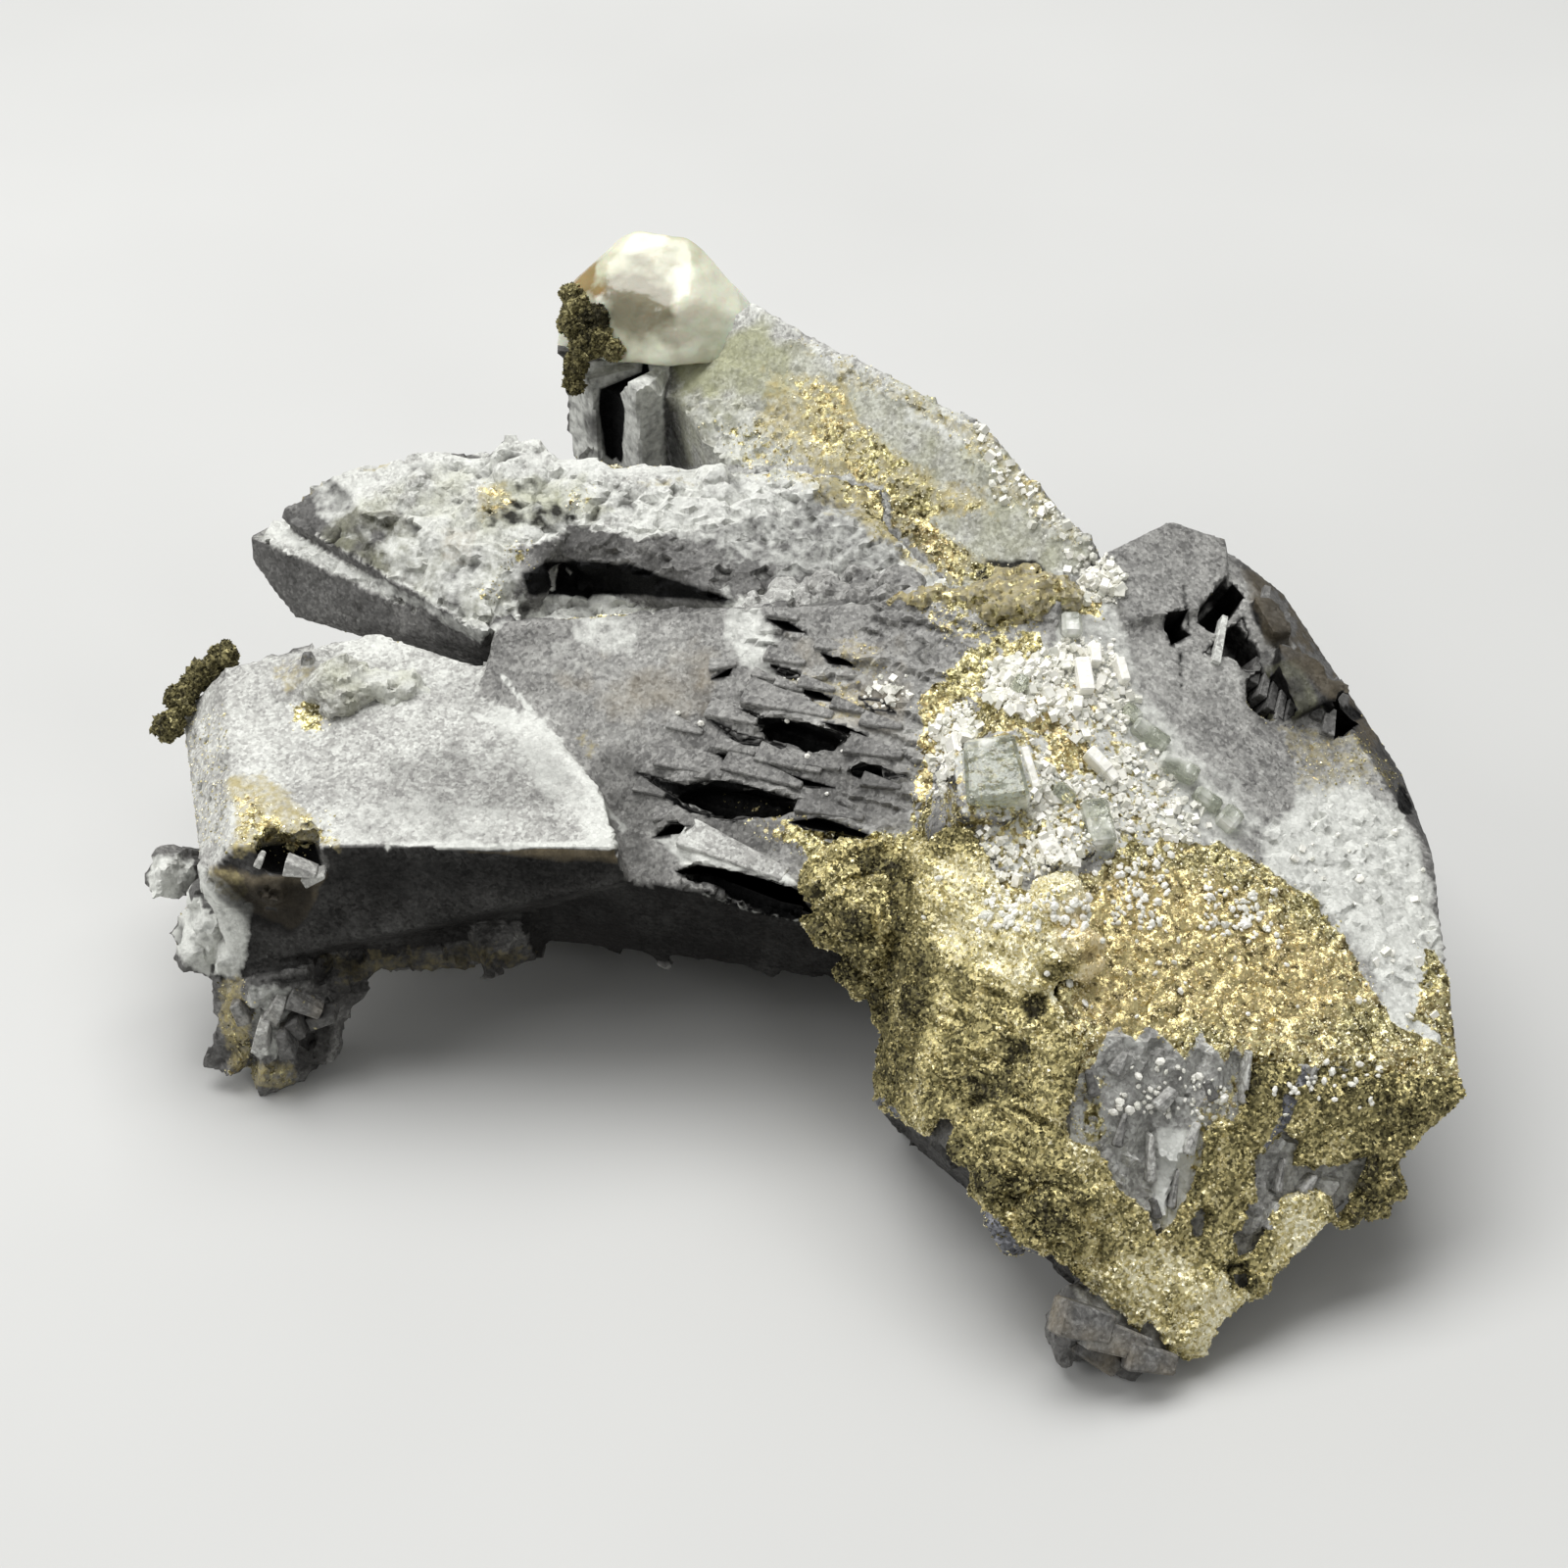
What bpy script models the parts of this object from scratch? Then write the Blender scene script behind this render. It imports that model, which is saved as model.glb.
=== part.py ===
"""Calcite and pyrite cluster: dark grey calcite crystals grown through each other, with a pyrite crust.

Every crystal is given as a crystallographer would: a centre, and for each flat face the compass
bearing and the tilt that it looks towards, with its distance from the centre in millimetres.
X runs to the right, Y away from the front, Z up. The cluster stands at z = 0 on the flat undersides
of its block, its broken base, its centre body and a small foot under the left crystal.
"""

import math
import random
from dataclasses import dataclass

import bmesh
import bpy
from mathutils import Matrix, Vector

# Driving dimensions, in millimetres unless a name says otherwise
MM = 0.001
BLOCK_REACH = 75.0          # half side of the rough block that each crystal is cut from
ORIGIN_X, ORIGIN_Y = -0.4, 3.0   # the point of the floor that becomes the origin
CONTACT_GAP = 0.3           # clear space between the pyrite and the calcite under it
CRUST_FACE = 1.2            # how far the outside of the pyrite crust stands off the calcite
BUMP_RISE = 0.7             # how far its bumps rise above that
WINDOW_DEPTH = 4.0          # reach of the cutters that open windows in the crust
WINDOW_ROOT = 1.0           # how far those cutters start below the calcite's face
RIM_ROOT = 2.0              # the same for the cutters that make the crust's rim ragged
SLOT_DEPTH = 2.6            # depth of the dark slots under the shingled ledges
STEP_DEPTH = 3.0            # depth of the stepped notches beside the flank
CORNER_DEPTH = 2.4          # depth of the broken corner of the left crystal
CUT_CLEARANCE = 3.0         # how far a slot's cutter stands out of the face
NOTCH_CLEARANCE = 4.0       # the same for a notch, which also passes the raised steps
PRISM_ROOT = 2.0            # how deep a raised shape is rooted in its crystal
TERRACE_RISE = 0.7
STEP_RISE = 1.5
CLEAR_RISE = 1.0            # rise of the bases of the clear crystals
SHINGLE_LIP = 0.75          # how far a shingle's lip stands off the centre body
SHINGLE_ROOT = 1.2
SHINGLE_RUN = 4.6           # how far a shingle reaches uphill of its slot
TOOTH_ROOT = 3.4            # how deep a tooth is rooted behind the lower front face
TOOTH_LINE = -3.6           # height on that face that the teeth hang from
LEAN_BACK, LEAN_SIDE = 0.18, 0.14   # how much a calcite rhomb leans for each mm of its height
LUMP_SPREAD = (0.8, 1.12)   # how far a lump's corners are pushed in or out
FLOOR_SLAB = 30.0           # thickness of the cutter that trims the undersides flat
FLOOR_SPAN = 300.0          # its length and width
DRUSE_SEED = 11

Facets = dict[str, tuple[float, float, float]]


@dataclass(frozen=True)
class Crystal:
    """One crystal: its centre in mm, and each face as (bearing, tilt, distance) in degrees and mm."""

    centre: tuple[float, float, float]
    facets: Facets


BIG_BLOCK = Crystal((24, -18, 14), {
    "top": (-56, 61, 8.9),
    "flank": (3, 43, 19.1),
    "right": (6, -11, 19.6),
    "front": (-72, 35, 12.5),
    "left_front": (-129, 36, 14.2),
    "left": (-168, 10, 15.6),
    "left_back": (148, -5, 13.2),
    "low_left": (-142, -29, 19.2),
    "shoulder": (143, 38, 21.9),
    "left_shoulder": (175, 42, 18.1),
    "back": (79, 28, 29.4),
    "back_right": (34, 0, 23.5),
    "front_corner": (-113, 17, 18.2),
    "low_right": (-31, -43, 19.1),
    "underside": (-95, -70, 19.0),
    "low_back": (90, -50, 15.0),
})
LEFT_CRYSTAL = Crystal((-27, -3, 16), {
    "top": (-104, 78, 6.6),
    "front": (-93, 4, 11.3),
    "left_bevel": (-163, 37, 13.2),
    "left_end": (-169, -11, 14.7),
    "right_tip": (10, 13, 14.0),
    "right_back": (33, 13, 9.6),
    "back_right": (64, 15, 8.8),
    "back": (106, 18, 11.4),
    "underside": (-74, -44, 9.9),
    "bottom": (0, -88, 9.0),
})
BACK_CRYSTAL = Crystal((4, 27, 22), {
    "broad": (-124, 45, 5.8),
    "far_side": (46, 34, 8.9),
    "far_root": (27, 31, 11.6),
    "lower_side": (-140, -34, 6.4),
    "underside": (56, -45, 7.2),
    "end_left": (-150, -8, 7.0),
    "end_west": (170, 0, 23.0),
    "end_far": (118, 14, 18.6),
    "end_top": (146, 58, 17.0),
    "root": (-40, 0, 24.0),
})
CENTRE_BODY = Crystal((4, -4, 16), {
    "broad": (-112, 52, 10.0),
    "lower_front": (-104, -14, 12.5),
    "underside": (-95, -65, 10.0),
    "back": (93, 51, 14.1),
    "back_low": (75, -25, 16.0),
    "right": (-20, 0, 14.0),
    "left": (168, 5, 26.5),
})
TIP_CAP = Crystal((-10.2, 39.6, 32.8), {
    "crown": (-95, 66, 4.0),
    "crown_right": (-30, 52, 4.9),
    "crown_left": (-165, 50, 5.2),
    "front": (-108, 24, 4.8),
    "front_right": (-55, 18, 6.0),
    "right": (-8, 20, 6.8),
    "left": (178, 12, 6.6),
    "left_front": (-145, 5, 6.0),
    "back": (80, 30, 4.4),
    "back_right": (30, 34, 5.4),
    "back_left": (135, 25, 5.6),
    "bottom": (-90, -70, 4.2),
})
BROKEN_BASE = Crystal((20, 15, 8), {
    "floor": (0, -90, 9.0),
    "front": (-95, -12, 10.5),
    "left": (-175, -8, 13.0),
    "left_back": (128, -14, 13.0),
    "back": (84, -10, 12.5),
    "right_back": (38, -12, 14.0),
    "right": (-12, -16, 14.0),
    "top": (80, 66, 7.0),
})
CRYSTALS = (BIG_BLOCK, LEFT_CRYSTAL, BACK_CRYSTAL, CENTRE_BODY, TIP_CAP, BROKEN_BASE)

# The long middle crystal is a broken slab in two tiers, given by its corners
MIDDLE_LOWER_TIER = (
    (-40.7, 18.8, 24.5), (-38, 18.7, 24.5), (-32.9, 14.5, 24), (-25.4, 10, 23), (-22.4, 7.6, 22),
    (-40.8, 18.7, 22), (-37.3, 15.5, 19), (-31.5, 13.2, 19), (-22.7, 10, 18),
    (-36, 24, 24), (-15, 24, 26), (2, 24, 24), (-34, 24, 19), (-15, 24, 15), (6, 20, 12),
    (2, 4, 20), (2, 8, 14),
)
MIDDLE_UPPER_LEFT = (
    (-38.4, 19.2, 26), (-33.7, 21.6, 28.5), (-28.8, 20.8, 30), (-17.7, 20, 31),
    (-36.1, 18.5, 25.5), (-28.8, 12, 24.8), (-21.8, 6.4, 23.8), (-19.4, 11.2, 25.2),
    (-36, 18.5, 23.5), (-28.8, 12.5, 22.5), (-22, 7, 22), (-20, 12, 22.5), (-18, 22, 26), (-33, 22, 25),
)
MIDDLE_UPPER_RIGHT = (
    (-19, 19, 30.6), (-3.7, 18.4, 30), (4.6, 19.2, 29), (8.3, 12.7, 27.5), (-17, 13.8, 26.4),
    (-6.6, 10.5, 25.8), (-3.7, 8.1, 25.3), (12, 10.7, 25), (9, 4, 23),
    (-17, 14.5, 24), (-6.6, 11.5, 23), (-3.7, 9, 22.5), (-15, 24, 27), (2, 24, 26), (6, 20, 20), (8, 4, 18),
)

# Outlines on a crystal face, as (across, up) in mm from the foot of the line from the crystal's centre
TERRACE = ((9.4, 24.8), (15.8, 25.2), (19.0, 22.4), (17.2, 19.5), (13.9, 18.1), (11.4, 18.8), (8.0, 19.4))
STEP_NOTCHES = (
    ((11.1, 18.8), (12.7, 18.6), (12.0, 17.4), (10.6, 17.1)),
    ((13.4, 17.6), (13.9, 18.4), (17.2, 19.8), (17.9, 18.0), (14.3, 16.3)),
    ((12.3, 15.3), (16.4, 16.8), (16.6, 13.6), (14.7, 12.8), (14.4, 14.6)),
    ((14.5, 12.6), (16.4, 12.6), (14.2, 8.6), (13.2, 10.6)),
    ((19.3, 9.2), (18.0, 5.9), (20.6, 6.2)),
)
RAISED_STEPS = (
    ((17.4, 13.6), (19.6, 11.0), (18.4, 8.4), (15.3, 8.3), (16.2, 12.0)),
    ((17.6, 17.4), (19.2, 16.8), (19.0, 13.8), (17.2, 14.2)),
    ((18.6, 10.4), (20.2, 9.0), (19.8, 6.8), (18.2, 7.6)),
)
HIDDEN_STEPS = (
    (BACK_CRYSTAL, "far_side", ((-9.0, -7.0), (0.0, -9.0), (3.0, -3.0), (-2.0, 0.0), (-8.0, -1.0)), 0.9),
    (BACK_CRYSTAL, "far_side", ((4.0, -9.0), (11.0, -8.0), (12.0, -1.0), (6.0, 1.0)), 1.1),
    (BACK_CRYSTAL, "far_root", ((-7.0, -9.0), (0.0, -8.0), (1.0, -2.0), (-5.0, -1.0)), 0.8),
    (BIG_BLOCK, "right", ((-11.0, -4.0), (2.0, -6.0), (4.0, 1.0), (-2.0, 4.0), (-10.0, 2.0)), 0.7),
)
CLEAR_CRYSTALS = (
    ((-9.5, 15.6), (-4.2, 15.4), (-4.6, 11.0), (-8.6, 9.6), (-11.4, 11.4)),
    ((-6.6, 9.0), (-3.6, 8.2), (-4.0, 5.4), (-7.6, 5.6)),
)
CRUST_WINDOWS = (
    (
        (-8.0, -2.0), (-6.1, -2.4), (-5.0, -3.6), (-4.0, -4.3), (-2.2, -3.0), (-1.3, -6.0), (-1.1, -8.4),
        (1.0, -5.9), (2.6, -3.5), (3.3, -4.2), (2.5, -6.3), (0.7, -9.7), (-1.6, -10.1), (-3.1, -13.1),
        (-5.0, -15.5), (-6.7, -16.4), (-6.8, -14.6), (-8.7, -12.2), (-9.4, -9.5), (-11.4, -8.9),
        (-11.1, -7.2), (-10.4, -5.9), (-9.5, -3.9),
    ),
    (
        (3.4, -11.1), (4.6, -12.2), (3.8, -13.6), (6.6, -14.2), (9.4, -13.9), (8.5, -15.4), (6.8, -18.0),
        (5.9, -18.4), (6.0, -16.7), (5.0, -15.6), (2.6, -15.5), (1.6, -16.5), (0.2, -18.6), (-1.4, -18.8),
        (-1.3, -17.3), (0.5, -15.1), (1.1, -12.6),
    ),
    ((-2.6, -14.0), (-3.0, -16.5), (-4.0, -16.8), (-4.1, -15.9)),
    ((6.0, -7.1), (7.1, -7.3), (6.2, -9.0), (5.3, -9.4)),
    ((-1.8, -19.4), (-0.5, -19.8), (-0.9, -21.0), (-1.8, -20.8)),
)
CRUST_RIM_CUTS = (
    ("left_front", ((-2.6, -17.5), (-2.2, -13.8), (-1.5, -12.4), (-0.6, -12.5), (-0.1, -15.6), (0.4, -18.0))),
    ("left_front", ((3.0, -19.0), (4.2, -17.2), (6.6, -19.6))),
    ("left", ((-1.4, -16.0), (0.6, -12.6), (2.0, -16.0))),
    ("left", ((4.4, -15.0), (6.0, -10.6), (7.6, -12.0))),
    ("front", ((-12.6, -22.0), (-11.8, -19.0), (-10.4, -22.0))),
    ("front", ((-9.4, -24.0), (-8.2, -20.8), (-7.2, -22.4), (-7.6, -25.0))),
    ("front", ((-3.4, -26.0), (-1.2, -22.2), (0.0, -23.2), (0.6, -27.0))),
    ("front", ((9.2, -22.0), (10.0, -17.4), (12.4, -18.0))),
)
SLOTS = (
    ((-4.6, 2.2), (-2.8, 3.2), (2.2, 2.7), (0.0, 1.2), (-3.6, 1.3)),
    ((-9.4, -4.2), (-6.8, -2.6), (-3.4, -2.4), (0.9, -2.6), (-1.5, -3.8), (-4.8, -4.8)),
    ((2.7, 0.4), (3.4, 1.2), (6.8, 1.2), (4.5, 0.2)),
    ((-6.7, -9.1), (-5.4, -8.4), (1.9, -8.5), (2.3, -10.2), (-3.1, -10.0)),
    ((-9.2, -7.1), (-8.1, -6.0), (-6.8, -6.0), (-7.8, -6.8)),
    ((0.8, -4.3), (2.1, -3.5), (5.9, -3.7), (5.0, -4.7)),
    ((-1.0, 7.6), (0.0, 8.4), (2.6, 7.8), (1.4, 7.2)),
)
BROKEN_CORNER = ((-9.0, 3.6), (-4.4, 3.9), (-3.6, 1.5), (-8.2, 1.4))

# Small crystals as (centre, (width, depth, height), (turn about x, y, z in degrees))
SMALL_CRYSTALS = (
    ((-35.6, -14.0, 5.4), (4.2, 3.4, 8.6), (8, -6, 15)),
    ((-38.6, -14.6, 5.0), (2.4, 3.0, 7.6), (-6, 10, -20)),
    ((-36.2, -15.2, 1.0), (3.8, 2.6, 2.6), (12, 8, 30)),
    ((-32.6, -13.4, 4.8), (2.4, 2.6, 5.6), (5, 14, 40)),
    ((-31.4, -12.6, 7.4), (3.4, 2.4, 2.4), (20, 30, 25)),
    ((-37.0, -11.0, 8.0), (7.0, 6.0, 5.0), (10, 5, 10)),
    ((-26.0, -9.0, 9.0), (8.0, 5.0, 3.4), (6, 4, 14)),
    ((-20.0, -10.0, 9.6), (5.0, 4.0, 3.6), (12, -6, 30)),
    ((-41.0, -10.6, 10.4), (3.8, 4.0, 4.8), (15, 25, 35)),
    ((-43.4, -7.0, 12.4), (4.6, 2.4, 2.6), (0, 28, 38)),
    ((20.0, -41.0, 3.0), (4.4, 3.6, 3.6), (18, 10, 25)),
    ((22.6, -42.0, 1.4), (3.6, 3.2, 2.8), (-12, 16, -25)),
    ((19.0, -40.2, 0.9), (3.4, 2.8, 2.2), (10, -14, 50)),
    ((24.6, -41.2, 1.0), (3.0, 2.8, 2.4), (4, 20, 10)),
    ((-24.5, 21.5, 24.0), (9.0, 6.0, 7.0), (14, 8, 30)),
    ((12.0, 24.0, 18.0), (12.0, 11.0, 9.0), (25, 12, 40)),
    ((33.5, 6.0, 12.0), (10.0, 10.0, 12.0), (12, 18, 30)),
    ((-2.0, 16.0, 12.0), (12.0, 11.0, 11.0), (20, 30, 35)),
    ((-14.5, 8.0, 12.5), (11.0, 10.0, 9.0), (12, 24, 20)),
    ((20.0, 27.0, 6.0), (9.0, 8.0, 8.0), (22, 15, 20)),
    ((7.0, 22.0, 5.0), (8.0, 7.0, 6.0), (14, 24, 50)),
)
BLADES = (
    ((-11.6, 34.6, 24.0), (3.0, 5.0, 13.0), (14, -12, 38)),
    ((-15.6, 37.4, 25.0), (2.2, 4.4, 11.5), (8, -10, 44)),
)

# Teeth hang from the lower front edge: distance along it, length and width, in mm
TEETH = ((-24.0, 2.6, 3.0), (-21.4, 1.8, 2.6), (-16.0, 1.6, 2.4), (-14.4, 2.6, 2.4), (-11.0, 3.0, 2.6),
         (-8.4, 1.4, 2.6), (-5.6, 1.2, 2.2), (-3.0, 2.4, 3.0), (0.0, 1.4, 2.6), (3.0, 1.8, 2.6))

MIDDLE_SLOPE = (-98, 52)    # the way that the middle crystal's crusted top faces

# Lumps of crust as (centre, radius, flatness along the surface's normal)
MIDDLE_LUMPS = (
    ((-31.0, 17.6, 26.0), 4.0, 0.5), ((-27.6, 14.2, 25.0), 3.8, 0.45), ((-26.6, 18.8, 28.0), 4.2, 0.5),
    ((-24.4, 11.8, 24.4), 3.4, 0.5), ((-21.8, 9.2, 23.4), 2.8, 0.55), ((-22.6, 15.6, 27.0), 4.0, 0.45),
    ((-20.0, 19.4, 29.6), 3.6, 0.5), ((-18.4, 14.8, 26.8), 3.4, 0.55), ((-19.0, 11.6, 25.0), 2.4, 0.7),
    ((-15.0, 17.8, 28.8), 3.6, 0.5), ((-14.2, 14.0, 26.2), 2.6, 0.7), ((-10.4, 16.4, 28.2), 3.6, 0.4),
    ((-5.4, 16.4, 28.0), 4.0, 0.36), ((0.0, 16.8, 27.8), 4.0, 0.36), ((5.0, 16.4, 27.0), 3.4, 0.4),
    ((-8.0, 11.8, 25.4), 3.2, 0.4), ((-2.0, 11.0, 25.2), 3.6, 0.36), ((4.4, 11.4, 25.2), 3.4, 0.36),
)
LEFT_TOP_LUMPS = (
    ((-35.6, 1.0, 22.8), 1.6, 0.7), ((-34.0, 2.6, 23.4), 2.0, 0.7), ((-31.4, 2.4, 23.4), 1.7, 0.6),
    ((-29.0, 1.6, 23.2), 1.4, 0.7), ((-27.0, 1.6, 23.3), 1.2, 0.7),
)
BROKEN_CHIPS = (
    ((-38.4, -12.4, 16.4), 2.8, 0.8), ((-35.4, -12.6, 16.8), 2.9, 0.8), ((-34.4, -12.2, 15.2), 2.4, 0.8),
)
KNOB_LUMPS = (
    ((3.4, -16.4, 19.2), 2.4, 0.9), ((6.6, -15.8, 20.8), 2.3, 0.9), ((9.0, -17.0, 20.4), 2.5, 0.9),
    ((5.4, -18.2, 17.8), 2.9, 1.0), ((3.4, -17.4, 16.6), 2.4, 1.0), ((7.2, -18.6, 15.0), 2.9, 1.0),
    ((5.8, -17.2, 12.2), 2.4, 1.1), ((8.4, -18.8, 18.4), 2.5, 1.0), ((7.6, -19.4, 11.6), 2.2, 1.1),
    ((0.6, -14.6, 20.2), 1.6, 0.6), ((-1.8, -13.8, 20.6), 1.3, 0.6), ((9.4, -14.0, 24.0), 1.9, 0.9),
)
BACK_TUFT_LUMPS = (
    ((-15.6, 37.6, 33.4), 1.7, 1.0), ((-16.6, 38.4, 31.4), 1.9, 1.0), ((-15.0, 36.2, 30.8), 1.6, 1.0),
    ((-17.6, 39.8, 33.8), 1.5, 1.0), ((-17.6, 38.8, 29.2), 1.4, 1.0), ((-13.8, 35.0, 31.6), 1.2, 1.0),
)
LEFT_TUFT_LUMPS = (
    ((-42.4, 4.6, 21.6), 1.5, 1.0), ((-43.8, 3.2, 20.4), 1.6, 0.9), ((-44.6, 1.4, 19.4), 1.3, 0.9),
    ((-41.0, 5.6, 22.6), 1.3, 0.9), ((-45.2, -0.2, 18.4), 1.0, 0.9),
)

# The scatter of lumps over the pyrite crust: face, across range, up range, how many, smallest and largest
CRUST_BUMPS = (
    ("left_front", (-8.0, 3.5), (-13.0, 3.0), 20, 1.7, 2.9),
    ("left_front", (1.0, 8.0), (-18.0, -14.0), 8, 1.5, 2.4),
    ("front", (-13.0, -9.0), (-17.0, -12.0), 7, 1.4, 2.3),
    ("front", (-7.5, 3.0), (-23.0, -19.5), 9, 1.4, 2.4),
    ("front", (6.5, 10.5), (-17.5, -13.5), 7, 1.4, 2.2),
    ("left", (-3.0, 9.0), (-9.0, 4.0), 7, 1.6, 2.4),
)


def direction(bearing: float, tilt: float) -> Vector:
    """Gives the unit vector of a compass bearing and a tilt above the horizon, both in degrees."""
    turn, rise = math.radians(bearing), math.radians(tilt)
    return Vector((math.cos(turn) * math.cos(rise), math.sin(turn) * math.cos(rise), math.sin(rise)))


def clear_scene() -> None:
    """Removes whatever the scene holds before the cluster is made."""
    for old in list(bpy.data.objects):
        bpy.data.objects.remove(old, do_unlink=True)


def mineral(name: str, colour: tuple, roughness: float, metallic: float) -> bpy.types.Material:
    """Makes a Principled material with a mineral's colour, roughness and metallic value."""
    material = bpy.data.materials.new(name)
    material.use_nodes = True
    shader = material.node_tree.nodes["Principled BSDF"]
    shader.inputs["Base Color"].default_value = (*colour, 1.0)
    shader.inputs["Roughness"].default_value = roughness
    shader.inputs["Metallic"].default_value = metallic
    material.diffuse_color = (*colour, 1.0)
    return material


def solid_from(name: str, shape: bmesh.types.BMesh) -> bpy.types.Object:
    """Turns a bmesh in millimetres into an object in metres, with its faces pointing out."""
    bmesh.ops.recalc_face_normals(shape, faces=shape.faces)
    bmesh.ops.scale(shape, vec=(MM, MM, MM), verts=shape.verts)
    mesh = bpy.data.meshes.new(name)
    shape.to_mesh(mesh)
    shape.free()
    made = bpy.data.objects.new(name, mesh)
    bpy.context.scene.collection.objects.link(made)
    return made


def cut_crystal(crystal: Crystal, grow: dict[str, float]) -> bpy.types.Object:
    """Cuts a crystal from a rough block, one plane for each face; grow moves the named faces outwards."""
    centre = Vector(crystal.centre)
    shape = bmesh.new()
    bmesh.ops.create_cube(shape, size=2 * BLOCK_REACH, matrix=Matrix.Translation(centre))
    for key, (bearing, tilt, distance) in crystal.facets.items():
        outward = direction(bearing, tilt)
        on_face = centre + outward * (distance + grow.get(key, 0.0))
        everything = [*shape.verts, *shape.edges, *shape.faces]
        cut = bmesh.ops.bisect_plane(
            shape, geom=everything, plane_co=on_face, plane_no=outward, clear_outer=True
        )
        rim = [item for item in cut["geom_cut"] if isinstance(item, bmesh.types.BMEdge)]
        if rim:
            bmesh.ops.contextual_create(shape, geom=rim)
    return solid_from("crystal", shape)


def hull_of(points: list[Vector] | tuple) -> bpy.types.Object:
    """Makes the convex solid that spans a set of corners."""
    shape = bmesh.new()
    for point in points:
        shape.verts.new(point)
    hull = bmesh.ops.convex_hull(shape, input=shape.verts)
    loose = [item for item in hull["geom_interior"] if isinstance(item, bmesh.types.BMVert)]
    bmesh.ops.delete(shape, geom=loose, context="VERTS")
    return solid_from("hull", shape)


def face_frame(crystal: Crystal, face: str) -> tuple[Vector, Vector, Vector, Vector]:
    """Gives a crystal face's origin, its level direction, its uphill direction and its normal."""
    bearing, tilt, distance = crystal.facets[face]
    outward = direction(bearing, tilt)
    across = Vector((-math.sin(math.radians(bearing)), math.cos(math.radians(bearing)), 0.0))
    return Vector(crystal.centre) + outward * distance, across, outward.cross(across), outward


def prism_on(crystal: Crystal, face: str, outline: tuple, low: float, high: float) -> bpy.types.Object:
    """Raises an outline drawn on a crystal face into a prism, from low to high along the face's normal."""
    origin, across, uphill, outward = face_frame(crystal, face)
    shape = bmesh.new()
    base = [shape.verts.new(origin + across * u + uphill * v + outward * low) for u, v in outline]
    raised = bmesh.ops.extrude_face_region(shape, geom=[shape.faces.new(base)])
    moved = [item for item in raised["geom"] if isinstance(item, bmesh.types.BMVert)]
    bmesh.ops.translate(shape, vec=outward * (high - low), verts=moved)
    return solid_from("prism", shape)


def block_at(centre: tuple, size: tuple, turn: tuple) -> bpy.types.Object:
    """Makes a small leaning calcite rhomb: a sheared block of the given size, turned about x, y and z."""
    lean = Matrix(((1, LEAN_BACK, LEAN_SIDE, 0), (0, 1, LEAN_BACK, 0), (0, 0, 1, 0), (0, 0, 0, 1)))
    turns = [Matrix.Rotation(math.radians(angle), 4, axis) for angle, axis in zip(turn, "XYZ")]
    place = Matrix.Translation(Vector(centre)) @ turns[2] @ turns[1] @ turns[0] @ lean
    shape = bmesh.new()
    bmesh.ops.create_cube(shape, size=1.0, matrix=place @ Matrix.Diagonal((*size, 1.0)))
    return solid_from("rhomb", shape)


def lump_at(
    centre: tuple | Vector, radius: float, flatness: float, dice: random.Random, facing: tuple = (0, 90)
) -> bpy.types.Object:
    """Makes one rough lump: an icosahedron with its corners pushed in or out, flattened the way it faces."""
    shape = bmesh.new()
    spin = Matrix.Rotation(dice.uniform(0.0, math.tau), 4, "Z")
    turn = spin @ Matrix.Rotation(dice.uniform(0.0, 1.5), 4, "X")
    bmesh.ops.create_icosphere(shape, subdivisions=1, radius=radius, matrix=turn)
    for corner in shape.verts:
        corner.co *= dice.uniform(*LUMP_SPREAD)
    bmesh.ops.scale(shape, vec=(1.0, 1.0, flatness), verts=shape.verts)
    lean = direction(*facing).to_track_quat("Z", "Y").to_matrix()
    bmesh.ops.rotate(shape, cent=(0.0, 0.0, 0.0), matrix=lean, verts=shape.verts)
    bmesh.ops.translate(shape, vec=centre, verts=shape.verts)
    return solid_from("lump", shape)


def combine(target: bpy.types.Object, others: list[bpy.types.Object], operation: str) -> None:
    """Applies one Boolean to the target for each of the other solids, and removes them."""
    for other in others:
        boolean = target.modifiers.new("combine", "BOOLEAN")
        boolean.operation = operation
        boolean.solver = "EXACT"
        boolean.object = other
        graph = bpy.context.evaluated_depsgraph_get()
        result = bpy.data.meshes.new_from_object(target.evaluated_get(graph))
        target.modifiers.clear()
        target.data = result
        bpy.data.objects.remove(other, do_unlink=True)


def keep_main_shell(target: bpy.types.Object) -> None:
    """Keeps the largest connected shell, dropping crumbs and closed-off hollows left by the Booleans."""
    shape = bmesh.new()
    shape.from_mesh(target.data)
    bmesh.ops.remove_doubles(shape, verts=shape.verts, dist=2e-6)
    bmesh.ops.dissolve_degenerate(shape, edges=shape.edges, dist=2e-6)
    unseen = set(shape.faces)
    shells = []
    while unseen:
        front = [unseen.pop()]
        shell = set(front)
        while front:
            near = {face for known in front for edge in known.edges for face in edge.link_faces} & unseen
            unseen -= near
            shell |= near
            front = list(near)
        shells.append(shell)
    main_shell = max(shells, key=lambda shell: sum(face.calc_area() for face in shell))
    crumbs = [face for face in shape.faces if face not in main_shell]
    bmesh.ops.delete(shape, geom=crumbs, context="FACES")
    bmesh.ops.triangulate(shape, faces=shape.faces)
    shape.to_mesh(target.data)
    shape.free()


def finish_node(
    target: bpy.types.Object, name: str, material: bpy.types.Material, holder: bpy.types.Object
) -> None:
    """Names a finished solid, gives it its one material and hangs it on the cluster's empty."""
    keep_main_shell(target)
    target.name = name
    target.data.name = name
    target.data.materials.clear()
    target.data.materials.append(material)
    target.data.polygons.foreach_set("use_smooth", [False] * len(target.data.polygons))
    target.parent = holder


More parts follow.
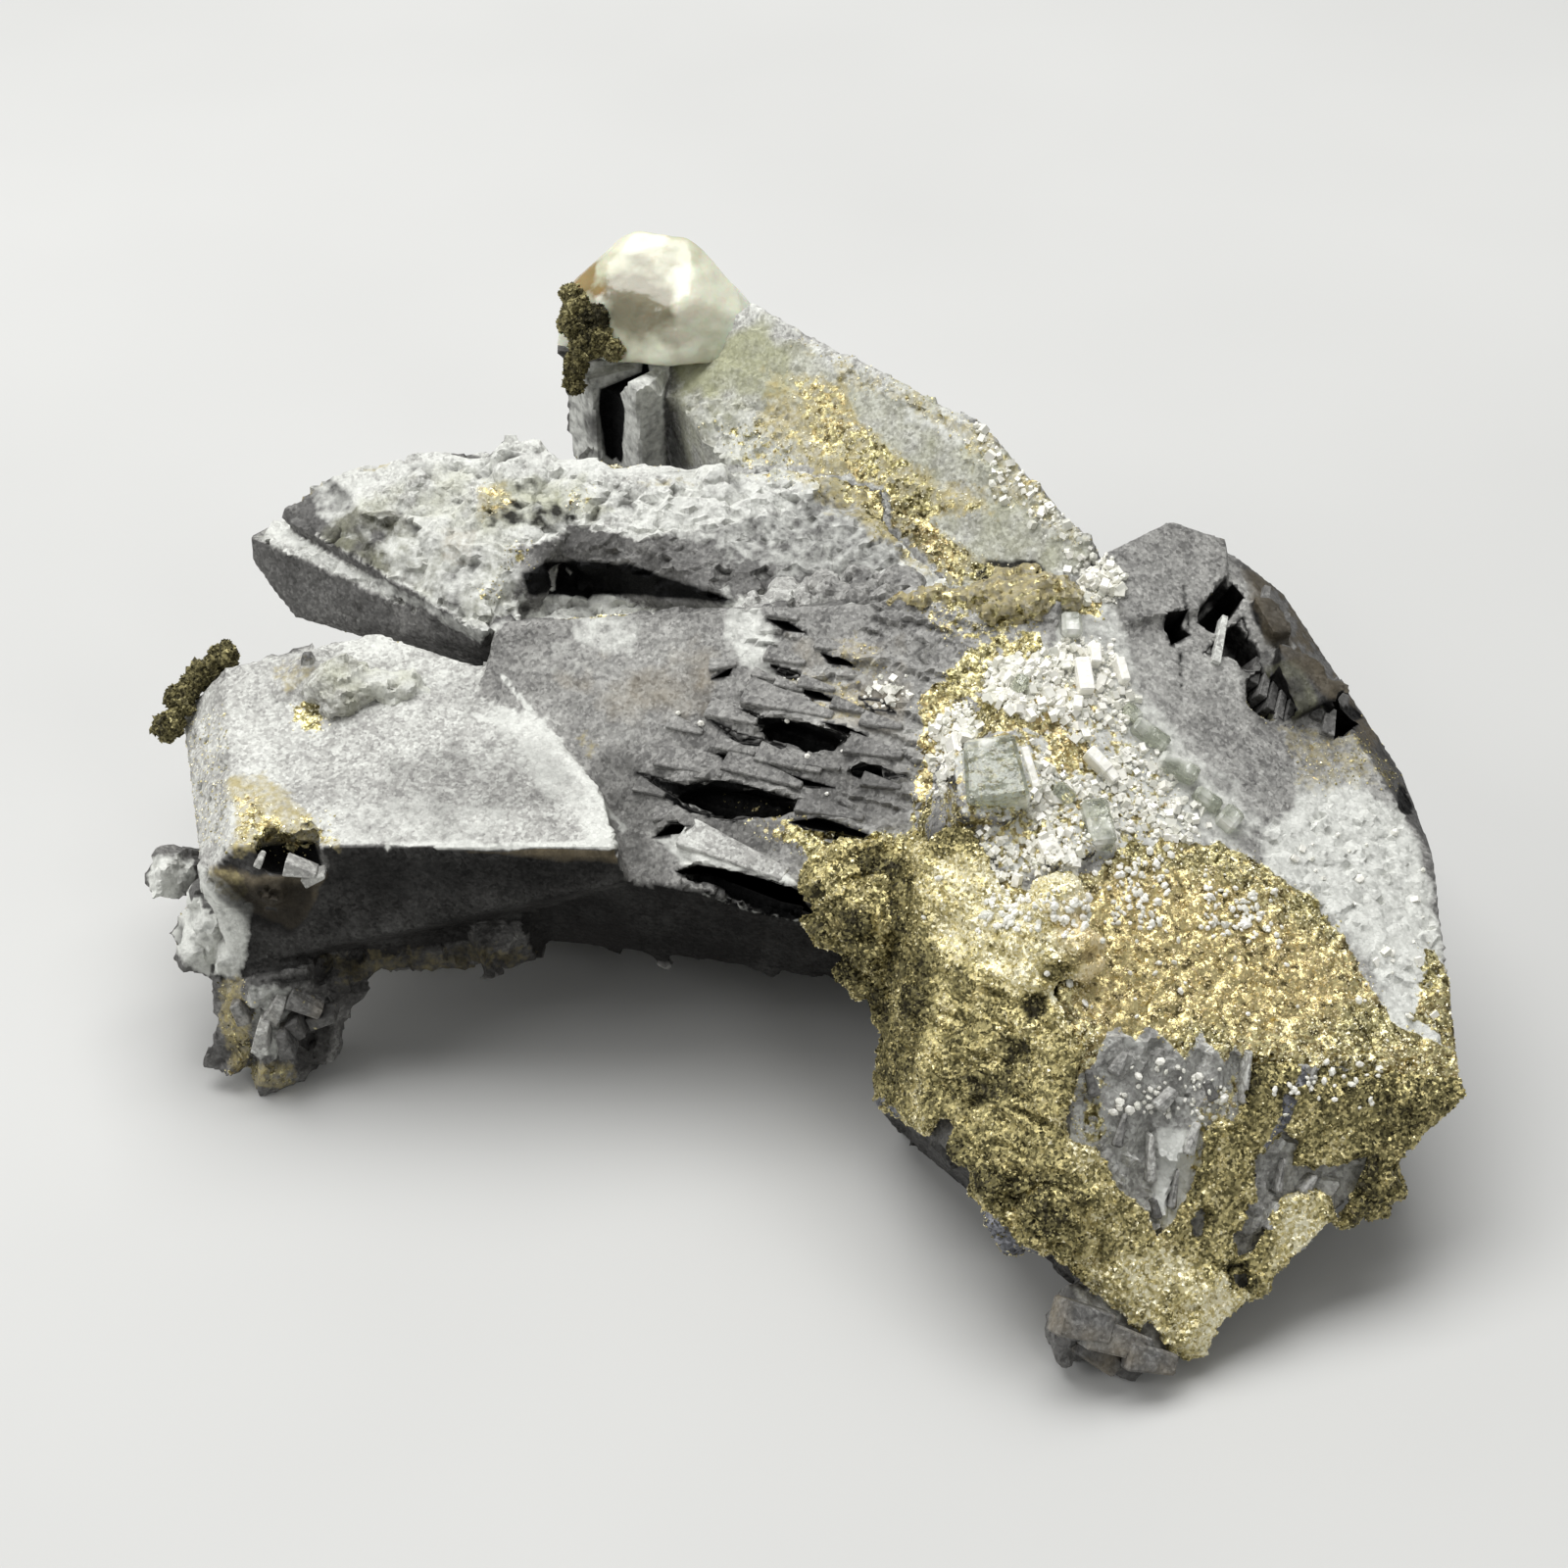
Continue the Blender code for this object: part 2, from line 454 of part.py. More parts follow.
def floor_cutter() -> bpy.types.Object:
    """Makes the slab below z = 0 that trims the undersides flat."""
    shape = bmesh.new()
    middle = Matrix.Translation((0.0, 0.0, -FLOOR_SLAB / 2))
    place = middle @ Matrix.Diagonal((FLOOR_SPAN, FLOOR_SPAN, FLOOR_SLAB, 1.0))
    bmesh.ops.create_cube(shape, size=1.0, matrix=place)
    return solid_from("floor_cutter", shape)


def shingle(slot: tuple) -> bpy.types.Object:
    """Makes the thin tile that overhangs a slot in the centre body: thick at its lip, fading uphill."""
    origin, across, uphill, outward = face_frame(CENTRE_BODY, "broad")
    left, right = min(slot)[0], max(slot)[0]
    top = max(v for _, v in slot)
    lip = [(left, top - 0.9), (left + 1.4, top), (right, top - 0.4)]
    back = [(left + 1.0, top + SHINGLE_RUN), (right + 1.6, top + SHINGLE_RUN - 1.0)]
    corners = [origin + across * u + uphill * v + outward * SHINGLE_LIP for u, v in lip]
    corners += [origin + across * u + uphill * v - outward * SHINGLE_ROOT for u, v in lip + back]
    return hull_of(corners)


def tooth(along: float, length: float, width: float) -> bpy.types.Object:
    """Makes one pointed tooth under the lower front edge of the centre body."""
    origin, across, uphill, outward = face_frame(CENTRE_BODY, "lower_front")
    edge_drop = TOOTH_LINE + 0.02 * along
    root = origin + across * along + uphill * edge_drop
    depths = (0.2, TOOTH_ROOT)
    corners = [root + across * (side * width / 2) - outward * depth for side in (-1, 1) for depth in depths]
    corners += [root + uphill * 2.5 - outward * 1.5]
    corners += [root - uphill * length - outward * 1.0 + across * (0.2 * width)]
    return hull_of(corners)


def calcite_solids() -> list[bpy.types.Object]:
    """Makes every calcite crystal, ledge, tooth and lump as a solid of its own, the big block first."""
    dice = random.Random(DRUSE_SEED)
    solids = [cut_crystal(crystal, {}) for crystal in CRYSTALS]
    solids += [hull_of(corners) for corners in (MIDDLE_LOWER_TIER, MIDDLE_UPPER_LEFT, MIDDLE_UPPER_RIGHT)]
    solids += [block_at(*each) for each in SMALL_CRYSTALS + BLADES]
    solids += [tooth(*each) for each in TEETH]
    solids += [shingle(slot) for slot in SLOTS]
    raised = [(BIG_BLOCK, "top", TERRACE, TERRACE_RISE)]
    raised += [(BIG_BLOCK, "top", outline, STEP_RISE) for outline in RAISED_STEPS]
    raised += [(BIG_BLOCK, "top", outline, CLEAR_RISE) for outline in CLEAR_CRYSTALS]
    raised += HIDDEN_STEPS
    solids += [prism_on(crystal, face, outline, -PRISM_ROOT, rise) for crystal, face, outline, rise in raised]
    solids += [lump_at(*each, dice, MIDDLE_SLOPE) for each in MIDDLE_LUMPS]
    solids += [lump_at(*each, dice) for each in LEFT_TOP_LUMPS + BROKEN_CHIPS]
    return solids


def make_calcite() -> bpy.types.Object:
    """Fuses all the grey calcite into one solid, opens its slots and notches and trims it at the floor."""
    body, *growths = calcite_solids()
    combine(body, growths, "UNION")
    cuts = [prism_on(BIG_BLOCK, "top", outline, -STEP_DEPTH, NOTCH_CLEARANCE) for outline in STEP_NOTCHES]
    cuts += [prism_on(CENTRE_BODY, "broad", slot, -SLOT_DEPTH, CUT_CLEARANCE) for slot in SLOTS]
    cuts += [prism_on(LEFT_CRYSTAL, "front", BROKEN_CORNER, -CORNER_DEPTH, CUT_CLEARANCE)]
    cuts += [floor_cutter()]
    combine(body, cuts, "DIFFERENCE")
    return body


def swell(solid: bpy.types.Object) -> bpy.types.Object:
    """Moves every face of a solid outwards by the contact gap."""
    shape = bmesh.new()
    shape.from_mesh(solid.data)
    shape.normal_update()
    moves = [corner.normal * corner.calc_shell_factor() * CONTACT_GAP * MM for corner in shape.verts]
    for corner, move in zip(shape.verts, moves):
        corner.co += move
    shape.to_mesh(solid.data)
    shape.free()
    return solid


def reach(solid: bpy.types.Object) -> tuple[list[float], list[float]]:
    """Gives the lowest and the highest coordinates of a solid."""
    columns = list(zip(*(corner.co for corner in solid.data.vertices)))
    return [min(column) for column in columns], [max(column) for column in columns]


def clear_of_calcite(pyrite: bpy.types.Object) -> None:
    """Trims a pyrite solid back, so that it keeps the contact gap to every calcite solid near it."""
    low, high = reach(pyrite)
    near = []
    for solid in calcite_solids():
        bottom, top = reach(swell(solid))
        if all(bottom[axis] < high[axis] and top[axis] > low[axis] for axis in range(3)):
            near.append(solid)
        else:
            bpy.data.objects.remove(solid, do_unlink=True)
    combine(pyrite, near, "DIFFERENCE")


def make_crust() -> bpy.types.Object:
    """Makes the pyrite crust of the big block: plates on four faces, a rough rim, windows and the knob."""
    dice = random.Random(DRUSE_SEED)
    coated = ("left", "left_front", "front_corner", "front")
    crust = cut_crystal(BIG_BLOCK, {face: CRUST_FACE for face in coated})
    bumps = [lump_at(*each, dice) for each in KNOB_LUMPS]
    for face, across_range, up_range, count, smallest, largest in CRUST_BUMPS:
        origin, across, uphill, outward = face_frame(BIG_BLOCK, face)
        for _ in range(count):
            spot = origin + across * dice.uniform(*across_range) + uphill * dice.uniform(*up_range)
            radius = dice.uniform(smallest, largest)
            depth = CRUST_FACE + BUMP_RISE - radius
            bumps.append(lump_at(spot + outward * depth, radius, 1.0, dice))
    combine(crust, bumps, "UNION")
    cuts = [prism_on(BIG_BLOCK, "front", outline, -WINDOW_ROOT, WINDOW_DEPTH) for outline in CRUST_WINDOWS]
    cuts += [prism_on(BIG_BLOCK, face, outline, -RIM_ROOT, WINDOW_DEPTH) for face, outline in CRUST_RIM_CUTS]
    cuts += [floor_cutter()]
    combine(crust, cuts, "DIFFERENCE")
    clear_of_calcite(crust)
    return crust


def make_tuft(lumps: tuple) -> bpy.types.Object:
    """Makes a small tuft of pyrite from overlapping lumps, trimmed clear of the calcite."""
    dice = random.Random(DRUSE_SEED)
    first, *rest = [lump_at(*each, dice) for each in lumps]
    combine(first, rest, "UNION")
    clear_of_calcite(first)
    return first


def main() -> None:
    """Builds the whole cluster and stands it on the floor about the origin."""
    clear_scene()
    holder = bpy.data.objects.new("cluster", None)
    holder.location = (-ORIGIN_X * MM, -ORIGIN_Y * MM, 0.0)
    bpy.context.scene.collection.objects.link(holder)
    calcite = mineral("grey_calcite", (0.20, 0.195, 0.215), 0.62, 0.0)
    pyrite = mineral("golden_pyrite", (0.36, 0.25, 0.075), 0.38, 0.85)
    olive = mineral("olive_pyrite", (0.13, 0.105, 0.05), 0.5, 0.6)
    finish_node(make_calcite(), "calcite_crystals", calcite, holder)
    finish_node(make_crust(), "pyrite_crust", pyrite, holder)
    finish_node(make_tuft(BACK_TUFT_LUMPS), "pyrite_tuft_back", olive, holder)
    finish_node(make_tuft(LEFT_TUFT_LUMPS), "pyrite_tuft_left", olive, holder)


main()
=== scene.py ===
"""Looks of a calcite and pyrite cluster: etched grey calcite, golden pyrite, white druse, a milky tip.

All working lengths are in millimetres in the cluster's own frame: X right, Y away from the front, Z up.
Areas of finish are outlined in the photograph's 1600 pixel frame and laid on the surface that it shows there.
"""

from __future__ import annotations

import logging
import math
from dataclasses import dataclass
from enum import Enum
from itertools import product
from typing import Callable, Iterable, Union

import bpy
import numpy as np
from mathutils import Matrix, Vector

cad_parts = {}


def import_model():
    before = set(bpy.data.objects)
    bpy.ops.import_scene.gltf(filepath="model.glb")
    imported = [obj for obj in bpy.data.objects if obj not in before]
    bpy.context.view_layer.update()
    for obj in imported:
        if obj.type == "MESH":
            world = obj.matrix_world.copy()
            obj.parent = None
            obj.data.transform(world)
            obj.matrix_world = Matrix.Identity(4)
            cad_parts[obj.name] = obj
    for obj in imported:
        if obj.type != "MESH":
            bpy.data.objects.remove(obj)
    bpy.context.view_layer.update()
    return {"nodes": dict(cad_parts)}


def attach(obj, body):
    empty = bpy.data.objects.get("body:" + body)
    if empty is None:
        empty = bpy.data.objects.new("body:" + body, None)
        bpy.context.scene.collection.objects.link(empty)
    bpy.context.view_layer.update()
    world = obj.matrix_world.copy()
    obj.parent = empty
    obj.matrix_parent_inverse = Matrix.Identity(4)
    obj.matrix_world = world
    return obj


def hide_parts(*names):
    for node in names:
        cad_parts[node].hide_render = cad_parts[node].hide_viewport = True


MM = 0.001
BODY = "root"
FRAME_SHIFT = np.array((0.4, -3.0, 0.0))    # from the crystals' drawing frame to the cluster's own
CALCITE_VOXEL = 0.38                        # mm between the points of the calcite's fine surface
CRUST_VOXEL = 0.30
TUFT_VOXEL = 0.22
BOX_MARGIN = 0.25                           # mm that the fine surface may pass the solid's box
PIXELS_PER_MM = 14.1                        # of the photograph, about the cluster's middle
VIEW_CELL = 9.0                             # pixels across the cells that tell what hides what
VIEW_SLACK = 2.2                            # mm that a point may lie behind the nearest one of its cell
CREASE = 32.0                               # degrees over which an edge is sharp
FACE_DEPTH = 1.1                            # mm that a point of a face may stand off its plane
FACE_MARGIN = 0.8                           # mm that a face may reach past its span
FACE_TURN = 0.4                             # least share of a face's direction that its points look in
STEPS_DEPTH = (-4.5, 3.0)                   # mm from the block's top to its stepped parts
SLOT_DEPTH = (-4.5, -0.4)                   # mm from the centre body's face to its slots
SCALE_RISE = 2.6                            # mm that its scales may stand up
CREST_SLOPE = 0.45                          # least upward share of the normal on the middle crystal's crust
SIDE_FOOT = 18.0                            # mm over the floor where the middle crystal's side ends
CAP_FOOT = 27.5                             # mm over the floor where the cap ends

log = logging.getLogger("cluster")

Pair = tuple[float, float]
Triple = tuple[float, float, float]
Outline = tuple[Pair, ...]
Planes = tuple[tuple[Triple, Triple], ...]
Socket = bpy.types.NodeSocket
Colour = Union[str, bpy.types.NodeSocket]


class Region(Enum):
    """The named faces of the cluster, each with a finish of its own."""

    BLOCK_TOP = 1
    BLOCK_FLANK = 2
    BLOCK_FRONT = 3
    BLOCK_LEFT_FRONT = 4
    BLOCK_LEFT = 5
    BLOCK_LOW_LEFT = 6
    BLOCK_RIGHT = 7
    BLOCK_SHOULDER = 8
    BLOCK_LEFT_SHOULDER = 9
    BLOCK_BACK = 10
    BLOCK_BACK_RIGHT = 11
    BLOCK_LOW_RIGHT = 12
    LEFT_TOP = 20
    LEFT_FRONT = 21
    LEFT_BEVEL = 22
    LEFT_END = 23
    LEFT_UNDER = 24
    CENTRE_BROAD = 30
    CENTRE_FRONT = 31
    CENTRE_UNDER = 32
    BACK_BROAD = 40
    BACK_FAR = 41
    BACK_FAR_ROOT = 42
    BACK_LOWER = 43
    BACK_END_LEFT = 44
    MIDDLE_CRUST = 50
    MIDDLE_SIDE = 51
    BLOCK_STEPS = 13
    CENTRE_SLOT = 33
    CAP = 60
    ROUGH = 61


class Finish(Enum):
    """The coats and reliefs that a surface can wear, each stored as a number on the mesh."""

    FROST = "frost"
    PYRITE = "pyrite"
    WARM = "warm"
    OCHRE = "ochre"
    GREEN = "green"
    # SHADE lays painted shade in hollows, under the scales' lips and on the undersides, and darker patches of rock
    # besides; BLACK lays painted shade in slots, cracks, notches, gaps and cavities, and darkens some rock besides.
    SHADE = "shade"
    DARK = "dark"
    BLACK = "black"
    SMOOTH = "smooth"
    SUGAR = "sugar"
    DRUSE = "druse"
    SPARK = "spark"


def unit(vector: np.ndarray) -> np.ndarray:
    """Scales each vector to length one."""
    length = np.linalg.norm(vector, axis=-1, keepdims=True)
    return vector / np.maximum(length, 1e-12)


def smooth_step(values: np.ndarray, low: float, high: float) -> np.ndarray:
    """Rises smoothly from 0 at low to 1 at high."""
    share = np.clip((values - low) / (high - low), 0.0, 1.0)
    return share * share * (3.0 - 2.0 * share)


def lattice(cells: np.ndarray, seed: int) -> np.ndarray:
    """Gives three repeatable random numbers from -1 to 1 for each cell of a lattice.

    Args:
        cells: whole cell numbers, one row of three for each point.
        seed: tells one pattern from another.

    Returns:
        An array of the same shape, with values from -1 to 1.
    """
    x, y, z = (cells[:, axis] for axis in range(3))
    mixed = (x * 73856093) ^ (y * 19349663) ^ (z * 83492791) ^ (seed * 40503 + 977)
    mixed &= 0xFFFFFFFF
    mixed = ((mixed ^ (mixed >> 15)) * 73244475) & 0xFFFFFFFF
    mixed = ((mixed ^ (mixed >> 13)) * 40499371) & 0xFFFFFFFF
    mixed ^= mixed >> 16
    return np.stack([mixed & 1023, (mixed >> 10) & 1023, (mixed >> 20) & 1023], axis=1) / 511.5 - 1.0


def noise(points: np.ndarray, wavelength: float, seed: int) -> np.ndarray:
    """Smooth gradient noise.

    Args:
        points: places in mm, one row each.
        wavelength: mm from one hill to the next.
        seed: tells one pattern from another.

    Returns:
        A value from about -1 to 1 for each point.
    """
    scaled = points / wavelength
    base = np.floor(scaled).astype(np.int64)
    inside = scaled - base
    blend = inside**3 * (inside * (inside * 6.0 - 15.0) + 10.0)
    total = np.zeros(len(points))
    for corner in product((0, 1), repeat=3):
        step = np.array(corner)
        slope = lattice(base + step, seed)
        weight = np.where(step == 1, blend, 1.0 - blend).prod(axis=1)
        total += weight * ((inside - step) * slope).sum(axis=1)
    return total * 1.7


def layered(
    points: np.ndarray, wavelength: float, seed: int, octaves: int = 3, ridged: bool = False
) -> np.ndarray:
    """Sums noise at ever shorter wavelengths.

    Args:
        points: places in mm, one row each.
        wavelength: mm from one hill of the first noise to the next.
        seed: of the first noise.
        octaves: how many are summed.
        ridged: gives sharp crests instead of round hills.

    Returns:
        A value from about -1 to 1 for each point.
    """
    total = np.zeros(len(points))
    for octave in range(octaves):
        wave = noise(points, wavelength / 2**octave, seed + octave)
        total += (1.0 - 2.0 * np.abs(wave) if ridged else wave) / 2**octave
    return total / (2.0 - 0.5 ** (octaves - 1))


Coats = dict[Finish, np.ndarray]


@dataclass
class Cells:
    """The nearest grain of a random packing, for each point.

    Args:
        offset: from the grain's middle to the point, in grain sizes.
        random: three random numbers of that grain, from -1 to 1.
        border: how much further the second nearest grain is, 0 on a joint between grains.
    """

    offset: np.ndarray
    random: np.ndarray
    border: np.ndarray

    @classmethod
    def around(cls, points: np.ndarray, size: float, seed: int) -> Cells:
        """Packs space with grains and finds the one that holds each point.

        Args:
            points: places in mm, one row each.
            size: mm across a grain.
            seed: tells one packing from another.

        Returns:
            What the points have of their grains.
        """
        scaled = points / size
        base = np.floor(scaled).astype(np.int64)
        nearest = np.full(len(points), 9.0)
        second = np.full(len(points), 9.0)
        offset = np.zeros_like(scaled)
        home = np.zeros_like(base)
        for shift in product((-1, 0, 1), repeat=3):
            cell = base + np.array(shift)
            away = scaled - (cell + 0.5 + 0.42 * lattice(cell, seed))
            distance = (away**2).sum(axis=1)
            closer = distance < nearest
            second = np.where(closer, nearest, np.minimum(second, distance))
            nearest = np.where(closer, distance, nearest)
            offset[closer] = away[closer]
            home[closer] = cell[closer]
        return cls(offset, lattice(home, seed + 71), np.sqrt(second) - np.sqrt(nearest))

    def facets(self) -> np.ndarray:
        """Height of a druse: each grain is a flat face tilted its own way."""
        return (self.offset * self.random).sum(axis=1) + 0.5 * self.random[:, 0]

    def domes(self) -> np.ndarray:
        """Height of a botryoidal crust: each grain is a small dome."""
        return 1.0 - 1.6 * (self.offset**2).sum(axis=1)


@dataclass(frozen=True)
class PhotoCamera:
    """The photograph's viewpoint, found from the object's own outline.

    Args:
        eye: place of the lens in mm.
        elevation: degrees that it looks down.
        field: degrees across the square frame.
        frame: pixels across the photograph.
        sensor: mm across the sensor that the lens is worked out for.
    """

    eye: Triple = (0.4, -184.2, 156.6)
    elevation: float = 38.0
    field: float = 28.0
    frame: float = 1600.0
    sensor: float = 36.0

    def axes(self) -> tuple[np.ndarray, np.ndarray, np.ndarray]:
        """Works out the camera's right, up and forward directions.

        Returns:
            Three directions of length one.
        """
        down = math.radians(self.elevation)
        forward = np.array((0.0, math.cos(down), -math.sin(down)))
        return np.array((1.0, 0.0, 0.0)), np.array((0.0, math.sin(down), math.cos(down))), forward

    def pixels(self, points: np.ndarray) -> tuple[np.ndarray, np.ndarray]:
        """Finds where the photograph shows points.

        Args:
            points: places in mm, one row each.

        Returns:
            The pixels as rows of two, and the distances along the view in mm.
        """
        right, up, forward = self.axes()
        away = points - np.array(self.eye)
        depth = away @ forward
        reach = self.frame / 2 / math.tan(math.radians(self.field / 2)) / depth
        return np.stack([self.frame / 2 + away @ right * reach, self.frame / 2 - away @ up * reach], axis=1), depth

    def ray(self, pixel: Pair) -> np.ndarray:
        """Works out the direction from the lens through a pixel.

        Args:
            pixel: of the photograph, across and down.

        Returns:
            A direction of length one.
        """
        right, up, forward = self.axes()
        half = self.frame / 2
        slope = math.tan(math.radians(self.field / 2)) / half
        return unit(forward + right * (pixel[0] - half) * slope - up * (pixel[1] - half) * slope)

    def point(self, pixel: Pair, depth: float) -> np.ndarray:
        """The place in mm that a pixel shows at a distance from the lens."""
        return np.array(self.eye) + self.ray(pixel) * depth

    def shows(self, points: np.ndarray, normals: np.ndarray) -> np.ndarray:
        """Tells which points the photograph shows.

        Args:
            points: places in mm, close together.
            normals: the surface's directions there.

        Returns:
            True for each point that faces the lens and that nothing nearer hides.
        """
        pixels, depth = self.pixels(points)
        across = int(self.frame / VIEW_CELL) + 1
        cell = np.clip(pixels / VIEW_CELL, 0, across - 1).astype(int)
        key = cell[:, 0] * across + cell[:, 1]
        nearest = np.full(across * across, np.inf)
        np.minimum.at(nearest, key, depth)
        faces_lens = ((np.array(self.eye) - points) * normals).sum(axis=1) > 0
        return faces_lens & (depth < nearest[key] + VIEW_SLACK)

    def build(self) -> bpy.types.Object:
        """Adds the camera to the scene and makes it the one that renders.

        Returns:
            The camera object.
        """
        data = bpy.data.cameras.new("photo_camera")
        data.sensor_width = self.sensor
        data.lens = self.sensor / 2 / math.tan(math.radians(self.field / 2))
        data.clip_start = 0.01
        data.clip_end = 20.0
        camera = bpy.data.objects.new("photo_camera", data)
        camera.location = Vector(self.eye) * MM
        camera.rotation_euler = (math.radians(90.0 - self.elevation), 0.0, 0.0)
        bpy.context.scene.collection.objects.link(camera)
        bpy.context.scene.camera = camera
        return camera


PHOTO = PhotoCamera()


@dataclass(frozen=True)
class Face:
    """A flat crystal face, as a crystallographer gives it.

    Args:
        centre: a point inside its crystal, in the drawing frame.
        bearing: compass degrees that it looks towards.
        tilt: degrees that it looks up.
        distance: mm from the centre to the face.
        span: its least and greatest reach across and uphill of its own origin, in mm.
        tone: how pale it is painted, from 0, near black, to 1, white; the near black of the faces that look forward or
            down is painted shade.
    """

    centre: Triple
    bearing: float
    tilt: float
    distance: float
    span: tuple[float, float, float, float] = (-15.0, 15.0, -15.0, 15.0)
    tone: float = 0.4

    def axes(self) -> tuple[np.ndarray, np.ndarray, np.ndarray]:
        """Works out the face's level direction, its uphill direction and its normal.

        Returns:
            Three directions of length one.
        """
        turn, rise = math.radians(self.bearing), math.radians(self.tilt)
        outward = np.array((math.cos(turn) * math.cos(rise), math.sin(turn) * math.cos(rise), math.sin(rise)))
        across = np.array((-math.sin(turn), math.cos(turn), 0.0))
        return across, np.cross(outward, across), outward

    def origin(self) -> np.ndarray:
        """The foot of the line from the crystal's centre to the face."""
        return np.array(self.centre) + FRAME_SHIFT + self.axes()[2] * self.distance

    def flat(self, points: np.ndarray) -> np.ndarray:
        """Gives points as (across, uphill, outward) from the face's origin."""
        return (points - self.origin()) @ np.stack(self.axes(), axis=1)

    def at_pixel(self, pixel: Pair) -> np.ndarray:
        """Finds the point of the face that the photograph shows at a pixel.

        Args:
            pixel: of the photograph, across and down.

        Returns:
            The place in mm.
        """
        ray, outward = PHOTO.ray(pixel), self.axes()[2]
        eye = np.array(PHOTO.eye)
        return eye + ray * (((self.origin() - eye) @ outward) / (ray @ outward))


BLOCK_CENTRE = (24.0, -18.0, 14.0)
LEFT_CENTRE = (-27.0, -3.0, 16.0)
BACK_CENTRE = (4.0, 27.0, 22.0)
BODY_CENTRE = (4.0, -4.0, 16.0)
CAP_CENTRE = (-10.2, 39.6, 32.8)
# The faces that look forward or down, LEFT_FRONT, LEFT_UNDER, CENTRE_FRONT, CENTRE_UNDER and BLOCK_LOW_LEFT, get tones
# near 0: painted shade.
FACES = {
    Region.BLOCK_TOP: Face(BLOCK_CENTRE, -56, 61, 8.9, (-11.6, 19.4, -17.8, 25.2), 0.56),
    Region.BLOCK_FLANK: Face(BLOCK_CENTRE, 3, 43, 19.1, (2.9, 23.5, -10.2, 6.8), 0.28),
    Region.BLOCK_FRONT: Face(BLOCK_CENTRE, -72, 35, 12.5, (-11.3, 16.9, -23.1, -2.2), 0.68),
    Region.BLOCK_LEFT_FRONT: Face(BLOCK_CENTRE, -129, 36, 14.2, (-10.6, 7.0, -15.5, 5.6), 0.4),
    Region.BLOCK_LEFT: Face(BLOCK_CENTRE, -168, 10, 15.6, (-5.8, 11.7, -13.4, 9.0), 0.35),
    Region.BLOCK_LOW_LEFT: Face(BLOCK_CENTRE, -142, -29, 19.2, (-7.6, 16.3, -5.4, 6.5), 0.14),
    Region.BLOCK_RIGHT: Face(BLOCK_CENTRE, 6, -11, 19.6, (-13.4, 14.6, -10.5, 9.9), 0.4),
    Region.BLOCK_SHOULDER: Face(BLOCK_CENTRE, 143, 38, 21.9, (-20.4, -6.7, 1.4, 8.3), 0.45),
    Region.BLOCK_LEFT_SHOULDER: Face(BLOCK_CENTRE, 175, 42, 18.1, (-12.9, 1.6, -2.5, 8.5), 0.45),
    Region.BLOCK_BACK: Face(BLOCK_CENTRE, 79, 28, 29.4, (-7.2, 5.8, -9.8, 7.0), 0.45),
    Region.BLOCK_BACK_RIGHT: Face(BLOCK_CENTRE, 34, 0, 23.5, (-0.8, 19.7, -5.7, 13.7), 0.36),
    Region.BLOCK_LOW_RIGHT: Face(BLOCK_CENTRE, -31, -43, 19.1, (-18.4, 11.3, -1.3, 14.1), 0.25),
    Region.LEFT_TOP: Face(LEFT_CENTRE, -104, 78, 6.6, (-14.5, 17.9, -11.7, 9.6), 0.79),
    Region.LEFT_FRONT: Face(LEFT_CENTRE, -93, 4, 11.3, (-12.8, 16.8, -7.1, 4.3), 0.10),
    Region.LEFT_BEVEL: Face(LEFT_CENTRE, -163, 37, 13.2, (-11.3, 6.8, -8.9, -0.8), 0.70),
    Region.LEFT_END: Face(LEFT_CENTRE, -169, -11, 14.7, (-14.0, 8.6, -6.9, 5.7), 0.64),
    Region.LEFT_UNDER: Face(LEFT_CENTRE, -74, -44, 9.9, (-13.8, 12.6, -3.3, 12.8), 0.08),
    Region.CENTRE_BROAD: Face(BODY_CENTRE, -112, 52, 10.0, (-25.6, 13.9, -10.9, 16.3), 0.55),
    Region.CENTRE_FRONT: Face(BODY_CENTRE, -104, -14, 12.5, (-24.2, 8.6, -4.9, 6.3), 0.04),
    Region.CENTRE_UNDER: Face(BODY_CENTRE, -95, -65, 10.0, (-28.1, 16.6, -16.4, 9.4), 0.02),
    Region.BACK_BROAD: Face(BACK_CENTRE, -124, 45, 5.8, (-17.3, 23.9, -7.6, 12.0), 0.76),
    Region.BACK_FAR: Face(BACK_CENTRE, 46, 34, 8.9, (-11.5, 16.6, -5.7, 9.2), 0.7),
    Region.BACK_FAR_ROOT: Face(BACK_CENTRE, 27, 31, 11.6, (-21.9, -6.4, -12.8, 4.8), 0.6),
    Region.BACK_LOWER: Face(BACK_CENTRE, -140, -34, 6.4, (-19.4, 14.1, -9.6, 2.6), 0.34),
    Region.BACK_END_LEFT: Face(BACK_CENTRE, -150, -8, 7.0, (-21.0, -0.1, -6.5, 8.6), 0.78),
}
OTHER_TONES = {
    Region.MIDDLE_CRUST: 0.93,
    Region.MIDDLE_SIDE: 0.38,
    Region.ROUGH: 0.36,
    Region.CAP: 0.5,
    Region.BLOCK_STEPS: 0.45,
    # The slot floors are painted near black: painted shade.
    Region.CENTRE_SLOT: 0.0,
}
MIDDLE_LOW, MIDDLE_HIGH = np.array((-42.5, 0.5, 16.5)), np.array((13.5, 23.5, 33.0))
CAP_REACH = 8.2     # mm from the cap's centre that its own crystal fills


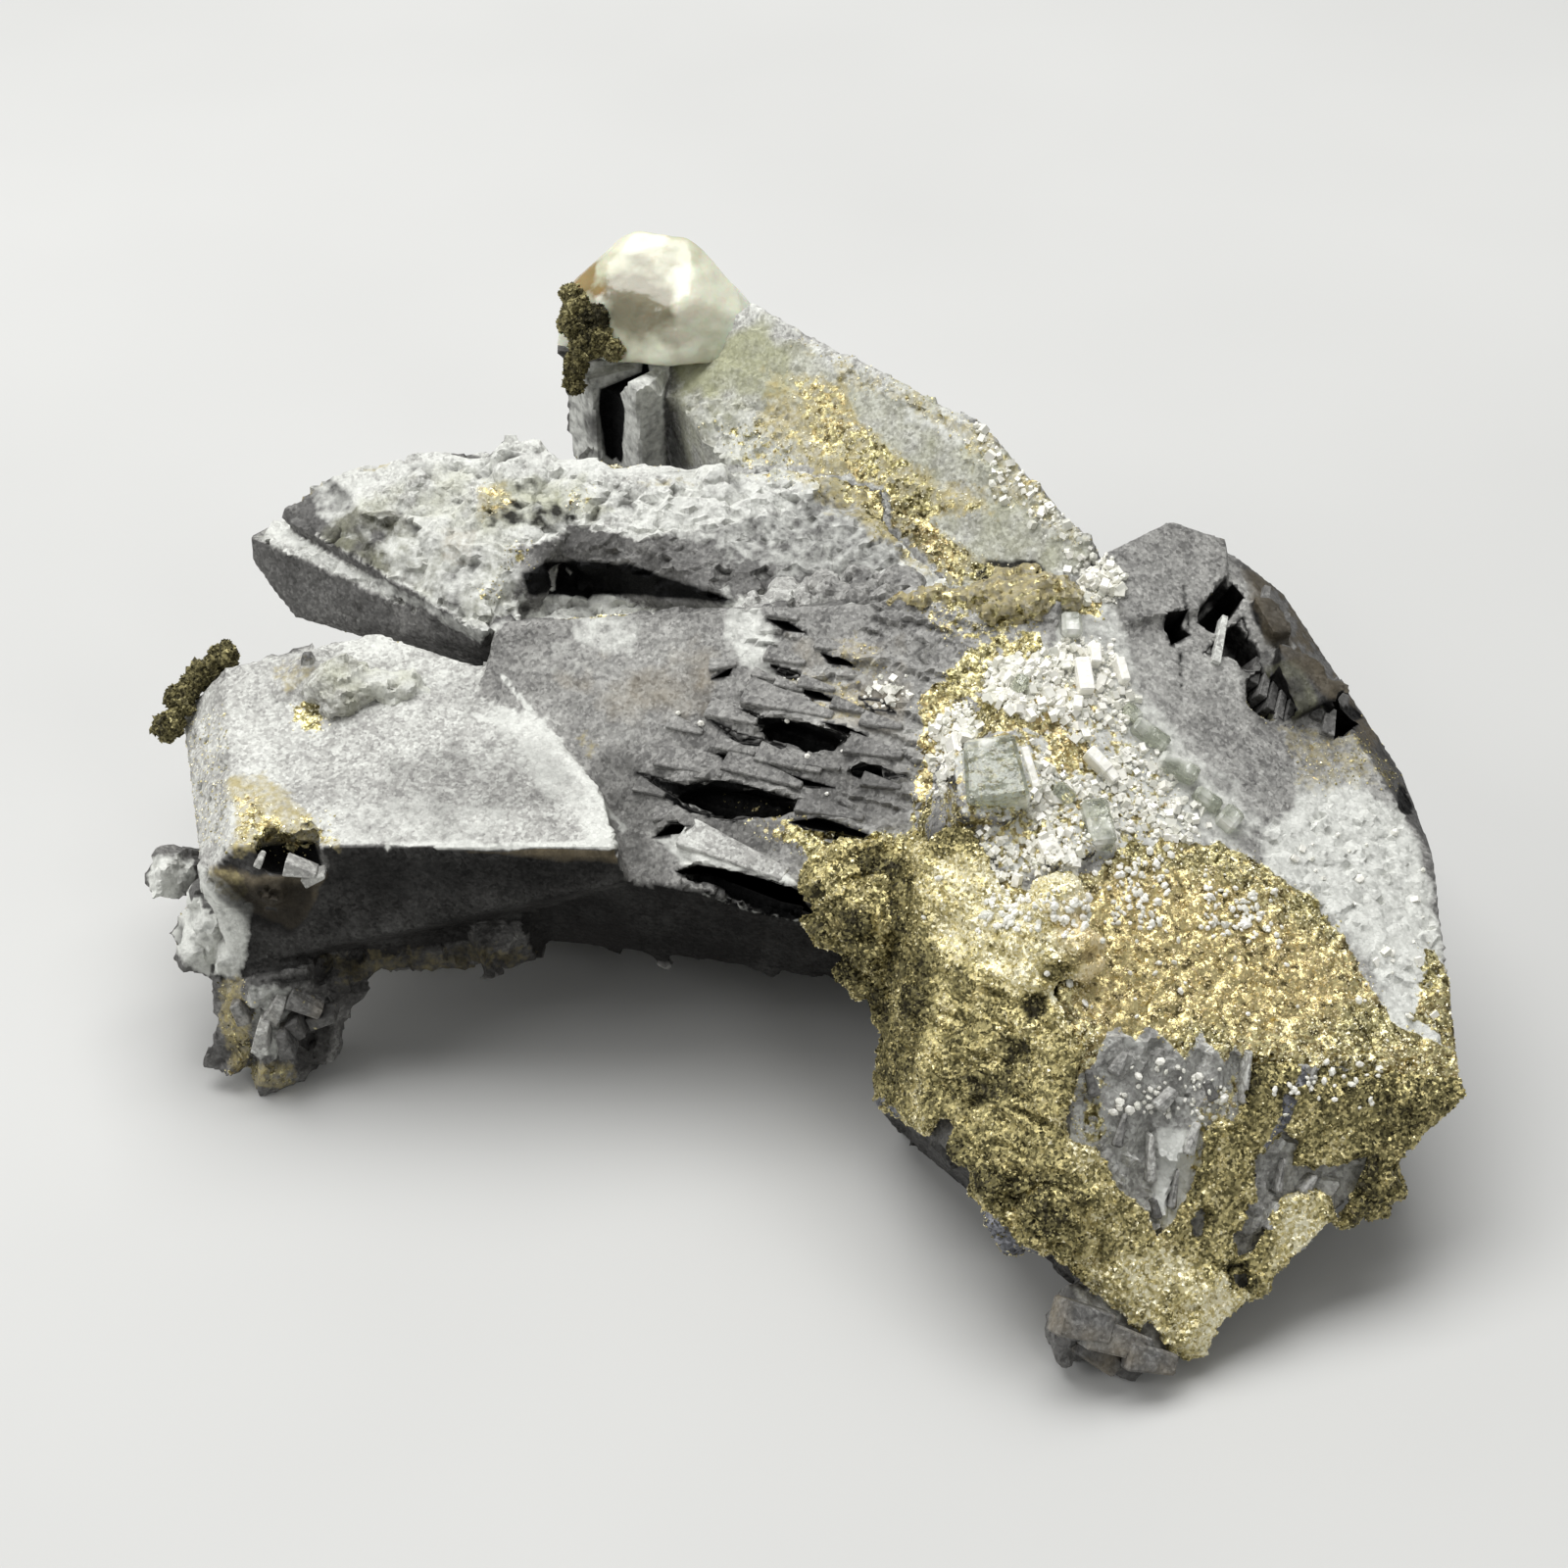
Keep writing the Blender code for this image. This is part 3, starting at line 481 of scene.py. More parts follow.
@dataclass(frozen=True)
class Zone:
    """An area of one finish, outlined in the photograph's pixels.

    Args:
        finish: what it lays on the surface.
        outline: its corners in pixels.
        strength: how fully the finish covers it.
        fade: mm over which it ends.
        ragged: mm that its edge wanders.
        faces: the faces that it lies on, or none for all that the photograph shows there.
    """

    finish: Finish
    outline: Outline
    strength: float = 1.0
    fade: float = 0.7
    ragged: float = 0.8
    faces: tuple[Region, ...] = ()

    def cover(
        self, pixels: np.ndarray, labels: np.ndarray, shown: np.ndarray, wander: np.ndarray
    ) -> np.ndarray:
        """How much of the finish each point has.

        Args:
            pixels: the points' pixels.
            labels: the points' region numbers.
            shown: whether the photograph shows each point.
            wander: noise from -1 to 1 that bends the edge.

        Returns:
            A share from 0 to the zone's strength.
        """
        corners = np.array(self.outline, float)
        reach = (self.fade + self.ragged + 0.5) * PIXELS_PER_MM
        near = (pixels > corners.min(axis=0) - reach).all(axis=1) & (pixels < corners.max(axis=0) + reach).all(axis=1)
        near &= np.isin(labels, [face.value for face in self.faces]) if self.faces else shown
        seen = pixels[near]
        inside = np.zeros(len(seen), bool)
        nearest = np.full(len(seen), 1e9)
        for start, end in zip(corners, np.roll(corners, -1, axis=0)):
            side = end - start
            along = np.clip(((seen - start) @ side) / (side @ side), 0.0, 1.0)
            nearest = np.minimum(nearest, np.linalg.norm(seen - start - along[:, None] * side, axis=1))
            crosses = (start[1] > seen[:, 1]) != (end[1] > seen[:, 1])
            rise = end[1] - start[1] if end[1] != start[1] else 1e-9
            inside ^= crosses & (seen[:, 0] < start[0] + (seen[:, 1] - start[1]) * side[0] / rise)
        distance = np.where(inside, nearest, -nearest) / PIXELS_PER_MM
        cover = np.zeros(len(pixels))
        cover[near] = smooth_step(distance + wander[near] * self.ragged, -self.fade, self.fade) * self.strength
        return cover


FROST, PYRITE, WARM, OCHRE, GREEN = Finish.FROST, Finish.PYRITE, Finish.WARM, Finish.OCHRE, Finish.GREEN
SHADE, DARK, BLACK, SMOOTH = Finish.SHADE, Finish.DARK, Finish.BLACK, Finish.SMOOTH
SUGAR, DRUSE, SPARK = Finish.SUGAR, Finish.DRUSE, Finish.SPARK
TOP = (Region.BLOCK_TOP, Region.ROUGH)
LEFT = (Region.LEFT_TOP, Region.ROUGH)
CENTRE = (Region.CENTRE_BROAD, Region.ROUGH)

LEFT_ZONES = {
    "left_back_frost": Zone(FROST, ((225, 690), (350, 645), (500, 655), (560, 720), (430, 745), (330, 760),
        (262, 790), (240, 860), (225, 800)), 0.35, 1.5, 1.8, LEFT),
    "left_right_frost": Zone(FROST, ((500, 660), (575, 735), (645, 860), (600, 866), (500, 735)), 0.6, 0.9,
        1.2, LEFT),
    "left_front_frost": Zone(FROST, ((300, 830), (420, 800), (520, 820), (520, 866), (300, 868)), 0.5, 1.2,
        1.6, LEFT),
    "left_vein": Zone(FROST, ((484, 728), (500, 732), (570, 745), (569, 751), (520, 744), (486, 736)), 0.8,
        0.15, 0.3, LEFT),
    "left_vein_two": Zone(FROST, ((505, 690), (512, 690), (530, 740), (560, 800), (553, 802), (522, 745)),
        0.7, 0.15, 0.3, LEFT),
    "left_edge_line": Zone(FROST, ((508, 688), (516, 688), (640, 846), (634, 850)), 1.0, 0.15, 0.15),
    "left_rim": Zone(FROST, ((620, 820), (640, 850), (640, 866), (330, 868), (330, 862), (600, 858)), 1.0,
        0.2, 0.2, LEFT),
    "left_cloud": Zone(SHADE, ((430, 750), (560, 745), (600, 800), (560, 840), (440, 850), (380, 800)),
        0.40, 2.2, 2.2, LEFT),
    "left_cloud_two": Zone(SHADE, ((450, 690), (520, 680), (560, 730), (480, 740)), 0.25, 1.2, 1.5, LEFT),
    "left_end_frost": Zone(FROST, ((150, 640), (262, 660), (245, 1000), (150, 1010)), 0.1, 0.8, 1.2,
        (Region.LEFT_BEVEL, Region.LEFT_END)),
    "left_front_top": Zone(BLACK, ((335, 868), (640, 866), (640, 886), (560, 912), (380, 915), (330, 900)),
        0.4, 1.4, 0.6, (Region.LEFT_FRONT,)),
    "left_front_edge": Zone(WARM, ((460, 864), (640, 858), (640, 884), (520, 876)), 0.85, 0.5, 0.4,
        (Region.LEFT_FRONT,)),
    "left_front_mauve": Zone(FROST, ((240, 930), (420, 940), (560, 930), (540, 950), (430, 985),
        (260, 1000)), 0.12, 1.6, 1.0, (Region.LEFT_FRONT, Region.LEFT_UNDER, Region.ROUGH)),
    "left_under_rust": Zone(OCHRE, ((330, 975), (532, 960), (560, 985), (340, 1010)), 0.45, 0.8, 0.9),
    "left_under_shade": Zone(SHADE, ((300, 970), (532, 955), (640, 930), (640, 1010), (340, 1030)), 0.8,
        1.0, 0.9),
    "left_stain": Zone(OCHRE, ((232, 798), (262, 792), (296, 806), (330, 840), (345, 868), (236, 870)),
        0.62, 0.7, 1.0),
    "left_gold": Zone(PYRITE, ((234, 810), (262, 806), (290, 830), (312, 866), (236, 868)), 0.55, 0.7, 0.8,
        LEFT),
    "left_gold_spray": Zone(PYRITE, ((290, 812), (345, 840), (345, 868), (300, 868)), 0.42, 0.6, 0.8, LEFT),
    "lump_stain": Zone(OCHRE, ((278, 680), (318, 668), (330, 700), (290, 712)), 0.5, 0.7, 0.8, LEFT),
    "lump_gold": Zone(PYRITE, ((290, 716), (322, 714), (345, 730), (330, 750), (304, 742)), 0.62, 0.5, 0.6,
        LEFT),
    # Painted shade in the cavity beside the corner chunk.
    "corner_cavity": Zone(BLACK, ((262, 864), (322, 860), (330, 884), (300, 890), (264, 886)), 0.95, 0.3,
        0.3),
    "corner_chunk": Zone(WARM, ((211, 880), (262, 892), (339, 884), (330, 910), (300, 948), (240, 935)),
        0.7, 0.5, 0.6),
    "corner_chunk_gold": Zone(OCHRE, ((211, 880), (250, 890), (262, 915), (240, 925), (214, 900)), 0.55,
        0.5, 0.6),
    "corner_chunk_black": Zone(BLACK, ((211, 890), (262, 896), (330, 896), (300, 955), (250, 948)), 0.36,
        0.5, 0.8),
    "corner_chunk_shade": Zone(SHADE, ((211, 895), (262, 900), (330, 900), (300, 955), (250, 948)), 0.85,
        0.6, 0.6),
    "left_specks": Zone(SHADE, ((160, 740), (200, 740), (200, 860), (160, 860)), 0.36, 0.5, 0.9),
    "left_end_gold": Zone(PYRITE, ((160, 730), (240, 720), (240, 860), (170, 880)), 0.33, 0.6, 0.9,
        (Region.LEFT_BEVEL, Region.LEFT_END)),
    "small_white_crystals": Zone(FROST, ((148, 870), (200, 876), (262, 925), (246, 1000), (188, 990),
        (150, 915)), 0.75, 0.4, 0.3),
    "foot_gold_left": Zone(OCHRE, ((220, 1000), (248, 996), (256, 1060), (252, 1096), (230, 1092)), 0.6,
        0.5, 0.6),
    "foot_gold_bottom": Zone(OCHRE, ((248, 1082), (300, 1080), (306, 1112), (252, 1112)), 0.55, 0.4, 0.5),
    "foot_gold_specks": Zone(PYRITE, ((220, 1000), (256, 996), (262, 1080), (300, 1090), (306, 1112),
        (230, 1100)), 0.42, 0.5, 0.6),
    "foot_mauve": Zone(FROST, ((252, 1000), (300, 1005), (302, 1086), (256, 1080)), 0.5, 0.4, 0.4),
    "foot_shade": Zone(SHADE, ((300, 1010), (345, 1045), (330, 1095), (300, 1095)), 0.9, 0.4, 0.3),
}
CENTRE_ZONES = {
    "centre_tan": Zone(WARM, ((555, 690), (600, 672), (720, 640), (745, 700), (705, 765), (620, 750)), 0.50,
        1.6, 1.8, CENTRE),
    "centre_pale": Zone(FROST, ((545, 650), (640, 610), (700, 640), (720, 740), (620, 760), (560, 700)),
        0.1, 2.0, 1.6, CENTRE),
    "centre_crack_frost": Zone(FROST, ((739, 600), (790, 640), (790, 690), (765, 690), (735, 655)), 0.7,
        0.7, 1.2),
    "centre_rim_frost": Zone(FROST, ((577, 612), (658, 612), (650, 668), (585, 655)), 0.6, 0.8, 1.4),
    "centre_left_plate": Zone(FROST, ((502, 655), (560, 650), (610, 665), (612, 700), (560, 690)), 0.35,
        0.3, 0.4, CENTRE),
    "centre_shade": Zone(SHADE, ((600, 770), (640, 760), (700, 800), (660, 850), (680, 900), (620, 910),
        (590, 850)), 0.6, 1.0, 1.0, CENTRE),
    "centre_low_shade": Zone(SHADE, ((650, 826), (700, 826), (830, 830), (830, 880), (720, 850),
        (660, 850)), 0.55, 0.8, 0.8, CENTRE),
    "centre_right_shade": Zone(SHADE, ((840, 760), (935, 770), (935, 850), (880, 850), (800, 805)), 0.45,
        1.2, 1.2, CENTRE),
    # The slots and cracks, from here to crack_seven, are painted black: painted shade in them.
    "slot_upper": Zone(BLACK, ((758, 722), (775, 733), (829, 740), (868, 753), (848, 764), (820, 763),
        (781, 748)), 1.0, 0.14, 0.12),
    "slot_upper_tail": Zone(BLACK, ((722, 733), (751, 750), (778, 756), (818, 759), (790, 763), (748, 757)),
        0.95, 0.13, 0.1),
    "slot_right": Zone(BLACK, ((863, 787), (880, 779), (926, 791), (896, 796), (872, 793)), 0.95, 0.14,
        0.1),
    "slot_hair": Zone(BLACK, ((776, 781), (805, 792), (852, 804), (820, 803), (795, 796)), 0.85, 0.12, 0.1),
    "slot_big": Zone(BLACK, ((650, 788), (700, 803), (724, 798), (751, 798), (790, 810), (834, 821),
        (790, 832), (745, 838), (706, 827), (682, 815)), 1.0, 0.14, 0.12),
    "slot_small": Zone(BLACK, ((668, 853), (685, 841), (707, 842), (691, 850)), 0.9, 0.13, 0.1),
    "slot_low": Zone(BLACK, ((690, 889), (709, 884), (760, 892), (816, 908), (822, 936), (784, 928),
        (730, 907)), 1.0, 0.14, 0.12),
    "slot_gold": Zone(BLACK, ((806, 839), (838, 834), (886, 849), (882, 857), (844, 850)), 0.9, 0.14, 0.1),
    "crack_one": Zone(BLACK, ((786, 680), (800, 684), (820, 692), (804, 693)), 0.8, 0.12, 0.1),
    "crack_two": Zone(BLACK, ((725, 693), (746, 680), (742, 689)), 0.7, 0.12, 0.1),
    "crack_three": Zone(BLACK, ((786, 632), (802, 635), (820, 645), (800, 643)), 0.7, 0.12, 0.1),
    "crack_four": Zone(BLACK, ((812, 703), (835, 707), (852, 716), (832, 713)), 0.7, 0.12, 0.1),
    "crack_five": Zone(BLACK, ((838, 668), (856, 671), (868, 680), (850, 677)), 0.6, 0.12, 0.1),
    "crack_six": Zone(BLACK, ((792, 705), (812, 712), (826, 722), (806, 717)), 0.6, 0.12, 0.1),
    "crack_seven": Zone(BLACK, ((730, 770), (756, 776), (776, 786), (752, 782)), 0.6, 0.12, 0.1),
    "ledge_frost": Zone(FROST, ((668, 856), (690, 850), (726, 854), (814, 896), (817, 908), (760, 891),
        (700, 885)), 0.7, 0.3, 0.4),
    "ledge_line": Zone(FROST, ((700, 902), (735, 915), (790, 930), (818, 937), (815, 943), (760, 930),
        (716, 915)), 0.4, 0.15, 0.15),
    "slot_lip": Zone(FROST, ((760, 716), (780, 724), (840, 731), (870, 746), (866, 751), (820, 738),
        (770, 731)), 0.25, 0.2, 0.3, CENTRE),
    "rust_patch": Zone(OCHRE, ((800, 690), (860, 690), (895, 722), (885, 742), (830, 728)), 0.42, 0.6, 1.2,
        CENTRE),
    "rust_specks": Zone(PYRITE, ((800, 695), (860, 695), (890, 722), (880, 738), (830, 725)), 0.40, 0.6,
        0.8, CENTRE),
    "tan_patch": Zone(OCHRE, ((845, 650), (890, 645), (915, 680), (895, 700), (855, 690)), 0.36, 0.7, 1.2,
        CENTRE),
    "tan_specks": Zone(PYRITE, ((850, 655), (890, 650), (915, 680), (895, 695), (855, 688)), 0.36, 0.6, 0.9,
        CENTRE),
    "tan_patch_stain": Zone(WARM, ((800, 640), (930, 640), (940, 770), (840, 745)), 0.5, 1.2, 1.6, CENTRE),
    "gold_ledge": Zone(PYRITE, ((780, 828), (820, 834), (900, 850), (940, 852), (935, 900), (830, 885)),
        0.85, 0.6, 0.9),
    "gold_ledge_spray": Zone(PYRITE, ((730, 818), (830, 822), (840, 885), (790, 866)), 0.42, 0.7, 0.9),
    "gold_joint": Zone(PYRITE, ((935, 720), (985, 665), (1030, 630), (1030, 660), (972, 730), (950, 860),
        (930, 860)), 0.70, 0.6, 0.9),
    "olive_joint": Zone(OCHRE, ((580, 742), (606, 742), (620, 775), (596, 775)), 0.42, 0.5, 0.6, CENTRE),
    "pink_grains": Zone(DRUSE, ((886, 692), (926, 690), (930, 720), (890, 720)), 0.5, 0.5, 0.6, CENTRE),
    "centre_sparks": Zone(SPARK, ((620, 640), (900, 690), (900, 840), (640, 800)), 0.035, 1.0, 0.4, CENTRE),
}
MIDDLE = (Region.MIDDLE_CRUST, Region.ROUGH)
MIDDLE_ZONES = {
    "crust_cream": Zone(GREEN, ((300, 540), (392, 490), (420, 470), (520, 470), (520, 560), (530, 620),
        (494, 654), (400, 600)), 0.5, 1.2, 1.5, MIDDLE),
    "crust_white": Zone(FROST, ((350, 545), (440, 520), (530, 560), (540, 600), (494, 654), (430, 610)),
        0.6, 1.2, 1.4, MIDDLE),
    "crust_rim": Zone(FROST, ((300, 500), (350, 465), (520, 462), (600, 455), (880, 480), (880, 505),
        (600, 480), (420, 490), (320, 515)), 0.5, 0.8, 1.0, MIDDLE),
    "crust_pale": Zone(FROST, ((505, 480), (600, 462), (700, 486), (690, 560), (640, 530), (560, 560),
        (500, 545)), 0.3, 1.0, 1.6),
    "crust_olive": Zone(GREEN, ((488, 486), (600, 480), (620, 520), (560, 545), (490, 540)), 0.7, 1.0, 1.4),
    "crust_lip": Zone(FROST, ((452, 622), (494, 640), (533, 600), (540, 612), (494, 660), (450, 636)), 0.6,
        0.3, 0.3),
    "bluish_facet": Zone(SMOOTH, ((312, 510), (347, 479), (388, 482), (392, 499), (336, 544), (314, 528)),
        1.0, 0.3, 0.2),
    "bluish_facet_frost": Zone(FROST, ((320, 512), (350, 486), (385, 486), (388, 499), (338, 538),
        (322, 526)), 0.6, 0.4, 0.3),
    "facet_gold_rim": Zone(OCHRE, ((282, 515), (345, 474), (400, 468), (400, 478), (350, 484), (316, 508)),
        0.5, 0.3, 0.6),
    "tip_gold": Zone(OCHRE, ((250, 528), (266, 524), (276, 540), (258, 545)), 0.6, 0.3, 0.4),
    "olive_lump": Zone(PYRITE, ((485, 494), (515, 490), (524, 518), (490, 526)), 0.5, 0.4, 0.6),
    "olive_lump_stain": Zone(OCHRE, ((480, 490), (520, 488), (530, 530), (486, 530)), 0.55, 0.5, 0.8),
    "olive_lump_two": Zone(PYRITE, ((574, 498), (604, 494), (606, 514), (580, 522)), 0.5, 0.4, 0.6),
    "dark_specks": Zone(DARK, ((488, 514), (560, 508), (590, 530), (560, 548), (500, 536)), 0.62, 0.3, 1.2),
    "dark_specks_two": Zone(DARK, ((520, 490), (545, 488), (548, 505), (525, 508)), 0.6, 0.25, 0.8),
    "lump_shade": Zone(SHADE, ((575, 545), (632, 540), (640, 575), (578, 578)), 0.5, 0.5, 0.8),
    "gold_crumb": Zone(PYRITE, ((515, 555), (545, 555), (545, 582), (515, 582)), 0.45, 0.4, 0.7),
    "gold_crumb_two": Zone(PYRITE, ((490, 588), (516, 588), (516, 612), (490, 612)), 0.45, 0.4, 0.6),
    "brown_crumb": Zone(WARM, ((450, 538), (486, 538), (486, 574), (450, 574)), 0.9, 0.6, 0.8),
    "right_part": Zone(FROST, ((600, 490), (880, 490), (1000, 610), (900, 620), (760, 580), (690, 560),
        (640, 520)), 0.5, 1.3, 1.8, (Region.MIDDLE_CRUST, Region.ROUGH, Region.CENTRE_BROAD)),
    "right_grey": Zone(SHADE, ((780, 560), (900, 560), (1000, 640), (900, 660), (820, 600)), 0.22, 1.6, 1.8,
        (Region.MIDDLE_CRUST, Region.ROUGH, Region.CENTRE_BROAD)),
    "right_sugar": Zone(SUGAR, ((560, 500), (900, 480), (1010, 610), (800, 570), (590, 600)), 0.8, 1.0,
        1.0),
    "edge_gold": Zone(OCHRE, ((640, 488), (700, 485), (720, 495), (650, 498)), 0.5, 0.4, 0.8),
    # Painted shadow in the gap under the middle crystal's overhanging slab.
    "gap": Zone(BLACK, ((533, 585), (560, 573), (640, 575), (700, 595), (754, 616), (700, 612), (600, 606),
        (540, 606)), 0.95, 0.4, 0.3),
    "strip_shade": Zone(SHADE, ((536, 604), (700, 612), (756, 616), (760, 634), (560, 634)), 0.42, 0.4,
        0.6),
    "strip_specks": Zone(FROST, ((590, 606), (650, 610), (650, 640), (590, 640)), 0.35, 0.6, 1.2),
    "second_ledge": Zone(FROST, ((254, 526), (300, 545), (352, 574), (450, 620), (452, 632), (350, 586),
        (260, 540)), 0.6, 0.25, 0.3),
    "side_ridge": Zone(FROST, ((308, 575), (318, 575), (360, 650), (345, 650)), 0.25, 0.5, 0.4),
}
BACK_ZONES = {
    "back_tint": Zone(GREEN, ((664, 345), (778, 325), (960, 400), (1080, 470), (1130, 570), (1000, 640),
        (820, 490), (690, 484)), 0.6, 1.4, 1.4),
    "green_glass": Zone(GREEN, ((664, 345), (700, 350), (778, 330), (812, 360), (815, 410), (740, 412),
        (690, 402)), 0.95, 1.0, 1.0),
    "white_gold_left": Zone(FROST, ((690, 400), (800, 405), (800, 480), (740, 484), (705, 440)), 0.45, 0.8,
        1.4),
    "left_grains": Zone(SUGAR, ((690, 400), (815, 408), (820, 450), (800, 484), (740, 484), (700, 440)),
        1.0, 0.8, 1.0),
    "crest_frost": Zone(FROST, ((785, 325), (960, 402), (1060, 460), (1128, 556), (1090, 560), (1000, 470),
        (880, 400)), 0.55, 0.9, 1.4, (Region.BACK_BROAD, Region.ROUGH)),
    "crest_sugar": Zone(SUGAR, ((785, 325), (960, 402), (1060, 460), (1128, 556), (1090, 575), (1000, 490),
        (880, 410)), 1.0, 0.8, 1.0),
    "crest_grains": Zone(DRUSE, ((985, 425), (1060, 460), (1128, 556), (1090, 575), (1030, 520),
        (990, 480)), 0.22, 0.8, 1.0),
    "crest_gold": Zone(PYRITE, ((800, 340), (900, 380), (985, 420), (1060, 470), (1120, 560), (1080, 560),
        (990, 470), (880, 400)), 0.42, 0.8, 1.6),
    "crest_stain": Zone(OCHRE, ((800, 340), (900, 380), (985, 420), (1060, 470), (1120, 560), (1060, 540),
        (960, 450), (880, 410)), 0.5, 1.2, 1.8),
    "gold_field": Zone(PYRITE, ((800, 380), (849, 388), (895, 420), (925, 450), (945, 484), (980, 500),
        (1030, 550), (1030, 590), (975, 616), (926, 572), (880, 530), (845, 480), (810, 432)), 0.55, 1.2,
        2.2),
    "gold_field_core": Zone(PYRITE, ((830, 420), (870, 430), (910, 490), (960, 520), (1000, 560),
        (980, 595), (930, 550), (880, 510)), 0.7, 1.0, 1.8),
    "gold_field_stain": Zone(OCHRE, ((780, 380), (860, 380), (960, 470), (1050, 550), (1030, 620),
        (930, 590), (830, 500), (770, 440)), 0.62, 1.5, 2.2),
    "gold_left": Zone(PYRITE, ((720, 430), (820, 425), (860, 500), (830, 500), (770, 484)), 0.45, 0.9, 1.8),
    "gold_foot": Zone(PYRITE, ((930, 600), (1000, 600), (1070, 620), (1060, 650), (1000, 660), (940, 640)),
        0.5, 0.8, 1.4),
    "blue_facet": Zone(SMOOTH, ((867, 402), (905, 405), (982, 450), (982, 490), (930, 470), (880, 430)),
        1.0, 0.5, 0.4),
    "blue_facet_two": Zone(SMOOTH, ((948, 530), (1000, 525), (1078, 560), (1078, 580), (1000, 570)), 1.0,
        0.5, 0.4),
    "cavern": Zone(DARK, ((985, 580), (1010, 570), (1067, 580), (1070, 600), (1040, 622), (1000, 610)),
        0.85, 0.6, 1.0),
    "tan_clump": Zone(PYRITE, ((1015, 598), (1060, 590), (1076, 610), (1040, 640), (1010, 640)), 0.65, 0.5,
        1.0),
    # Painted shade in the slot between the end's two slabs.
    "leg_slot": Zone(BLACK, ((615, 366), (622, 362), (636, 420), (634, 472), (620, 470), (612, 420)), 0.95,
        0.3, 0.1),
    "leg_shade": Zone(SHADE, ((595, 421), (616, 421), (630, 469), (600, 450)), 0.8, 0.4, 0.2),
    "leg_facet": Zone(SHADE, ((678, 400), (690, 440), (712, 484), (678, 484)), 0.5, 0.3, 0.2),
    "leg_frost": Zone(FROST, ((580, 358), (678, 350), (680, 484), (580, 484)), 0.65, 0.3, 0.2),
    "leg_smooth": Zone(SMOOTH, ((580, 350), (690, 350), (712, 490), (580, 480)), 1.0, 0.4, 0.2),
}
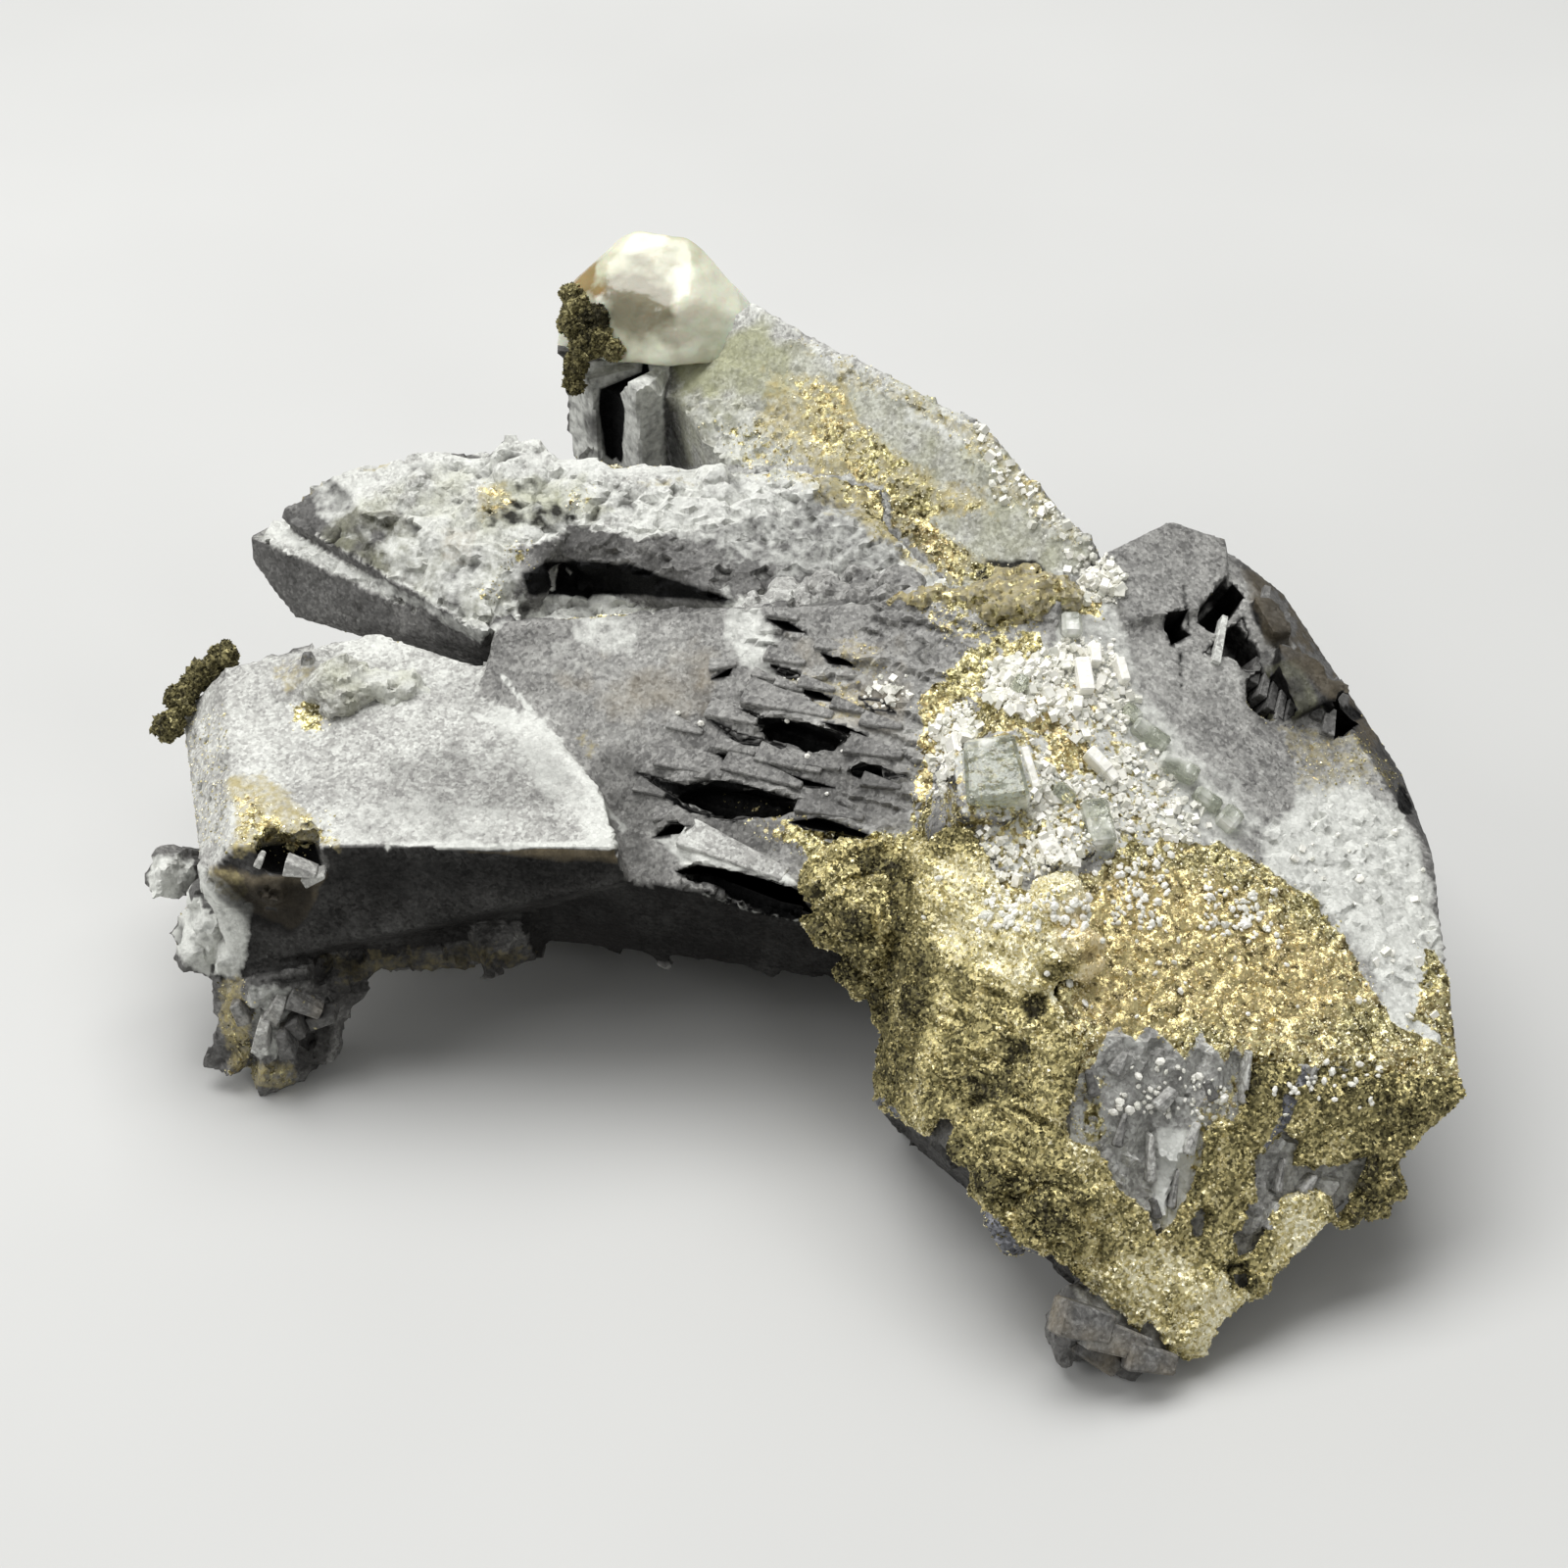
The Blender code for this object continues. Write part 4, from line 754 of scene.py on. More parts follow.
BLOCK_ZONES = {
    "terrace_white": Zone(FROST, ((1150, 715), (1200, 735), (1290, 815), (1300, 870), (1210, 870),
        (1170, 800)), 0.5, 1.8, 1.8, TOP),
    "pale_corner": Zone(FROST, ((1213, 650), (1256, 668), (1285, 690), (1270, 715), (1220, 700)), 0.30, 0.6,
        0.8, TOP),
    # Painted shade in the terrace's two cracks.
    "terrace_crack": Zone(BLACK, ((1207, 596), (1211, 596), (1215, 640), (1211, 640)), 0.7, 0.12, 0.1),
    "terrace_crack_two": Zone(BLACK, ((1203, 664), (1206, 664), (1208, 724), (1205, 724)), 0.6, 0.12, 0.1),
    "white_side": Zone(FROST, ((1290, 850), (1330, 800), (1380, 790), (1440, 830), (1475, 960),
        (1480, 1080), (1420, 1045), (1395, 990), (1340, 930), (1280, 900)), 0.8, 1.1, 1.6, TOP),
    "white_side_sugar": Zone(SUGAR, ((1280, 850), (1345, 790), (1440, 830), (1475, 960), (1480, 1090),
        (1395, 990), (1290, 900)), 1.0, 0.8, 0.8),
    "white_side_grains": Zone(DRUSE, ((1300, 860), (1380, 820), (1450, 860), (1475, 960), (1470, 1060),
        (1390, 980)), 0.05, 1.0, 1.2),
    "scar": Zone(FROST, ((1416, 1030), (1426, 1028), (1478, 1070), (1476, 1084), (1420, 1046)), 0.9, 0.2,
        0.2),
    "druse_frost": Zone(FROST, ((1100, 574), (1142, 570), (1150, 640), (1165, 700), (1215, 755),
        (1275, 830), (1260, 860), (1100, 890), (1040, 900), (960, 850), (948, 750), (1000, 690),
        (1060, 650)), 0.6, 0.8, 1.0, TOP),
    "druse_gold": Zone(PYRITE, ((960, 720), (1040, 660), (1085, 660), (1130, 720), (1200, 800), (1190, 860),
        (1100, 890), (1040, 900), (960, 850), (948, 780)), 0.50, 0.8, 1.2),
    "corner_grains": Zone(DRUSE, ((1098, 580), (1112, 568), (1144, 570), (1143, 620), (1106, 616)), 0.8,
        0.3, 0.3),
    "crest_druse": Zone(DRUSE, ((1008, 680), (1083, 662), (1090, 728), (1050, 735), (1005, 710)), 0.9, 0.4,
        0.4),
    "left_edge_druse": Zone(DRUSE, ((950, 735), (991, 715), (1000, 745), (978, 770), (962, 812),
        (950, 812)), 0.9, 0.3, 0.3),
    "clear_border": Zone(DRUSE, ((1058, 760), (1080, 785), (1106, 790), (1136, 770), (1150, 745),
        (1190, 785), (1240, 850), (1200, 862), (1150, 850), (1110, 868), (1100, 895), (1040, 900),
        (985, 880), (985, 850), (1044, 846)), 0.5, 0.5, 0.8),
    "column_border": Zone(DRUSE, ((1083, 651), (1131, 651), (1160, 700), (1155, 740), (1090, 760),
        (1078, 720)), 0.55, 0.3, 0.5),
    "gold_crest": Zone(PYRITE, ((1022, 660), (1060, 640), (1068, 664), (1028, 676)), 0.85, 0.4, 0.5),
    "gold_corner": Zone(PYRITE, ((1083, 612), (1104, 596), (1128, 604), (1122, 628), (1090, 630)), 0.85,
        0.3, 0.4),
    "gold_above_clear": Zone(PYRITE, ((985, 735), (1010, 705), (1090, 705), (1092, 750), (1060, 748),
        (1010, 750), (985, 770)), 0.80, 0.5, 0.8),
    "gold_beside_clear": Zone(PYRITE, ((1068, 750), (1106, 745), (1110, 785), (1076, 788)), 0.9, 0.3, 0.5),
    "gold_below_clear": Zone(PYRITE, ((1046, 850), (1100, 815), (1110, 830), (1060, 870), (1040, 872)),
        0.85, 0.3, 0.5),
    "gold_band": Zone(PYRITE, ((935, 868), (1000, 890), (1050, 905), (1110, 888), (1150, 858), (1245, 862),
        (1290, 880), (1350, 925), (1390, 985), (1420, 1045), (1490, 1085), (1480, 1115), (1400, 1100),
        (1300, 1070), (1262, 1046), (1205, 1042), (1160, 1034), (1100, 1052), (930, 960)), 1.0, 0.7, 0.8),
    "gold_front_edge": Zone(PYRITE, ((930, 960), (1100, 1030), (1400, 1035), (1500, 1078), (1495, 1115),
        (1400, 1092), (1306, 1084), (1280, 1112), (1262, 1062), (1244, 1090), (1224, 1056), (1208, 1080),
        (1190, 1058), (1170, 1044), (1158, 1066), (1144, 1044), (1128, 1052), (1116, 1090), (1096, 1100)),
        1.0, 0.3, 0.5),
    "band_tan": Zone(WARM, ((1080, 930), (1140, 890), (1230, 890), (1330, 950), (1390, 1010), (1350, 1042),
        (1110, 1046)), 0.9, 1.5, 1.8),
    "band_sparks": Zone(SPARK, ((950, 880), (1250, 870), (1400, 1000), (1450, 1060), (1100, 1040),
        (940, 930)), 0.06, 0.6, 0.6),
    "band_cluster": Zone(SPARK, ((1010, 905), (1110, 915), (1110, 955), (1010, 950)), 0.7, 0.6, 1.0),
    "band_cluster_two": Zone(SPARK, ((1120, 868), (1190, 872), (1190, 950), (1130, 945)), 0.5, 0.8, 1.0),
    "band_cluster_three": Zone(SPARK, ((1225, 912), (1300, 912), (1300, 960), (1225, 955)), 0.6, 0.6, 1.0),
    "window_sparks": Zone(SPARK, ((1150, 1085), (1250, 1090), (1250, 1150), (1130, 1140)), 0.35, 0.8, 1.0),
    "window_shade": Zone(SHADE, ((1095, 1060), (1270, 1060), (1260, 1140), (1180, 1160), (1100, 1170)),
        0.35, 0.9, 1.2, (Region.BLOCK_FRONT,)),
    "window_streak": Zone(FROST, ((1180, 1150), (1225, 1150), (1215, 1220), (1190, 1262), (1175, 1230)),
        0.8, 0.5, 1.0, (Region.BLOCK_FRONT,)),
    "window_rim_gold": Zone(PYRITE, ((1268, 1066), (1300, 1070), (1330, 1110), (1300, 1130), (1286, 1100)),
        0.8, 0.4, 0.6),
    "window_gold": Zone(PYRITE, ((1095, 1085), (1130, 1090), (1135, 1150), (1110, 1180), (1095, 1150)),
        0.50, 0.5, 0.9),
    "window_gold_right": Zone(PYRITE, ((1215, 1130), (1260, 1090), (1275, 1100), (1240, 1190),
        (1215, 1240)), 0.5, 0.5, 0.9),
    "window_two_sparks": Zone(SPARK, ((1290, 1088), (1420, 1085), (1400, 1140), (1290, 1145)), 0.22, 0.5,
        0.8),
    "flank_khaki": Zone(WARM, ((1262, 575), (1310, 590), (1415, 745), (1400, 770), (1350, 710),
        (1285, 650)), 0.7, 0.6, 0.7),
    "flank_smooth": Zone(SMOOTH, ((1262, 575), (1310, 590), (1440, 760), (1440, 800), (1350, 712),
        (1290, 640)), 1.0, 0.4, 0.2),
    "flank_shade": Zone(SHADE, ((1262, 575), (1310, 590), (1415, 745), (1440, 830), (1350, 720),
        (1285, 650)), 0.75, 0.8, 0.9),
    "steps_green": Zone(GREEN, ((1286, 676), (1330, 670), (1350, 720), (1320, 740), (1290, 735)), 0.6, 0.5,
        0.5),
    "steps_shade": Zone(SHADE, ((1262, 670), (1290, 662), (1330, 680), (1350, 735), (1290, 748),
        (1268, 720)), 0.70, 0.6, 0.8),
    # Painted shade in the last of the notches.
    "flank_triangle": Zone(BLACK, ((1349, 716), (1366, 712), (1395, 728), (1362, 752)), 0.8, 0.25, 0.15),
    "flank_dust": Zone(PYRITE, ((1310, 735), (1350, 745), (1395, 735), (1425, 760), (1425, 800),
        (1330, 805)), 0.36, 0.9, 1.0),
    "flank_dust_stain": Zone(OCHRE, ((1300, 735), (1400, 725), (1430, 800), (1330, 812)), 0.42, 1.4, 1.8),
    "flank_dust_shade": Zone(SHADE, ((1300, 715), (1400, 725), (1430, 800), (1330, 812)), 0.30, 1.4, 1.8),
    "silhouette_tip_two": Zone(BLACK, ((1428, 800), (1448, 808), (1440, 832), (1428, 826)), 0.8, 0.2, 0.1),
    "right_gold": Zone(PYRITE, ((1455, 960), (1478, 985), (1500, 1080), (1490, 1180), (1450, 1120),
        (1470, 1060), (1440, 1040)), 0.7, 0.5, 0.7),
    "tip_mauve": Zone(FROST, ((1085, 1335), (1210, 1340), (1200, 1412), (1100, 1400)), 0.20, 0.8, 0.5),
    "tip_stain": Zone(WARM, ((1085, 1335), (1210, 1340), (1200, 1412), (1100, 1400)), 0.40, 0.8, 0.5),
}
ZONES = LEFT_ZONES | CENTRE_ZONES | MIDDLE_ZONES | BACK_ZONES | BLOCK_ZONES
CRUST_ZONES = {
    # The band on top of the crust is painted paler: painted light on the top.
    "band_bright": Zone(FROST, ((935, 868), (1110, 888), (1245, 862), (1350, 925), (1420, 1045),
        (1500, 1085), (1100, 1045), (940, 960)), 1.0, 1.2, 1.0),
    "band_tan": ZONES["band_tan"],
    # The crust's left strip is painted darker: painted shade.
    "left_strip": Zone(SHADE, ((820, 860), (950, 880), (955, 1000), (925, 1140), (870, 1100)), 0.65, 0.9,
        0.8),
    "ridge_light": Zone(FROST, ((950, 880), (985, 880), (975, 1040), (940, 1140), (930, 1100), (955, 1000)),
        0.5, 0.8, 0.6),
    "side_light": Zone(FROST, ((985, 950), (1090, 1010), (1090, 1200), (980, 1180)), 0.3, 1.5, 1.5),
    # The crust's front is painted darker: painted shade on the face that looks forward.
    "front_upper_shade": Zone(SHADE, ((1100, 1045), (1250, 1045), (1400, 1050), (1490, 1095), (1490, 1180),
        (1400, 1290), (1330, 1230), (1400, 1170), (1330, 1130), (1240, 1110), (1110, 1110)), 0.6, 0.9, 1.2),
    "front_right_dark": Zone(SHADE, ((1400, 1100), (1490, 1100), (1490, 1170), (1390, 1290), (1370, 1240)),
        0.75, 0.8, 0.8),
    # Painted shade in the fold.
    "fold": Zone(SHADE, ((960, 1165), (1120, 1160), (1125, 1200), (1100, 1260), (1050, 1250), (960, 1195)),
        0.5, 0.9, 1.0),
    "low_band": Zone(FROST, ((1105, 1290), (1200, 1275), (1290, 1330), (1270, 1390), (1200, 1375),
        (1120, 1340)), 0.7, 0.6, 0.6),
    "bulge": Zone(FROST, ((1290, 1205), (1365, 1210), (1370, 1290), (1300, 1290)), 0.7, 0.8, 0.8),
    "left_patch": Zone(FROST, ((1050, 1160), (1120, 1165), (1125, 1215), (1060, 1200)), 0.6, 0.6, 0.8),
    # The pits are painted darker: painted shade in them.
    "pit_one": Zone(DARK, ((1065, 985), (1125, 960), (1130, 975), (1075, 1005)), 0.8, 0.4, 0.8),
    "pit_two": Zone(DARK, ((1045, 1022), (1072, 1010), (1072, 1035), (1045, 1045)), 0.8, 0.4, 0.7),
    "pit_three": Zone(DARK, ((1025, 1060), (1055, 1055), (1055, 1082), (1028, 1085)), 0.7, 0.4, 0.7),
    "pit_four": Zone(DARK, ((990, 1100), (1035, 1090), (1035, 1120), (992, 1130)), 0.6, 0.5, 0.8),
    "window_top": Zone(SMOOTH, ((1118, 1052), (1160, 1046), (1205, 1062), (1262, 1066), (1262, 1095),
        (1104, 1095)), 0.8, 0.3, 0.7),
    "sliver_two": Zone(SMOOTH, ((1338, 1074), (1346, 1078), (1336, 1105), (1322, 1112), (1326, 1090)), 0.85,
        0.2, 0.25),
    "sliver_three": Zone(SMOOTH, ((1312, 1118), (1325, 1122), (1310, 1160), (1292, 1190), (1290, 1170)),
        0.7, 0.3, 0.4),
    "low_left_rock": Zone(SMOOTH, ((886, 1120), (905, 1118), (985, 1215), (1060, 1280), (1110, 1320),
        (1104, 1345), (1000, 1290), (900, 1170)), 0.8, 0.4, 0.5),
    "low_pit": Zone(DARK, ((1256, 1286), (1276, 1286), (1276, 1316), (1256, 1316)), 0.9, 0.3, 0.3),
    "band_sparks": ZONES["band_sparks"],
    "band_cluster": ZONES["band_cluster"],
    "window_sparks": ZONES["window_sparks"],
    "window_two_sparks": ZONES["window_two_sparks"],
}


def label_regions(points: np.ndarray, normals: np.ndarray) -> np.ndarray:
    """Finds the named face that each point of the calcite lies on.

    Args:
        points: places in mm.
        normals: the surface's directions there.

    Returns:
        The region number of each point.
    """
    labels = np.full(len(points), Region.ROUGH.value)
    best = np.full(len(points), FACE_DEPTH)
    for region, face in FACES.items():
        flat = face.flat(points)
        depth = np.abs(flat[:, 2])
        left, right, low, high = face.span
        near = (flat[:, 0] > left - FACE_MARGIN) & (flat[:, 0] < right + FACE_MARGIN)
        near &= (flat[:, 1] > low - FACE_MARGIN) & (flat[:, 1] < high + FACE_MARGIN)
        near &= (depth < best) & (normals @ face.axes()[2] > FACE_TURN)
        labels[near] = region.value
        best[near] = depth[near]
    in_middle = ((points > MIDDLE_LOW) & (points < MIDDLE_HIGH)).all(axis=1)
    for region in (Region.CENTRE_BROAD, Region.LEFT_TOP, Region.BACK_BROAD):
        in_middle &= np.abs(FACES[region].flat(points)[:, 2]) > FACE_MARGIN
    slope = normals[:, 2] > CREST_SLOPE
    free = np.isin(labels, [Region.ROUGH.value, Region.BLOCK_LEFT_SHOULDER.value])
    labels[in_middle & free & slope] = Region.MIDDLE_CRUST.value
    labels[in_middle & free & ~slope & (points[:, 2] > SIDE_FOOT)] = Region.MIDDLE_SIDE.value
    free = labels == Region.ROUGH.value
    for region, stepped, (deepest, shallowest) in (
        (Region.BLOCK_TOP, Region.BLOCK_STEPS, STEPS_DEPTH),
        (Region.CENTRE_BROAD, Region.CENTRE_SLOT, SLOT_DEPTH),
    ):
        face = FACES[region]
        flat = face.flat(points)
        left, right, low, high = face.span
        on_face = (flat[:, 0] > left) & (flat[:, 0] < right) & (flat[:, 1] > low) & (flat[:, 1] < high)
        deep = (flat[:, 2] > deepest) & (flat[:, 2] < shallowest)
        # A slot's floor looks down or sideways; what looks uphill there is the lower lip
        deep &= (region is Region.BLOCK_TOP) | (normals @ face.axes()[1] < 0.5)
        labels[free & on_face & deep] = stepped.value
        raised = (flat[:, 2] > SLOT_DEPTH[1]) & (flat[:, 2] < SCALE_RISE) & (region is Region.CENTRE_BROAD)
        labels[free & on_face & raised] = region.value
    to_cap = np.linalg.norm(points - np.array(CAP_CENTRE) - FRAME_SHIFT, axis=1)
    labels[(to_cap < CAP_REACH) & (points[:, 2] > CAP_FOOT)] = Region.CAP.value
    return labels


def paint(zones: Iterable[Zone], points: np.ndarray, labels: np.ndarray, shown: np.ndarray) -> Coats:
    """Works out how much of each finish every point has.

    Args:
        zones: the areas to lay on.
        points: places in mm.
        labels: region numbers.
        shown: whether the photograph shows each point.

    Returns:
        The shares by finish.
    """
    pixels, _ = PHOTO.pixels(points)
    wander = layered(points, 2.2, 11, 3)
    coats = {finish: np.zeros(len(points)) for finish in Finish}
    for zone in zones:
        coats[zone.finish] = np.maximum(coats[zone.finish], zone.cover(pixels, labels, shown, wander))
    return coats


def linear(code: str) -> tuple[float, float, float, float]:
    """Turns an sRGB hex colour into linear light.

    Args:
        code: such as #a3a482.

    Returns:
        Red, green, blue and an alpha of 1.
    """
    parts = [int(code[place : place + 2], 16) / 255 for place in (1, 3, 5)]
    levels = [part / 12.92 if part <= 0.04045 else ((part + 0.055) / 1.055) ** 2.4 for part in parts]
    return (*levels, 1.0)


def add_node(tree: bpy.types.NodeTree, kind: str, settings: dict, inputs: dict) -> bpy.types.Node:
    """Adds one shader node.

    Args:
        tree: the material's node tree.
        kind: the node's type name.
        settings: values by attribute name.
        inputs: by input name or number, a socket to link, a hex colour or a plain value.

    Returns:
        The new node.
    """
    node = tree.nodes.new(kind)
    for name, value in settings.items():
        setattr(node, name, value)
    for key, value in inputs.items():
        if isinstance(value, bpy.types.NodeSocket):
            tree.links.new(value, node.inputs[key])
        else:
            node.inputs[key].default_value = linear(value) if isinstance(value, str) else value
    return node


class Mineral:
    """A material on Object coordinates, with the patterns that this cluster's minerals share."""

    def __init__(self, name: str) -> None:
        """Opens an empty material with its coordinate node.

        Args:
            name: the material's name.
        """
        self.material = bpy.data.materials.new(name)
        self.material.use_nodes = True
        self.tree = self.material.node_tree
        self.tree.nodes.clear()
        self.place = add_node(self.tree, "ShaderNodeTexCoord", {}, {}).outputs["Object"]

    def mottle(self, size: float, low: float, high: float, bottom: float = 0.0, top: float = 1.0) -> Socket:
        """Soft mottling, its values from low to high mapped onto bottom to top.

        Args:
            size: mm across a mottle.
            low: the noise that gives bottom.
            high: the noise that gives top.
            bottom: the value there.
            top: the value there.

        Returns:
            The pattern's socket.
        """
        inputs = {"Vector": self.place, "Scale": 0.5 / (size * MM), "Detail": 3.0}
        wave = add_node(self.tree, "ShaderNodeTexNoise", {}, inputs)
        limits = {0: wave.outputs["Fac"], 1: low, 2: high, 3: bottom, 4: top}
        return add_node(self.tree, "ShaderNodeMapRange", {}, limits).outputs[0]

    def specks(self, size: float, low: float, high: float, bottom: float = 0.0, top: float = 1.0) -> Socket:
        """Grains, each with its own value, from low to high mapped onto bottom to top.

        Args:
            size: mm across a grain.
            low: the random number that gives bottom.
            high: the random number that gives top.
            bottom: the value there.
            top: the value there.

        Returns:
            The pattern's socket.
        """
        cells = add_node(
            self.tree, "ShaderNodeTexVoronoi", {}, {"Vector": self.place, "Scale": 1 / (size * MM)}
        )
        split = add_node(self.tree, "ShaderNodeSeparateColor", {}, {0: cells.outputs["Color"]})
        limits = {0: split.outputs[0], 1: low, 2: high, 3: bottom, 4: top}
        return add_node(self.tree, "ShaderNodeMapRange", {}, limits).outputs[0]

    def sum_of(self, *values: Socket) -> Socket:
        """Adds patterns up.

        Args:
            values: the patterns' sockets.

        Returns:
            The sum's socket.
        """
        total = values[0]
        for value in values[1:]:
            total = add_node(self.tree, "ShaderNodeMath", {"operation": "ADD"}, {0: total, 1: value}).outputs[0]
        return total

    def facets(self, size: float) -> Socket:
        """Height of flat faces, each tilted its own way.

        Args:
            size: mm across a face.

        Returns:
            The height's socket, about 0 to 1.
        """
        cells = add_node(
            self.tree, "ShaderNodeTexVoronoi", {}, {"Vector": self.place, "Scale": 1 / (size * MM)}
        )
        away = add_node(
            self.tree, "ShaderNodeVectorMath", {"operation": "SUBTRACT"}, {0: self.place, 1: cells.outputs["Position"]}
        )
        tilt = add_node(
            self.tree, "ShaderNodeVectorMath", {"operation": "SUBTRACT"},
            {0: cells.outputs["Color"], 1: (0.5, 0.5, 0.5)},
        )
        rise = add_node(
            self.tree, "ShaderNodeVectorMath", {"operation": "DOT_PRODUCT"}, {0: away.outputs[0], 1: tilt.outputs[0]}
        )
        limits = {"From Min": -0.5 * size * MM, "From Max": 0.5 * size * MM, "Value": rise.outputs["Value"]}
        return add_node(self.tree, "ShaderNodeMapRange", {"clamp": False}, limits).outputs[0]

    def cover(
        self, coat: str, size: float, low: float, high: float, spread: float = 1.0, top: float = 1.0
    ) -> Socket:
        """Where a coat stored on the mesh shows, its edge broken up by mottling.

        Args:
            coat: the stored coat's name.
            size: mm across a mottle.
            low: the sum of coat and mottling where it starts to show.
            high: the sum where it shows most.
            spread: how much the mottling counts.
            top: the most that it shows.

        Returns:
            The coat's socket, from 0 to top.
        """
        stored = add_node(self.tree, "ShaderNodeAttribute", {"attribute_name": coat}, {}).outputs["Fac"]
        wave = add_node(
            self.tree, "ShaderNodeTexNoise", {}, {"Vector": self.place, "Scale": 0.5 / (size * MM), "Detail": 3.0}
        )
        broken = add_node(
            self.tree, "ShaderNodeMath", {"operation": "MULTIPLY_ADD"}, {0: wave.outputs["Fac"], 1: spread, 2: stored}
        )
        limits = {0: broken.outputs[0], 1: low, 2: high, 4: top}
        return add_node(self.tree, "ShaderNodeMapRange", {}, limits).outputs[0]

    def colours(self, base: Colour, *layers: tuple[Socket, Colour]) -> Socket:
        """Lays colours over a base one after another.

        Args:
            base: the lowest colour, a hex value or a socket.
            layers: the share and the colour of each layer.

        Returns:
            The colour's socket.
        """
        for share, over in layers:
            base = add_node(
                self.tree, "ShaderNodeMix", {"data_type": "RGBA"}, {0: share, 6: base, 7: over}
            ).outputs[2]
        return base

    def bumps(self, *layers: tuple[Socket, float]) -> Socket:
        """Lays bumps on each other.

        Args:
            layers: the height's socket and the depth in mm of each.

        Returns:
            The normal's socket.
        """
        normal = None
        for height, depth in layers:
            inputs = {"Height": height, "Distance": depth * MM}
            if normal is not None:
                inputs["Normal"] = normal
            normal = add_node(self.tree, "ShaderNodeBump", {}, inputs).outputs[0]
        return normal

    def finish(self, inputs: dict) -> bpy.types.Material:
        """Adds the Principled shader and feeds the output.

        Args:
            inputs: the shader's inputs by name.

        Returns:
            The finished material.
        """
        shader = add_node(self.tree, "ShaderNodeBsdfPrincipled", {}, inputs)
        add_node(self.tree, "ShaderNodeOutputMaterial", {}, {"Surface": shader.outputs[0]})
        return self.material


@dataclass(frozen=True)
class CalciteFinish:
    """Etched grey calcite: matt, with a salt and pepper grain; frost, stain, shade and pyrite dust lie on it."""

    near_black: str = "#131211"
    grey: str = "#6d6c6a"
    pale: str = "#a6a5a1"
    white: str = "#d7d8d2"
    tan: str = "#8f8269"
    ochre: str = "#aca074"
    green: str = "#a3a482"
    # shade and black lay painted shade in hollows, slots, cracks and gaps, under lips and on undersides, and darken
    # some rock besides.
    shade: str = "#1b1918"
    black: str = "#070707"
    brass: str = "#ddd4a2"
    tan_brass: str = "#c4ae7e"
    peach_brass: str = "#dccb94"
    olive_brass: str = "#827a50"
    pit: str = "#3a3016"

    def build(self) -> bpy.types.Material:
        """Makes the material.

        Returns:
            The material.
        """
        make = Mineral("etched_grey_calcite")
        tree = make.tree
        # Grains of 0.3 mm, each a little lighter or darker, are the salt and pepper that the eye sees
        tone = add_node(tree, "ShaderNodeAttribute", {"attribute_name": "tone"}, {}).outputs["Fac"]
        grain = make.sum_of(
            make.specks(0.22, 0.0, 1.0, -0.15, 0.15),
            make.specks(0.55, 0.0, 1.0, -0.07, 0.07),
            make.mottle(1.1, 0.3, 0.7, -0.07, 0.07),
            make.mottle(4.0, 0.3, 0.7, -0.11, 0.11),
        )
        # Dark rock shows less of its grain than pale rock
        share = add_node(tree, "ShaderNodeMapRange", {}, {0: tone, 1: 0.0, 2: 0.75, 3: 0.20, 4: 1.0}).outputs[0]
        level = add_node(tree, "ShaderNodeMath", {"operation": "MULTIPLY_ADD"}, {0: grain, 1: share, 2: tone})
        level = level.outputs[0]
        ramp = ((0.0, 0.4, self.grey), (0.4, 0.7, self.pale), (0.7, 1.0, self.white))
        colour = self.near_black
        for low, high, over in ramp:
            step = add_node(tree, "ShaderNodeMapRange", {}, {0: level, 1: low, 2: high})
            colour = make.colours(colour, (step.outputs[0], over))
        # Tones under 0.12, those of the faces that look forward or down and of the slot floors, turn near black:
        # painted shade.
        low_tone_shade = add_node(tree, "ShaderNodeMapRange", {}, {0: tone, 1: 0.12, 2: 0.0, 4: 0.8})
        colour = make.colours(
            colour,
            (low_tone_shade.outputs[0], self.near_black),
            (make.cover("green", 1.2, 0.85, 1.50, 1.0, 0.8), self.green),
            (make.cover("warm", 1.4, 0.85, 1.40, 1.0, 0.75), self.tan),
            (make.cover("frost", 0.35, 0.78, 1.20, 0.9, 0.95), self.white),
            (make.cover("ochre", 0.25, 0.80, 1.25, 1.0, 0.9), self.ochre),
            (make.cover("shade", 0.7, 0.40, 1.30, 0.5, 0.9), self.shade),
            (make.cover("dark", 0.6, 0.90, 1.20, 1.0, 0.95), self.shade),
            # The black coat: painted shade in slots, cracks, notches, gaps and cavities.
            (make.cover("black", 0.4, 0.30, 0.75, 0.3), self.black),
        )
        gilt = make.colours(
            self.olive_brass,
            (make.mottle(2.6, 0.40, 0.66), self.tan_brass),
            (make.specks(0.22, 0.25, 0.8), self.brass),
            (make.cover("warm", 1.0, 0.60, 1.40, 1.0, 0.7), self.peach_brass),
            (make.mottle(0.35, 0.46, 0.36, 0.0, 0.8), self.pit),
        )
        dust = make.cover("pyrite", 0.30, 0.98, 1.08)
        colour = make.colours(colour, (dust, gilt))
        rough = add_node(tree, "ShaderNodeMapRange", {}, {0: dust, 3: 0.62, 4: 0.42}).outputs[0]
        normal = make.bumps((make.facets(0.26), 0.13), (make.mottle(0.7, 0.2, 0.8), 0.14))
        return make.finish(
            {"Base Color": colour, "Metallic": dust, "Roughness": rough, "Normal": normal, "Specular IOR Level": 0.1}
        )


